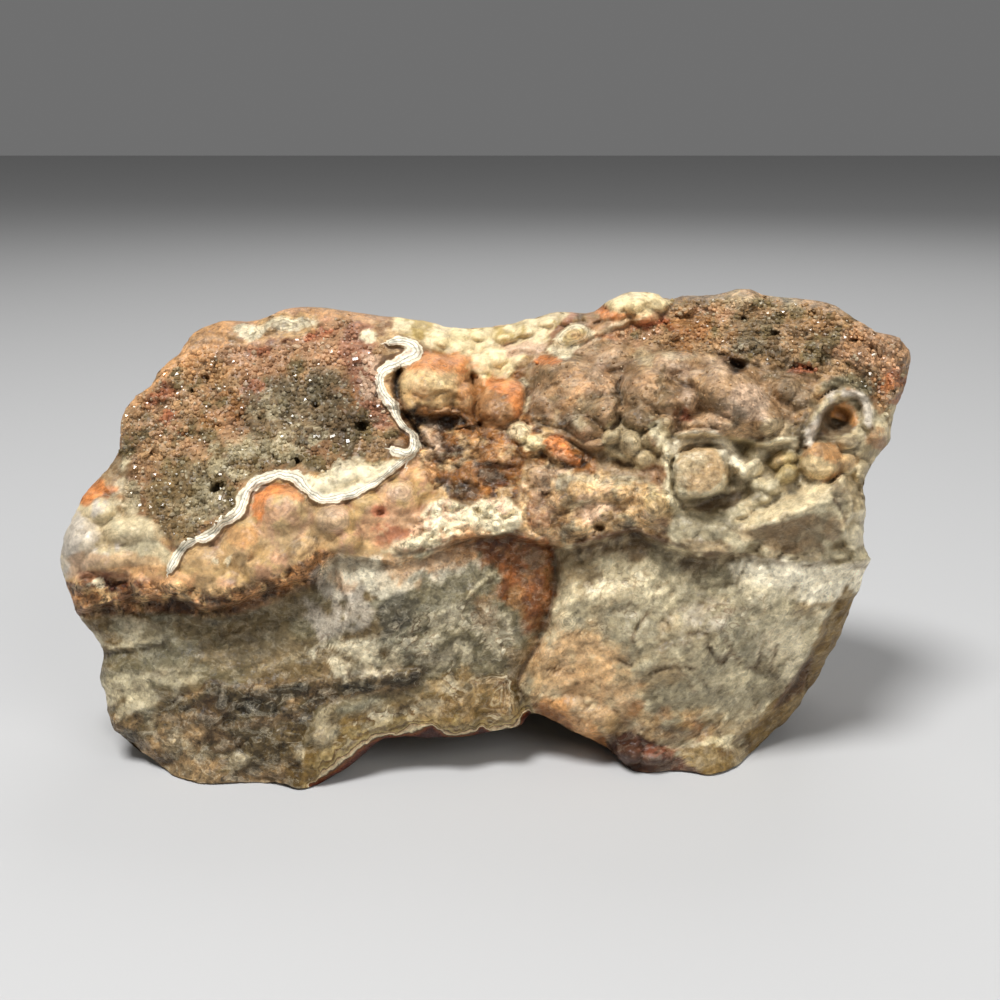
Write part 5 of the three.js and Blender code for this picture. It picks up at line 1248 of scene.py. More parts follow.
    ("greyFace", 0.7, 0.8, (42.0, 49.2, 3.0, 1.0)), ("cream", 0.8, 0.6, [(29.6, 31.6), (32.0, 33.4), (35.4, 35.7), (37.4, 37.2), (39.4, 36.9), (40.8, 36.2), (38.4, 33.9), (34.4, 32.4)]),
    # painted shade on the pale block's front face, which faces down away from the light
    ("umberGrey", 0.6, 0.7, [(27.6, 31.4), (30.2, 31.2), (34.4, 31.9), (38.4, 33.2), (41, 32.8), (40.6, 30), (37.4, 28.8), (32, 29.2)]), ("taupe", 0.75, 0.7, [(29.8, 31.4), (33, 31.9), (38, 32.8), (42.4, 32.6), (41.6, 30), (36, 28.4), (31, 28.6)], 6.0),
    ("umberGrey", 0.6, 0.5, (41.3, 35.4, 0.7, 1.6, 20)),
    ("chalk", 0.8, 0.8, [(42.5, 33.6), (45.6, 34), (45.4, 31), (44, 28.4), (41.2, 29.6)]),
    ("faceGrey", 0.85, 0.8, (25.2, 31.4, 4.6, 1.9)), ("warmWhite", 0.35, 0.8, (26.0, 30.8, 3.6, 0.9), 1.4), ("taupe", 0.6, 0.8, (24.8, 29.0, 4.0, 0.8)),
    ("clear", 0.5, 0.8, (22.0, 36.0, 0.8, 2.0)),
    ("chalk", 0.85, 0.5, [(28, 36.6), (30, 39.6), (32.6, 41.8), (36, 42.2), (35, 40.8), (32.6, 40.2), (31, 37.6), (29.4, 35.8)]),
    ("umber", 0.6, 0.7, [(36.4, 42.4), (39, 42.8), (42, 42.8), (44, 41.8), (42.6, 41.2), (39, 41.8)]), ("paleGreen", 0.7, 0.5, [(12.5, 44.2), (15, 44.4), (17.4, 43), (18.8, 41.4), (20.8, 40.8), (20.6, 38.6), (17, 39.0), (13.4, 39.9),
        (12.2, 42)]), ("chalk", 0.6, 0.6, [(18.4, 43.6), (20.4, 42.4), (21.2, 39), (21.2, 35), (20.2, 35), (19.8, 39)]),
    ("druseGrey", 0.7, 0.8, [(36.6, 43), (37.4, 48), (40, 50), (44, 49.6), (46.8, 47), (46, 46.4), (44, 48), (40.6, 47.2), (38.4, 44)], 2.4),
    ("peachBrown", 0.75, 0.8, [(44.8, 47.6), (46.8, 47), (47.8, 43.6), (46.4, 41.4), (44.8, 42.2), (45.6, 45)], 1.6),
    # tongue
    ("umber", 0.5, 1.2, [(3, 38.6), (8, 38), (9, 34), (8, 29.6), (3.6, 30.4)], 1.4),
    ("rust", 0.5, 1.2, [(3, 37), (7, 36), (8, 32), (4, 31)], 1.6),
    # the umber patches along the tongue's lower edge are painted shade under its overhang
    ("palePink", 0.7, 0.6, (12.6, 33.3, 2.2, 1.2), 1.0), ("umber", 0.7, 0.6, [(8, 30.2), (13, 31.6), (17, 31.8),
        (20, 30.6), (17, 30.4), (13, 30)], 1.2),
    ("paleOlive", 0.5, 0.8, (19.2, 34.2, 2.0, 2.0)), ("cream", 0.4, 1.0, (12.5, 36.6, 4.0, 0.9, -8), 2.0),
    ("umber", 0.65, 0.7, [(7.6, 30.2), (12, 30.8), (17, 30.8), (20.4, 29.8), (19, 28.6), (13, 29), (9, 28.4)], 1.6),
    # lower left face
    ("chalk", 0.55, 0.5, [(-52.5, 20.4), (-49.6, 16.2), (-41.4, 17.8), (-41.2, 19.4), (-45, 20.6)], 5.0),
    ("druseOlive", 0.7, 1.6, [(-40, 20.6), (-33, 20), (-24, 23), (-22, 21), (-28, 18.8), (-36, 17.6), (-41, 18)]),
    ("warmGrey", 0.6, 2.0, (-30, 16.4, 7, 2.4)), ("warmWhite", 0.75, 1.4, [(-49, 12.6), (-48, 9), (-46, 7), (-44, 6.4), (-42.6, 8.6), (-40, 10.4), (-38.4, 11.4), (-37, 13.4), (-40.4, 14.4), (-45, 14.2)], 3.4),
    ("ironBlack", 0.65, 0.9, [(-34.8, 12.2), (-28, 11.6), (-21, 11.8), (-14, 12.4), (-9.6, 13.9), (-10, 12.6),
        (-17, 11.2), (-24, 9.9), (-30, 8.6), (-34.4, 10)], 2.0),
    ("chalk", 0.8, 1.0, [(-24, 16.8), (-18, 17.6), (-12.6, 17.6), (-11.4, 14.4), (-16, 13), (-22, 13)], 1.8),
    ("lavender", 0.6, 1.6, [(-23, 26), (-18.4, 27.6), (-15, 24), (-17, 19), (-22, 18), (-24.6, 22)], 3.0),
    ("warmWhite", 0.8, 0.8, [(-14.6, 28.4), (-8.0, 28.8), (-7.4, 26.6), (-12, 25.4)], 2.0),
    ("peach", 0.5, 0.9, (-12.0, 25.2, 3.4, 1.2), 1.6),
    ("chalk", 0.5, 1.2, [(-10, 20), (-4, 22.4), (0.6, 21), (2.6, 17), (-1, 14.6), (-8, 14.6), (-12, 16.8)], 1.3),
    ("slate", 0.9, 0.7, [(-15.2, 19.6), (-14.6, 22.2), (-11.6, 23.4), (-9.6, 22.8), (-11.6, 18.4), (-14.0, 17.8)]),
    ("ironBlack", 0.7, 0.7, (-13.6, 20.4, 1.7, 1.5), 1.4), ("coolGrey", 0.35, 1.2, (-6, 24.4, 4.0, 1.6, 30)), ("ironBlack", 0.45, 1.0, (-8, 16.6, 5.0, 1.6, 12), 1.5),
    ("warmGrey", 0.6, 0.8, (-36, 1.6, 4.6, 1.4), 2.0), ("clear", 0.5, 0.8, (-39, 5.2, 4.4, 1.6, -30), 1.6),
    ("olive", 0.9, 1.2, [(-26, 4.2), (-20, 5.5), (-18.6, 8), (-12.5, 9.6), (-8, 10.8), (-6.6, 13.5), (-2, 13.5),
        (1.4, 14), (3.6, 9), (-1, 4), (-14, 3), (-22, -3), (-27, -1)]),
    ("cream", 0.7, 0.5, (-32, 3, 1.5, 1.1)), ("cream", 0.7, 0.5, (-25, 3.9, 1.8, 1.3), 1.6),
    ("cream", 0.6, 0.5, (-21.4, 6.4, 1.4, 2.4)), ("cream", 0.6, 0.5, (-6, 12, 1.4, 1.0), 1.0),
    ("cream", 0.5, 0.5, (-9, 9.3, 1.3, 1.0)), ("clear", 0.5, 1.0, (-14, 8.4, 3.4, 1.0, 12), 2.0),
    ("amberBrown", 0.7, 1.2, [(-7, 30.2), (-2, 31), (1, 30.8), (3, 29.4), (6.5, 28.8), (6.9, 25.5), (6.2, 22),
        (5.2, 18.3), (2.8, 18.3), (2, 21.5), (-0.4, 22.4), (0.6, 25.6), (-3.8, 28.4)]),
    ("rust", 0.9, 1.2, [(-7, 30.2), (1, 30.8), (6.8, 28.8), (6.4, 22), (5.2, 18.3), (2.8, 18.3), (2, 21.5),
        (-0.4, 22.4), (0.6, 25.6), (-3.8, 28.4)], 1.8),
    ("orange", 0.25, 0.8, (3.4, 27.2, 3.6, 3.0), 0.9), ("orange", 0.2, 0.8, (4.4, 23.0, 2.0, 3.0), 0.8),
    ("umber", 0.5, 0.9, (4.6, 22.0, 1.6, 2.6), 1.1), ("rust", 0.7, 0.8, (4.0, 19.6, 1.5, 3.6), 1.2),
    ("taupe", 0.6, 0.9, (4.3, 26.8, 1.2, 1.4), 1.6), ("taupe", 0.6, 1.4, [(1, 17), (5, 18), (3.6, 13), (0, 12)]),
    ("snow", 0.7, 1.6, [(-22, 26.4), (-19, 27.8), (-13, 27), (-8, 28.4), (-4, 29.6), (-3, 27.6), (-8, 25.2), (-14, 23.6), (-20, 23)],
     2.6), ("peachTan", 0.75, 1.0, [(-14, 27.2), (-8, 28.6), (-3, 30), (-1, 28.6), (-6, 26.4), (-12, 25)], 1.8),
    ("peachTan", 0.5, 1.0, [(-21, 25.4), (-18.6, 26.6), (-16.4, 24.8), (-18.4, 23.4)], 1.4),
    ("honeyTan", 0.45, 1.2, [(-8, 13.2), (1, 14), (3.4, 9.4), (3, 7), (-6, 6), (-12, 7.4)], 2.0),
    ("olive", 0.5, 1.5, [(-30, 7), (-22, 9.4), (-14, 9.6), (-16, 6.4), (-22, 3.4), (-30, 2)], 2.4),
    ("coolGrey", 0.55, 1.6, [(-47, 20), (-40, 19.4), (-38.6, 14.4), (-43, 13), (-46, 15)], 3.0),
    # lower right face
    # the chalk band, painted whiter than its chalk: partly painted light on its upward face
    ("snow", 1.0, 0.7, [(27.6, 27.0), (31, 27.8), (38, 26.9), (45.6, 27), (44.4, 24), (42.0, 22.4), (39, 22.8),
        (36.5, 22.4), (33, 23.8), (28.6, 25.2)]),
    ("chalk", 0.75, 1.4, [(28, 26), (41, 24.4), (40, 19.6), (36, 17), (33.6, 20), (30, 22)], 3.0),
    ("warmWhite", 0.7, 1.2, [(9, 26), (14, 27.6), (19, 26.6), (18, 23), (12, 21.6), (8.4, 22.6)], 2.6),
    ("warmWhite", 0.4, 1.0, [(20, 22.4), (27, 21.8), (27, 19.8), (22, 19.6)], 2.2),
    ("tan", 0.45, 4.5, [(3, 18), (8, 21), (12, 18), (17, 14), (19, 8), (12, 5), (4, 9)]), ("peachTan", 0.35, 2.4, [(3, 17), (8, 20), (12, 17), (16, 14), (18, 8), (12, 5), (4, 9)], 2.2),
    # the umberGrey patch at 13, 28.2 is painted shade under the tongue's edge
    ("amberBrown", 0.5, 0.8, (11.5, 9.2, 3.0, 1.4, -20), 1.6), ("umberGrey", 0.6, 0.7, (13, 28.2, 4.2, 0.9)), ("tan", 0.6, 1.2, [(3, 17), (6, 19.4), (7.4, 14), (6, 10), (4, 9)], 1.8), ("druseTan", 0.6, 1.6, [(8, 14), (14, 12), (20, 9), (24, 6), (14, 5), (8, 8)], 3.0),
    ("warmWhite", 0.7, 0.5, (8.3, 20, 1.2, 1.1)), ("coolGrey", 0.55, 2.0, (25, 17.6, 6, 3.6), 4.0),
    ("warmWhite", 0.8, 1.4, [(30, 21), (36, 22), (41.4, 23.4), (39.6, 18.4), (37.2, 14.4), (34.6, 13), (33, 16), (30, 18.6)], 2.6),
    # painted light again over the chalk band
    ("snow", 1.0, 0.8, [(28, 26.8), (31, 27.4), (38, 26.6), (45, 26.8), (44, 24.2), (41.6, 23.4), (36.5, 23.4), (32, 24.6)]),
    ("warmWhite", 0.5, 1.6, (27, 14, 6.0, 3.0, -20), 1.8), ("lavender", 0.25, 1.2, (26, 20.6, 4.6, 2.0), 1.8), ("chalk", 0.8, 1.2, [(31, 18.4), (36, 19), (38, 16.4), (35.4, 13), (32, 13.6)], 2.4),
    # the two umberGrey patches lie under the shelf's edge: partly a brown recess, partly painted shade there
    ("umberGrey", 0.5, 0.8, (15.8, 28.8, 4.6, 1.2), 1.4), ("umberGrey", 0.7, 0.5, (24.2, 27.2, 2.6, 0.8)), ("warmWhite", 0.6, 0.8, [(20.4, 25.6), (27, 25.2), (28.6, 23.4), (21, 23)], 1.6),
    ("olive", 0.9, 0.4, [(42.4, 24), (41, 22.6), (38.5, 17.6), (35.7, 12.4), (31.8, 8.4), (29.8, 6), (31, 1), (48, 20)]),
    ("umber", 0.8, 0.5, [(38.4, 15.6), (37.0, 11.6), (33.4, 9.0), (34.8, 11.8), (36.6, 14.8)]),
    ("umber", 0.6, 0.6, (22.4, 6.9, 4.4, 0.7)), ("amberBrown", 0.6, 0.8, (20, 8.4, 5.0, 1.4, -8), 1.8),
    ("yellowCream", 0.45, 0.5, (24.2, 4.8, 3.8, 0.8), 1.6), ("honeyTan", 0.5, 1.2, (20, 7.8, 6.0, 2.0), 2.0), ("umber", 0.5, 0.9, [(15, 8.4), (22, 7), (28, 5.4), (27, 3.4), (21, 4.8), (15, 6)], 1.8), ("olive", 0.85, 0.5, (25.2, 2.8, 4.2, 1.7)),
    ("umber", 0.5, 0.5, (28.6, 4.2, 2.2, 1.6), 1.0),
    ("umber", 0.9, 0.5, [(12.4, 5.0), (16, 6.6), (20, 4.8), (24.8, 1.2), (20, 0), (14, 0.6)]),
    ("maroon", 0.75, 0.5, [(12.4, 4.6), (13.4, 6.0), (16, 6.4), (18.6, 5.2), (22, 3.2), (24.4, 1.2), (20, 0), (14, 0.6)]),
    ("brickRed", 0.35, 0.5, (19.4, 4.0, 1.8, 0.8), 0.8),
    ("amber", 0.7, 0.8, [(5.5, 10.6), (9, 9.8), (11.6, 7), (13, 4.6), (10, 4.6), (4.6, 7.4)], 3.0),
    ("rust", 0.7, 0.5, [(3.6, 10.4), (5.6, 9.6), (8.6, 7.4), (12.4, 5.6), (12.0, 4.4), (8.6, 5.4), (4.4, 8.0)], 1.6),
    # spots all over the front: worn and stained ones, and painted shade on the pale block's front
    ("lavender", 0.5, 1.0, (-17.8, 21.0, 2.2, 2.4), 1.2), ("taupe", 0.5, 1.0, (-20.8, 13.8, 2.6, 1.2), 1.4),
    ("tan", 0.6, 0.8, (-45.2, 7.4, 1.9, 1.2), 1.2), ("coolGrey", 0.6, 0.8, (-47.4, 17.4, 1.2, 2.2), 1.2),
    ("peachTan", 0.45, 1.4, [(9, 55), (15, 57.6), (24.6, 59.2), (25, 56.6), (16, 54.6), (10, 54)], 2.0),
    ("druseTan", 0.6, 1.0, (22.4, 46.4, 2.8, 1.6, 20), 1.4), ("druseTan", 0.5, 0.9, (21.2, 49.8, 1.5, 1.2), 1.2),
    ("druseTan", 0.5, 0.9, (15.2, 50.6, 1.9, 1.6), 1.2), ("tan", 0.5, 0.8, (4.0, 40.2, 3.4, 0.9), 1.0),
    ("tan", 0.5, 0.8, (32.8, 40.4, 1.7, 1.3), 1.0), ("tan", 0.5, 0.9, (7.4, 34.0, 1.9, 1.5), 1.2),
    ("peachTan", 0.5, 0.9, (-3.2, 30.6, 2.6, 1.2), 1.2), ("tan", 0.4, 1.0, (-39.6, 31.6, 1.2, 2.6), 1.2),
    ("umberGrey", 0.45, 0.9, (-20.8, 38.2, 2.4, 1.3, 30), 1.4), ("umberGrey", 0.4, 0.8, (-14.6, 40.8, 3.6, 1.0, 5), 1.4),
    ("umberGrey", 0.4, 0.8, (-8.6, 40.4, 1.7, 2.0), 1.4), ("umberGrey", 0.3, 0.8, (-12.6, 37.8, 2.6, 1.0, 30), 1.4),
    ("taupe", 0.35, 1.4, (-14.6, 28.0, 6.0, 1.9), 2.0), ("amberBrown", 0.35, 1.4, (-2.0, 22.0, 2.0, 2.8), 1.6),
    # the taupe patches at 33.2, 31.6 and 36, 28.5 are painted shade on the pale block's front
    ("taupe", 0.5, 1.0, (12.0, 9.2, 2.8, 1.3, -20), 1.2), ("taupe", 0.5, 1.2, (33.2, 31.6, 4.4, 1.6, 10), 1.4),
    ("taupe", 0.5, 1.0, (36.0, 28.5, 3.4, 1.1), 1.2), ("umberGrey", 0.4, 1.0, (38.4, 42.2, 2.6, 1.8), 1.2),
    ("taupe", 0.5, 0.8, (17.4, 45.0, 2.2, 1.7), 1.0), ("umberGrey", 0.4, 1.0, (-42.8, 14.2, 2.4, 1.2), 1.2),
    ("coolGrey", 0.22, 2.5, [(-36, 31), (-30, 35), (-23, 35), (-22, 30), (-28, 27.6), (-35, 28)], 2.5),
    ("coolGrey", 0.25, 2.5, [(20, 23), (30, 25), (40, 24), (37, 19), (28, 18), (20, 19.6)], 2.5),
    ("coolGrey", 0.22, 2.0, [(29, 44), (36, 46), (39, 40), (37, 34), (30, 34), (28.6, 39)], 2.5),
]

# thin coloured lines on the front: colour, strength, half width, points
strokes = [
    ("shadow", 0.9, 0.45, [(-12.5, 50.4), (-12.5, 48.4), (-12.1, 46.4), (-11.3, 44.6), (-10, 42.9)]),
    ("umber", 0.6, 0.25, grooves["valleyCrack"]["line"]),
    ("umber", 0.8, 0.35, grooves["blockCrack"]["line"]), ("umber", 0.7, 0.35, grooves["blockCrackRight"]["line"]),
    ("umber", 0.7, 0.35, grooves["orbGap"]["line"]), ("umberGrey", 0.9, 0.35, grooves["crackC"]["line"]),
    ("umberGrey", 0.8, 0.25, grooves["crackA"]["line"]), ("umberGrey", 0.8, 0.25, grooves["crackB"]["line"]),
    ("umberGrey", 0.8, 0.25, grooves["crackD"]["line"]), ("umber", 0.6, 0.2, grooves["leftLine"]["line"]),
    ("umberGrey", 0.8, 0.25, [(33.6, 16.8), (33.2, 14.0), (34.2, 12.6)]),
    ("umberGrey", 0.7, 0.3, [(18.6, 21.4), (17.5, 20.2), (16.6, 19.2), (16.2, 17.6)]),
    ("umberGrey", 0.7, 0.3, [(21.0, 14.8), (22.6, 13.2), (23.5, 11.8), (24.4, 10.6)]),
    ("umberGrey", 0.6, 0.2, [(16.2, 23.0), (15.6, 21.8), (13.6, 21.0), (12.4, 21.2)]),
    ("umberGrey", 0.6, 0.2, [(19.0, 17.8), (21.0, 17.2), (23.4, 17.4)]),
    ("umberGrey", 0.6, 0.2, [(24.0, 22.4), (25.6, 21.6), (27.4, 22.0), (29.4, 21.4), (31.0, 22.0)]),
    ("umberGrey", 0.6, 0.2, [(9.4, 17.6), (11.6, 17.0), (13.0, 15.4), (14.6, 15.2)]),
    # dark line along the shelf's edge: painted shade under it
    ("umber", 0.5, 0.4, [(20, 29.5), (22.5, 28.9), (23.5, 28.1), (29.5, 28.1), (31, 27.7), (34, 27.1), (38, 26.6),
        (40, 27.3), (41, 26.8), (45.4, 26.8)]),
    ("chalk", 0.85, 0.4, [(2.6, 49.4), (3.3, 48.4), (3.3, 47), (3.0, 45.8)]),
    ("warmWhite", 0.7, 0.22, ridges["seam"]["line"]),
    ("snow", 0.95, 1.0, ridges["whiteArch"]["line"]), ("chalk", 0.95, 0.95, ridges["whiteBar"]["line"]),
    ("warmWhite", 0.9, 0.8, ridges["paleColumn"]["line"]), ("umber", 0.7, 0.22, [(40.8, 34.9), (41.6, 33.6), (42.2, 32.2)]),
    ("lavender", 0.9, 0.7, ridges["tubeRim"]["line"]), ("greyFace", 0.8, 0.6, ridges["outerArch"]["line"]),
    # dark lines along the shelf's edge: painted shade under it
    ("umber", 0.6, 0.3, [(-12.8, 28.0), (-8, 28.8), (-3, 30.2), (1.5, 30.6)]),
    ("umber", 0.8, 0.45, [(9, 29.6), (13, 30.4), (17, 31), (20, 29.6)]),
    ("warmWhite", 0.5, 0.3, [(-49.6, 16.4), (-46, 17.0), (-41.4, 17.9)]),
]


warmth = [1.03, 0.98, 0.86]  # of the light that the chart's colours were seen in


def zonePaint(places, wobbly):
    # zone colours mottled by noise, then patches and strokes with ragged edges, then lighter and darker grains
    colour = np.zeros((len(places), 3))
    character = {name: np.zeros(len(places)) for name in ("polish", "grit", "lacing", "tone", "grimeAndShade", "shade", "wisps")}
    pattern = np.zeros(len(places))
    for number, zone in enumerate(zones.values()):
        weight = smooth(-0.3, 0.3, insetIn(zone["shape"], wobbly))
        main, other, third = (paint(name) for name in zone["colours"])
        drawnOut = stretched(places, *zone["stretch"])
        mottle = fractal(drawnOut, zone["mottle"], 5, number + 100)
        veins = fractal(drawnOut, 0.6 * zone["mottle"], 5, number + 200)
        own = mix(main, other, smooth(-0.1, 0.25, mottle)[:, None])
        own = mix(own, third, smooth(0.05, 0.3, veins)[:, None])
        colour = mix(colour, own, weight[:, None])
        pick = crystalCells(places, max(0.9, 0.6 * zone["flake"][0]), number + 300)[3]
        shades = 0.5 * (pick - 0.5) + 0.9 * fractal(drawnOut, 1.6, 4, number + 400) + 0.5 * mottle + 0.5 * fractal(places, 0.8, 2, 450)
        pattern = mix(pattern, shades, weight)
        for name in character:
            character[name] = mix(character[name], zone[name], weight)
    edgeNoise, fineNoise = fractal(places, 2.4, 5, 500), fractal(places, 0.9, 3, 501)
    character["lacing"] *= smooth(-0.3, 0.1, fractal(places, 5.0, 4, 502))
    for strength, area in laceAreas:
        inset = insetIn(area, wobbly, 4) + 1.5 * edgeNoise
        character["lacing"] = np.maximum(character["lacing"], strength * smooth(-0.6, 0.8, inset))
    for number, (name, strength, soft, shape, *blotch) in enumerate(patches):
        if isinstance(shape, tuple):
            inset = (1 - ovalShare(shape, wobbly)) * min(shape[2:4])
        else:
            inset = insetIn(shape, wobbly, 4)
        weight = smooth(-0.35 * soft, 0.35 * soft, inset + 1.3 * soft * edgeNoise + 0.5 * fineNoise)
        if blotch:
            touched = weight > 0
            weight[touched] *= smooth(-0.22, 0.02, fractal(places[touched], blotch[0], 4, 600 + number))
        colour = mix(colour, paint(name), (strength * weight)[:, None])
    for name, strength, half, line in strokes:
        distance = nearestOn(curved(line), wobbly, 3)[0]
        shown = strength * (1 - smooth(0.5 * half, 1.2 * half, distance)) * smooth(-0.55, 0.0, edgeNoise + fineNoise)
        colour = mix(colour, paint(name), shown[:, None])
    return colour * warmth * 2 ** (pattern * character["tone"] + character["shade"])[:, None], character


def blurred(values, radius):
    # mean over a square of grid cells, by running sums along each axis
    values = values.reshape(gridShape)
    for axis in (0, 1):
        pad = [(radius + 1, radius) if n == axis else (0, 0) for n in (0, 1)]
        total = np.cumsum(np.pad(values, pad, mode="edge"), axis=axis)
        ahead, behind = [slice(None)] * 2, [slice(None)] * 2
        ahead[axis], behind[axis] = slice(2 * radius + 1, None), slice(None, -2 * radius - 1)
        values = (total[tuple(ahead)] - total[tuple(behind)]) / (2 * radius + 1)
    return values.ravel()


wobbly = places + 0.3 * np.column_stack([fractal(places, 1.8, 4, 7), fractal(places, 1.8, 4, 8)])
frontColour, character = zonePaint(places, wobbly)
# recesses are darkened towards brown, partly grime and partly painted shade; proud parts are lightened, partly wear and
# partly painted highlight
hollowness = np.clip((relief - blurred(relief, 7)) / 0.9, -1, 1) + np.clip((relief - blurred(relief, 2)) / 0.35, -1, 1)
grimeAndShade = character["grimeAndShade"] * smooth(0.2, 1.7, hollowness)
wearAndHighlight = 0.3 * smooth(0.2, 1.6, -hollowness)
frontColour = mix(frontColour, frontColour * [0.38, 0.30, 0.22], grimeAndShade[:, None])
frontColour = np.maximum(mix(frontColour, frontColour * 1.4 + 0.03, wearAndHighlight[:, None]), 0.004)
frontColour /= np.maximum(1, frontColour.max(axis=1) / 0.88)[:, None]
print("front painted")

# the lace: white bands with a grey line in the middle, as a share of their half width across them
laceLines = [
    [
        (-40.2, 26.2, 0.46), (-39, 28.6, 0.53), (-37.4, 29.6, 0.53), (-35.6, 30.3, 0.53), (-34.1, 31.8, 0.57),
        (-32.5, 32.8, 0.57), (-31.7, 33.8, 0.57), (-31, 35.6, 0.57), (-29.5, 37.1, 0.57), (-27.2, 37.8, 0.61),
        (-25.4, 37.7, 0.72), (-24.3, 36.9, 0.68), (-23.3, 35.7, 0.53), (-21.8, 34.9, 0.49), (-20.2, 34.9, 0.46),
        (-18.3, 35.5, 0.42), (-16.4, 36.3, 0.38), (-14.6, 37.3, 0.34), (-13.0, 38.6, 0.34), (-11.4, 40.2, 0.34),
    ],
    [
        (-13.4, 54.0, 0.3), (-12.2, 54.2, 0.5), (-10.8, 53.9, 0.6),
        (-10.0, 53.0, 0.7), (-11.2, 52.0, 0.6), (-12.8, 51.3, 0.6), (-14.2, 50.6, 0.7), (-14.8, 49.2, 0.6),
        (-14.2, 47.8, 0.6), (-13.0, 46.4, 0.6), (-12.6, 45.2, 0.4), (-11.8, 43.8, 0.4), (-10.6, 42.6, 0.5),
        (-10.4, 41.2, 0.6), (-11.4, 40.4, 0.6), (-13.0, 40.8, 0.6),
    ],
]
lace = np.full(len(places), 6.0)
for line in laceLines:
    distance, side, half = nearestOn(curved(line), wobbly, 6)
    half = half * (1.0 + 0.8 * fractal(places, 2.2, 4, 31))
    offset = side * distance / np.maximum(half, 0.25)
    lace = np.where(np.abs(offset) < np.abs(lace), offset, lace)
laceShow = smooth(3.4, 2.2, np.abs(lace))

# the rind along the lower edge: distance in from the edge, or from the scallops where there are some
rindLine = [
    (-24.4, -0.8, 0.9), (-22, 0, 1), (-18, 2.4, 1), (-16.2, 4.2, 0.9), (-14.2, 5.4, 0.8), (-10.6, 5.8, 0.9),
    (-9, 6.5, 0.8), (-8.3, 7.1, 0.3), (-7.8, 6.5, 0.6), (-7.0, 5.6, 0.9), (-5, 5.4, 1), (-2.8, 6.1, 0.8),
    (-2.1, 6.9, 0.3), (-1.6, 6.4, 0.6), (-0.4, 6.0, 0.9), (1.5, 6.4, 1), (2.8, 7.6, 0.7), (3.3, 8.9, 0.3), (3.9, 8.8, 0.6),
]
edgeWander = fractal(places, 1.5, 3, 77)
rindAway, _, rindWidth = nearestOn(curved(rindLine), wobbly, 8)
rindWidth = rindWidth * (0.8 + 0.6 * fractal(places, 1.8, 4, 32))
beneath = insetIn([point[:2] for point in rindLine] + [(3.9, -9), (-24.4, -9)], wobbly) > 0
rind = np.where(beneath, 0, rindAway / np.maximum(rindWidth, 0.25))
rind = rind + 8 * smooth(-22, -25, wobbly[:, 0] + 2 * edgeWander) + 8 * smooth(3.6, 4.6, wobbly[:, 0])

# banding: millimetres from the nearest spot, so that rings round the spots meet in cusps. near the rind they follow it
warped = places + 0.9 * np.column_stack([fractal(places, 3.5, 4, 17), fractal(places, 3.5, 4, 18)])
band = np.minimum(crystalCells(warped * [0.6, 1.0], 2.2, 19)[4], crystalCells(warped * [0.7, 1.0] + 7, 1.4, 20)[4] + 0.3)
inOlive = smooth(0, 3, insetIn(laceAreas[2][1], wobbly, 4))
band = mix(band, np.minimum(0.8 * rindAway, crystalCells(warped * [0.7, 1.0], 4.6, 21)[4]), inOlive)

# eyes: rings round a point, as a share of the eye's size, with how strongly they show
eyes = [
    ((-26.2, 56.2, 3.6, 1.5, 0), 0.8), ((9.0, 55.0, 2.2, 1.3, 25), 0.8), ((-46.8, 29.8, 2.6, 1.5, 0), 0.4),
    ((-20.0, 32.3, 1.9, 1.7, 0), 0.4), ((-12.2, 35.8, 1.7, 1.4, 0), 0.45), ((19.2, 34.1, 2.4, 2.2, 0), 0.5),
    ((14.5, 23.2, 3.0, 2.2, 0), 0.35), ((-34.6, 27.2, 1.0, 0.9, 0), 0.4), ((-33.2, 27.2, 1.0, 0.9, 0), 0.4),
    ((0.6, 9.6, 2.0, 1.8, 0), 0.7), ((-5.4, 9.4, 1.9, 1.6, 0), 0.5), ((24.4, 38.6, 2.6, 2.4, 0), 0.35),
    ((8.3, 20.0, 1.3, 1.1, 0), 0.6), ((6.0, 14.0, 2.4, 1.8, 30), 0.3), ((-26.8, 33.6, 2.6, 2.2, 0), 0.3),
]
eye, eyeShow = np.full(len(places), 4.0), np.zeros(len(places))
for oval, show in eyes:
    ring = ovalShare(oval, wobbly) + 0.12 * edgeWander
    eyeShow = np.where(ring < 1, show, eyeShow)
    eye = np.minimum(eye, ring)
print("lace, rind and eyes measured")


def backPaint(points):
    # crust colours in drifting patches: tan rind, grey chalcedony, cream knobs and rust stains; darker in the hollows
    # and lighter on the proud parts, partly grime and wear, partly painted shade and highlight
    colour = mix(paint("taupe"), paint("tan"), smooth(-0.2, 0.2, fractal(points, 16, 5, 401))[:, None])
    colour = mix(colour, paint("greyFace"), (0.9 * smooth(0.0, 0.2, fractal(points, 22, 5, 402)))[:, None])
    colour = mix(colour, paint("cream"), (0.8 * smooth(0.1, 0.3, fractal(points, 9, 5, 403)))[:, None])
    colour = mix(colour, paint("rust"), (0.75 * smooth(0.2, 0.35, fractal(points, 14, 6, 404)))[:, None])
    colour = mix(colour, paint("umber"), (0.6 * smooth(0.1, 0.4, fractal(points, 4, 5, 405)))[:, None])
    colour = mix(colour, paint("chalk"), (0.6 * smooth(0.25, 0.4, fractal(points, 3, 4, 406)))[:, None])
    # darker in the back's hollows and lighter on its proud parts: partly grime and wear, partly painted shade and
    # highlight, with random tone
    shade = mix(0.5, 1.15, smooth(-0.6, 2.2, backRough)) * 2 ** (0.8 * fractal(points, 1.6, 3, 408))
    return colour * shade[:, None]


backBlend = smooth(0.01, 0.12, backShare + 0.1 * fractal(backPoints, 5, 4, 407))[:, None]
backColour = mix(frontColour[rimBehind], backPaint(backPoints), backBlend)
backCount = len(backPoints)


def ontoBack(values, backValue):
    # a value of the front, carried from the rim over the edge and then given up for the back's own
    return np.append(values, mix(values[rimBehind], backValue, smooth(0.02, 0.3, backShare)))


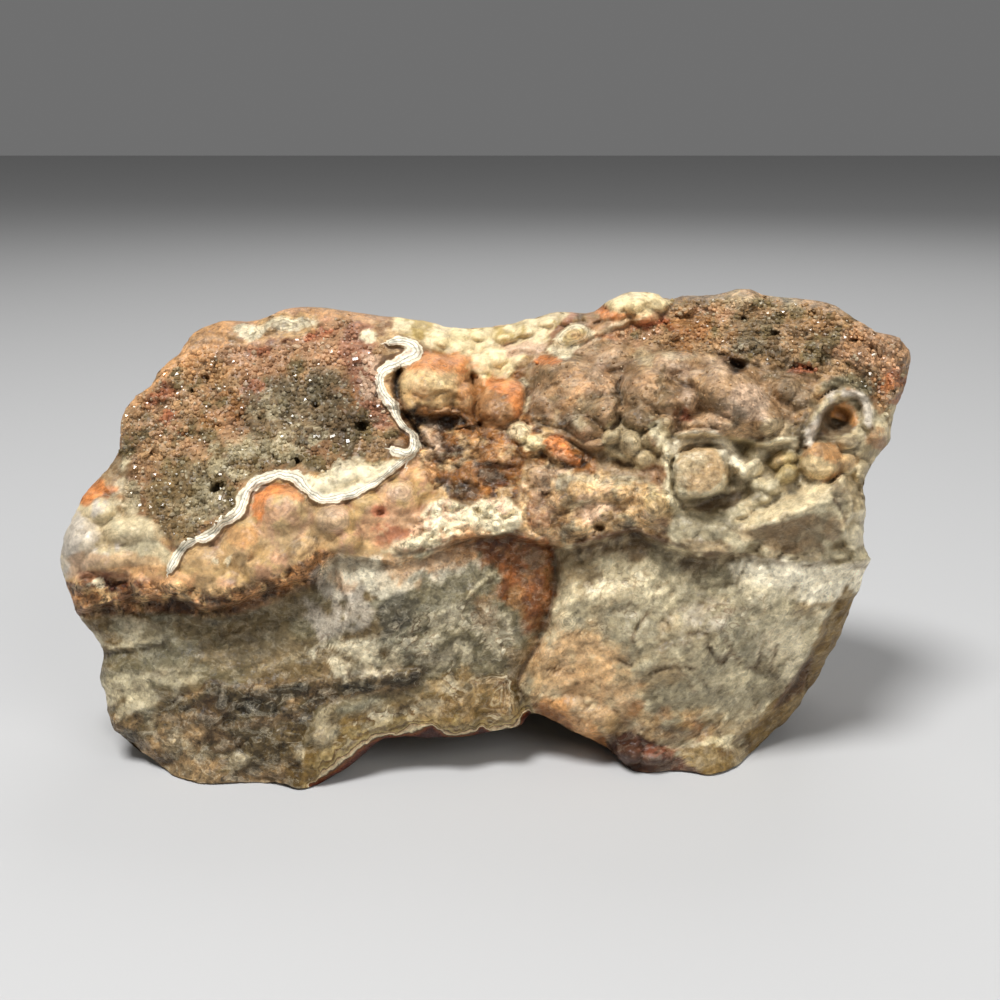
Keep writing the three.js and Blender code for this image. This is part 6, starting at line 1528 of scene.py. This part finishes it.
attributes = {
    "polish": ontoBack(character["polish"], 0.5),
    "grit": ontoBack(character["grit"], 0.45),
    "lacing": ontoBack(character["lacing"], 0.2),
    "wisps": ontoBack(character["wisps"], 0.7),
    "band": ontoBack(band, 5 * fractal(backPoints, 14, 3, 22)),
    "lace": np.append(lace, np.full(backCount, 6.0)),
    "laceShow": np.append(laceShow, np.zeros(backCount)),
    "rind": np.append(rind, np.full(backCount, 8.0)),
    "eye": np.append(eye, np.full(backCount, 4.0)),
    "eyeShow": np.append(eyeShow, np.zeros(backCount)),
}
for name, values in attributes.items():
    stoneMesh.attributes.new(name, "FLOAT", "POINT").data.foreach_set("value", values.astype(np.float32))
allColour = np.vstack([frontColour, backColour])
allColour = np.column_stack([allColour, np.ones(len(allColour))])
stoneMesh.attributes.new("stonePaint", "FLOAT_COLOR", "POINT").data.foreach_set("color", allColour.astype(np.float32).ravel())
print("attributes stored")


def addNode(tree, kind, values=None, **settings):
    node = tree.nodes.new(kind)
    for key, value in settings.items():
        setattr(node, key, value)
    for key, value in (values or {}).items():
        socket = node.inputs[key]
        if isinstance(value, bpy.types.NodeSocket):
            tree.links.new(value, socket)
        else:
            socket.default_value = value
    return node


def addRamp(tree, value, stops):
    # stops: place from 0 to 1 and colour, or a grey level
    ramp = addNode(tree, "ShaderNodeValToRGB", {"Fac": value})
    elements = ramp.color_ramp.elements
    while len(elements) > 1:
        elements.remove(elements[-1])
    for number, (place, colour) in enumerate(stops):
        element = elements[0] if number == 0 else elements.new(place)
        element.position = place
        tone = tuple(paint(colour)) if isinstance(colour, str) else (colour,) * 3
        element.color = (*tone, 1)
    return ramp


def maths(tree, operation, a, b=0.0, c=0.0):
    return addNode(tree, "ShaderNodeMath", {0: a, 1: b, 2: c}, operation=operation).outputs[0]


def blend(tree, factor, a, b, how="MIX"):
    node = addNode(tree, "ShaderNodeMix", {0: factor, 6: a, 7: b}, data_type="RGBA", blend_type=how)
    return node.outputs[2]


def newGroup(name, inputs, outputs):
    tree = bpy.data.node_groups.new(name, "ShaderNodeTree")
    for label, kind, value in inputs:
        socket = tree.interface.new_socket(label, in_out="INPUT", socket_type=kind)
        if value is not None:
            socket.default_value = value
    for label, kind in outputs:
        tree.interface.new_socket(label, in_out="OUTPUT", socket_type=kind)
    return tree, addNode(tree, "NodeGroupInput"), addNode(tree, "NodeGroupOutput")


def vectorMaths(tree, operation, a, b, output=0):
    return addNode(tree, "ShaderNodeVectorMath", {0: a, 1: b}, operation=operation).outputs[output]


def buildGritGroup():
    # grains of crystalline stone, from Object coordinates in metres. each Voronoi cell is a small tilted plane with
    # its own shade: height = (random direction) . (place - middle of the cell)
    tree, given, out = newGroup(
        "stoneGrit",
        [("Grit", "NodeSocketFloat", 0.3), ("Grain Size", "NodeSocketFloat", 0.0006)],
        [("Shade", "NodeSocketFloat"), ("Height", "NodeSocketFloat"), ("Sparkle", "NodeSocketFloat")],
    )
    where = addNode(tree, "ShaderNodeTexCoord").outputs["Object"]
    scale = maths(tree, "DIVIDE", 1.0, given.outputs["Grain Size"])
    heights, tones, picks = [], [], []
    for finer in (1.0, 2.3):
        size = maths(tree, "MULTIPLY", scale, finer)
        cells = addNode(tree, "ShaderNodeTexVoronoi", {"Vector": where, "Scale": size})
        away = vectorMaths(tree, "SUBTRACT", where, cells.outputs["Position"])
        tilt = vectorMaths(tree, "SUBTRACT", cells.outputs["Color"], (0.5, 0.5, 0.5))
        heights.append(maths(tree, "MULTIPLY", vectorMaths(tree, "DOT_PRODUCT", away, tilt, "Value"), size))
        split = addNode(tree, "ShaderNodeSeparateColor", {"Color": cells.outputs["Color"]})
        tones.append(maths(tree, "SUBTRACT", split.outputs[0], 0.5))
        picks.append(split.outputs[1])
    cloud = addNode(tree, "ShaderNodeTexNoise", {"Vector": where, "Scale": maths(tree, "MULTIPLY", scale, 0.7),
                                                "Detail": 6.0, "Roughness": 0.68}).outputs["Fac"]
    height = maths(tree, "MULTIPLY_ADD", heights[1], 0.5, heights[0])
    height = maths(tree, "MULTIPLY_ADD", cloud, 0.5, height)
    tree.links.new(maths(tree, "MULTIPLY", height, given.outputs["Grit"]), out.inputs["Height"])
    grains = maths(tree, "MULTIPLY_ADD", tones[1], 0.8, tones[0])
    shade = maths(tree, "MULTIPLY", grains, given.outputs["Grit"])
    shade = maths(tree, "MULTIPLY_ADD", maths(tree, "SUBTRACT", cloud, 0.5), 1.1, shade)
    tree.links.new(shade, out.inputs["Shade"])
    sparkle = maths(tree, "MULTIPLY", maths(tree, "GREATER_THAN", picks[1], 0.9), given.outputs["Grit"])
    tree.links.new(sparkle, out.inputs["Sparkle"])
    return tree


def buildWispGroup():
    # fine veining of the stone: a noise drawn out across the stone, its upper values pale and its lower ones dark
    tree, given, out = newGroup(
        "stoneWisps",
        [("Amount", "NodeSocketFloat", 0.5), ("Scale", "NodeSocketFloat", 380.0)],
        [("Pale", "NodeSocketFloat"), ("Dark", "NodeSocketFloat")],
    )
    where = addNode(tree, "ShaderNodeTexCoord").outputs["Object"]
    where = vectorMaths(tree, "MULTIPLY", where, (1.0, 1.3, 1.9))
    veins = addNode(tree, "ShaderNodeTexNoise", {"Vector": where, "Scale": given.outputs["Scale"], "Detail": 7.0,
                                                "Roughness": 0.62, "Distortion": 1.2}).outputs["Fac"]
    pale = addRamp(tree, veins, [(0.0, 0.0), (0.53, 0.0), (0.56, 0.9), (0.58, 0.2), (0.63, 0.5), (0.66, 1.0), (1.0, 1.0)])
    dark = addRamp(tree, veins, [(0.0, 1.0), (0.34, 1.0), (0.39, 0.35), (0.44, 0.1), (0.455, 0.8), (0.475, 0.0), (1.0, 0.0)])
    tree.links.new(maths(tree, "MULTIPLY", pale.outputs[0], given.outputs["Amount"]), out.inputs["Pale"])
    tree.links.new(maths(tree, "MULTIPLY", dark.outputs[0], given.outputs["Amount"]), out.inputs["Dark"])
    return tree


def buildBandGroup():
    # fine agate banding: fraction(millimetres across the layers / period) marks pale and dark lines
    tree, given, out = newGroup(
        "laceBanding",
        [("Across", "NodeSocketFloat", 0.0), ("Period", "NodeSocketFloat", 2.4)],
        [("Pale", "NodeSocketFloat"), ("Dark", "NodeSocketFloat")],
    )
    band = maths(tree, "FRACT", maths(tree, "DIVIDE", given.outputs["Across"], given.outputs["Period"]))
    pale = addRamp(tree, band, [
        (0.0, 0.0), (0.05, 0.8), (0.10, 0.8), (0.13, 0.1), (0.22, 0.5), (0.25, 0.0), (0.38, 0.0), (0.42, 1.0),
        (0.50, 0.9), (0.53, 0.2), (0.60, 0.7), (0.63, 0.0), (0.80, 0.1), (0.84, 0.8), (0.88, 0.0)])
    dark = addRamp(tree, band, [
        (0.0, 0.1), (0.03, 0.0), (0.12, 0.0), (0.15, 0.9), (0.18, 0.0), (0.34, 0.0), (0.37, 0.7), (0.40, 0.0),
        (0.52, 0.0), (0.55, 1.0), (0.58, 0.2), (0.70, 0.5), (0.75, 0.0), (0.92, 0.7), (0.96, 0.1)])
    tree.links.new(pale.outputs[0], out.inputs["Pale"])
    tree.links.new(dark.outputs[0], out.inputs["Dark"])
    return tree


gritGroup = buildGritGroup()
wispGroup = buildWispGroup()
bandGroup = buildBandGroup()


def buildStoneMaterial():
    material = bpy.data.materials.new("laceAgate")
    material.use_nodes = True
    tree = material.node_tree
    shader = tree.nodes["Principled BSDF"]

    def attribute(name, output="Fac"):
        return addNode(tree, "ShaderNodeAttribute", attribute_name=name).outputs[output]

    where = addNode(tree, "ShaderNodeTexCoord").outputs["Object"]
    ragged = addNode(tree, "ShaderNodeTexNoise", {"Vector": where, "Scale": 900.0, "Detail": 4.0}).outputs["Fac"]
    wobble = maths(tree, "SUBTRACT", ragged, 0.5)
    colour = attribute("stonePaint", "Color")

    # fine banding where the stone is cut or broken across its layers
    patchy = addRamp(tree, addNode(tree, "ShaderNodeTexNoise", {"Vector": where, "Scale": 260.0, "Detail": 3.0}).outputs["Fac"],
                     [(0.0, 0.0), (0.4, 0.1), (0.6, 1.0)]).outputs[0]
    show = maths(tree, "MULTIPLY", attribute("lacing"), patchy)
    bands = addNode(tree, "ShaderNodeGroup", {"Across": maths(tree, "MULTIPLY_ADD", wobble, 0.8, attribute("band"))},
                    node_tree=bandGroup)
    colour = blend(tree, maths(tree, "MULTIPLY", bands.outputs["Pale"], maths(tree, "MULTIPLY", show, 0.6)), colour,
                   (*paint("cream"), 1), "SCREEN")
    colour = blend(tree, maths(tree, "MULTIPLY", bands.outputs["Dark"], show), colour, (*paint("amberBrown"), 1), "MULTIPLY")

    wisps = addNode(tree, "ShaderNodeGroup", {"Amount": attribute("wisps")}, node_tree=wispGroup)
    colour = blend(tree, maths(tree, "MULTIPLY", wisps.outputs["Dark"], 0.62), colour, (*paint("wispBrown"), 1), "MULTIPLY")
    colour = blend(tree, maths(tree, "MULTIPLY", wisps.outputs["Pale"], 0.24), colour, (*paint("chalk"), 1), "SCREEN")

    # eyes: brown rings
    eyeAt = maths(tree, "ADD", attribute("eye"), maths(tree, "MULTIPLY", wobble, 0.3))
    rings = addRamp(tree, eyeAt, [
        (0.0, 0.5), (0.12, 0.7), (0.2, 0.2), (0.3, 0.1), (0.42, 0.7), (0.5, 0.1), (0.62, 0.1), (0.68, 0.6),
        (0.74, 0.1), (0.9, 0.15), (0.95, 0.75), (1.0, 0.0)]).outputs[0]
    colour = blend(tree, maths(tree, "MULTIPLY", rings, attribute("eyeShow")), colour, (*paint("umber"), 1))

    # faint bands follow the lace into the tan layer beneath it
    laceAt = maths(tree, "ADD", attribute("lace"), maths(tree, "MULTIPLY", wobble, 0.9))
    under = maths(tree, "MULTIPLY_ADD", laceAt, 1 / 9, 6 / 9)
    # the dark line next to the lace's edge is partly a brown seam and partly painted shade under the raised lace
    bands = addRamp(tree, under, [
        (0.0, 0.0), (0.12, 0.0), (0.17, 0.35), (0.22, 0.0), (0.30, 0.05), (0.34, 0.4), (0.38, 0.0), (0.44, 0.0),
        (0.43, 0.3), (0.45, 0.0), (0.48, 0.9), (0.53, 1.0), (0.56, 0.0), (1.0, 0.0)]).outputs[0]
    laceShow = attribute("laceShow")
    colour = blend(tree, maths(tree, "MULTIPLY", bands, maths(tree, "MULTIPLY", laceShow, 0.85)), colour, (*paint("umber"), 1))
    laceMask = addRamp(tree, under, [(0.0, 0.0), (0.545, 0.0), (0.56, 1.0), (0.775, 1.0), (0.79, 0.0)]).outputs[0]
    laceTone = addRamp(tree, under, [
        (0.0, "tan"), (0.57, "chalk"), (0.59, "palePink"), (0.61, "chalk"), (0.63, "snow"), (0.65, "coolGrey"),
        (0.665, "chalk"), (0.70, "snow"), (0.72, "paleGrey"), (0.74, "chalk"), (0.775, "chalk"), (1.0, "taupe")]).outputs[0]
    colour = blend(tree, maths(tree, "MULTIPLY", laceMask, laceShow), colour, laceTone)

    # the red-brown rind and the layers over it
    rindAt = maths(tree, "MULTIPLY_ADD", maths(tree, "ADD", attribute("rind"), maths(tree, "MULTIPLY", wobble, 0.5)), 0.125, 0.0)
    rindMask = addRamp(tree, rindAt, [(0.0, 1.0), (0.22, 0.95), (0.34, 0.5), (0.5, 0.25), (0.6, 0.0)]).outputs[0]
    rindTone = addRamp(tree, rindAt, [
        (0.0, "maroon"), (0.05, "redBrown"), (0.09, "rust"), (0.12, "umber"), (0.14, "yellowCream"), (0.19, "tan"), (0.21, "umber"),
        (0.235, "paleOlive"), (0.30, "olive"), (0.34, "umber"), (0.37, "paleOlive"), (1.0, "olive")]).outputs[0]
    colour = blend(tree, rindMask, colour, rindTone)

    grit = addNode(tree, "ShaderNodeGroup", {"Grit": attribute("grit"), "Grain Size": 0.00062}, node_tree=gritGroup)
    shade = maths(tree, "MULTIPLY_ADD", grit.outputs["Shade"], 1.15, 1.0)
    shade = maths(tree, "MAXIMUM", shade, 0.15)
    shadeColour = addNode(tree, "ShaderNodeCombineColor", {0: shade, 1: shade, 2: shade}).outputs[0]
    colour = blend(tree, 1.0, colour, shadeColour, "MULTIPLY")
    tree.links.new(colour, shader.inputs["Base Color"])

    polish = maths(tree, "MULTIPLY_ADD", wobble, 0.3, attribute("polish"))
    polish = maths(tree, "MULTIPLY_ADD", grit.outputs["Sparkle"], -0.35, polish)
    tree.links.new(maths(tree, "MAXIMUM", polish, 0.1), shader.inputs["Roughness"])
    shader.inputs["Specular IOR Level"].default_value = 0.3
    bump = addNode(tree, "ShaderNodeBump", {"Height": grit.outputs["Height"], "Strength": 1.0, "Distance": 0.00035})
    tree.links.new(bump.outputs["Normal"], shader.inputs["Normal"])
    return material


stoneMesh.materials.append(buildStoneMaterial())
print("stone material made")

druse = {
    "tilt": 0.35,  # how far each point leans at random from the surface's own direction
    "clusterTilt": 1.6,  # how far the points near each other lean together
    "sunk": 0.5,  # share of a crystal's length that is bedded in the crust
    "patches": {
        "druseOfHollow": {"zone": "hollow", "spacing": 0.52, "radius": (0.13, 0.40), "slender": 1.5, "margin": 0.5},
        "druseOfCrown": {"zone": "crown", "spacing": 0.56, "radius": (0.14, 0.40), "slender": 1.5, "margin": 0.9},
        "druseOfBlock": {"zone": "block", "spacing": 1.3, "radius": (0.10, 0.22), "slender": 1.6, "margin": 0.5},
    },
}


def crystalPoints(base, axis, radius, length, spin):
    # six-sided crystals: ring k = radius * (cos, sin)(spin + k * 60 degrees) at two heights along the axis, then a tip
    helper = np.where(np.abs(axis[:, [2]]) < 0.8, [[0.0, 0.0, 1.0]], [[1.0, 0.0, 0.0]])
    side = np.cross(axis, helper)
    side /= np.linalg.norm(side, axis=1)[:, None]
    other = np.cross(axis, side)
    points = np.zeros((len(base), 13, 3))
    for k in range(6):
        a = (spin + k * pi / 3)[:, None]
        rim = (np.cos(a) * side + np.sin(a) * other) * radius[:, None]
        points[:, k] = base + rim - axis * (length * druse["sunk"])[:, None]
        points[:, 6 + k] = base + rim * 0.96 + axis * (0.35 * length)[:, None]
    points[:, 12] = base + axis * (length * (1 - druse["sunk"] + 0.35))[:, None]
    return points


def druseCrystals(name, patch, seed):
    spots, _ = scatter(zones[patch["zone"]]["shape"], patch["spacing"], seed)
    spots = spots[(insetIn(outlineLine[::4, :2], spots) > patch["margin"]) & (insetIn(zones[patch["zone"]]["shape"], spots) > 0.3)]
    step = 0.5
    here, right, up = (frontSurface(p, frontRelief(p)) for p in (spots, spots + [step, 0], spots + [0, step]))
    normal = np.cross(right - here, up - here)
    normal /= np.linalg.norm(normal, axis=1)[:, None]
    pick = np.random.default_rng(seed).random((len(spots), 8))
    together = np.column_stack([fractal(spots, 2.0, 3, seed + n) for n in (10, 11, 12)])
    axis = normal + druse["tilt"] * (2 * pick[:, :3] - 1) + druse["clusterTilt"] * together
    axis /= np.linalg.norm(axis, axis=1)[:, None]
    radius = mix(*patch["radius"], pick[:, 3] ** 1.6)
    # the points with the highest pick are smaller and, below, paler: partly clear quartz, partly painted glints
    radius = np.where(pick[:, 7] > 0.86, 0.55 * radius, radius)
    length = radius * patch["slender"] * mix(0.8, 1.5, pick[:, 4])
    points = crystalPoints(here, axis, radius, length, pick[:, 5] * pi)
    wobble = 0.3 * np.column_stack([fractal(spots, 1.8, 4, 7), fractal(spots, 1.8, 4, 8)])
    colour = zonePaint(spots, spots + wobble)[0] * mix(0.8, 1.4, pick[:, 6])[:, None]
    colour = mix(colour, paint("clear"), (0.6 * smooth(0.74, 0.9, pick[:, 7]))[:, None])
    quadsOfOne = np.array([[k, (k + 1) % 6, 6 + (k + 1) % 6, 6 + k] for k in range(6)] + [[0, 3, 2, 1], [0, 5, 4, 3]])
    tipsOfOne = np.array([[6 + k, 6 + (k + 1) % 6, 12] for k in range(6)])
    starts = (np.arange(len(spots)) * 13)[:, None, None]
    points = fitted(points.reshape(-1, 3))
    mesh = meshFrom(name, points, (quadsOfOne + starts).reshape(-1, 4), (tipsOfOne + starts).reshape(-1, 3))
    mesh.polygons.foreach_set("use_smooth", np.zeros(len(mesh.polygons), dtype=bool))
    perPoint = np.repeat(np.column_stack([np.clip(colour, 0.01, 0.9), np.ones(len(spots))]), 13, axis=0)
    mesh.attributes.new("stonePaint", "FLOAT_COLOR", "POINT").data.foreach_set("color", perPoint.astype(np.float32).ravel())
    crystals = bpy.data.objects.new(name, mesh)
    bpy.context.collection.objects.link(crystals)
    mesh.materials.append(quartz)
    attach(crystals, "root")
    print(name, len(spots), "crystals")


def buildQuartzMaterial():
    # small points: the paint of the crust beneath them, and a glossy opaque surface
    material = bpy.data.materials.new("druseQuartz")
    material.use_nodes = True
    tree = material.node_tree
    shader = tree.nodes["Principled BSDF"]
    paintNode = addNode(tree, "ShaderNodeAttribute", attribute_name="stonePaint")
    grit = addNode(tree, "ShaderNodeGroup", {"Grit": 0.5, "Grain Size": 0.0005}, node_tree=gritGroup)
    shade = maths(tree, "MULTIPLY_ADD", grit.outputs["Shade"], 0.6, 1.0)
    shadeColour = addNode(tree, "ShaderNodeCombineColor", {0: shade, 1: shade, 2: shade}).outputs[0]
    tree.links.new(blend(tree, 1.0, paintNode.outputs["Color"], shadeColour, "MULTIPLY"), shader.inputs["Base Color"])
    shader.inputs["Roughness"].default_value = 0.2
    return material


quartz = buildQuartzMaterial()
for number, (name, patchOfDruse) in enumerate(druse["patches"].items()):
    druseCrystals(name, patchOfDruse, 40 + number)

studio = {
    "floorTone": 0.5,
    "ambient": 0.16,
    "key": {"at": (-0.14, -0.26, 0.62), "size": 0.22, "watts": 5.3},
    "fill": {"at": (0.40, -0.50, 0.40), "size": 0.5, "watts": 1.7},
    "back": {"at": (0.1, 0.5, 0.5), "size": 0.5, "watts": 1.2},
}

bpy.ops.mesh.primitive_plane_add(size=4, location=(0, 0, 0))
floor = bpy.context.object
floor.name = "floor"
floorFinish = bpy.data.materials.new("paleFloor")
floorFinish.use_nodes = True
floorFinish.node_tree.nodes["Principled BSDF"].inputs["Base Color"].default_value = (*[studio["floorTone"]] * 3, 1)
floorFinish.node_tree.nodes["Principled BSDF"].inputs["Roughness"].default_value = 0.8
floor.data.materials.append(floorFinish)
floor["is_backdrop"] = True

world = bpy.data.worlds.new("studio")
world.use_nodes = True
world.node_tree.nodes["Background"].inputs["Color"].default_value = (1, 1, 1, 1)
world.node_tree.nodes["Background"].inputs["Strength"].default_value = studio["ambient"]
bpy.context.scene.world = world


def softLight(name, settings):
    data = bpy.data.lights.new(name, "AREA")
    data.shape = "DISK"
    data.size = settings["size"]
    data.energy = settings["watts"]
    light = bpy.data.objects.new(name, data)
    light.location = settings["at"]
    aim = np.array([0, 0, 0.03]) - settings["at"]
    flat = np.hypot(aim[0], aim[1])
    light.rotation_euler = (pi / 2 + np.arctan2(aim[2], flat), 0, np.arctan2(-aim[0], aim[1]))
    bpy.context.collection.objects.link(light)


for name in ("key", "fill", "back"):
    softLight(name, studio[name])

camera = bpy.data.objects.new("camera", bpy.data.cameras.new("camera"))
camera.data.lens = sight["lens"]
camera.data.sensor_width = 36
camera.data.clip_start = 0.01
camera.location = toFrame(np.array([[0.0, eyeY, eyeZ]]))[0]
camera.rotation_euler = (radians(90 - sight["tilt"]), 0, 0)
bpy.context.collection.objects.link(camera)
bpy.context.scene.camera = camera
bpy.context.scene.view_settings.view_transform = "Standard"
print("floor, light and camera set")
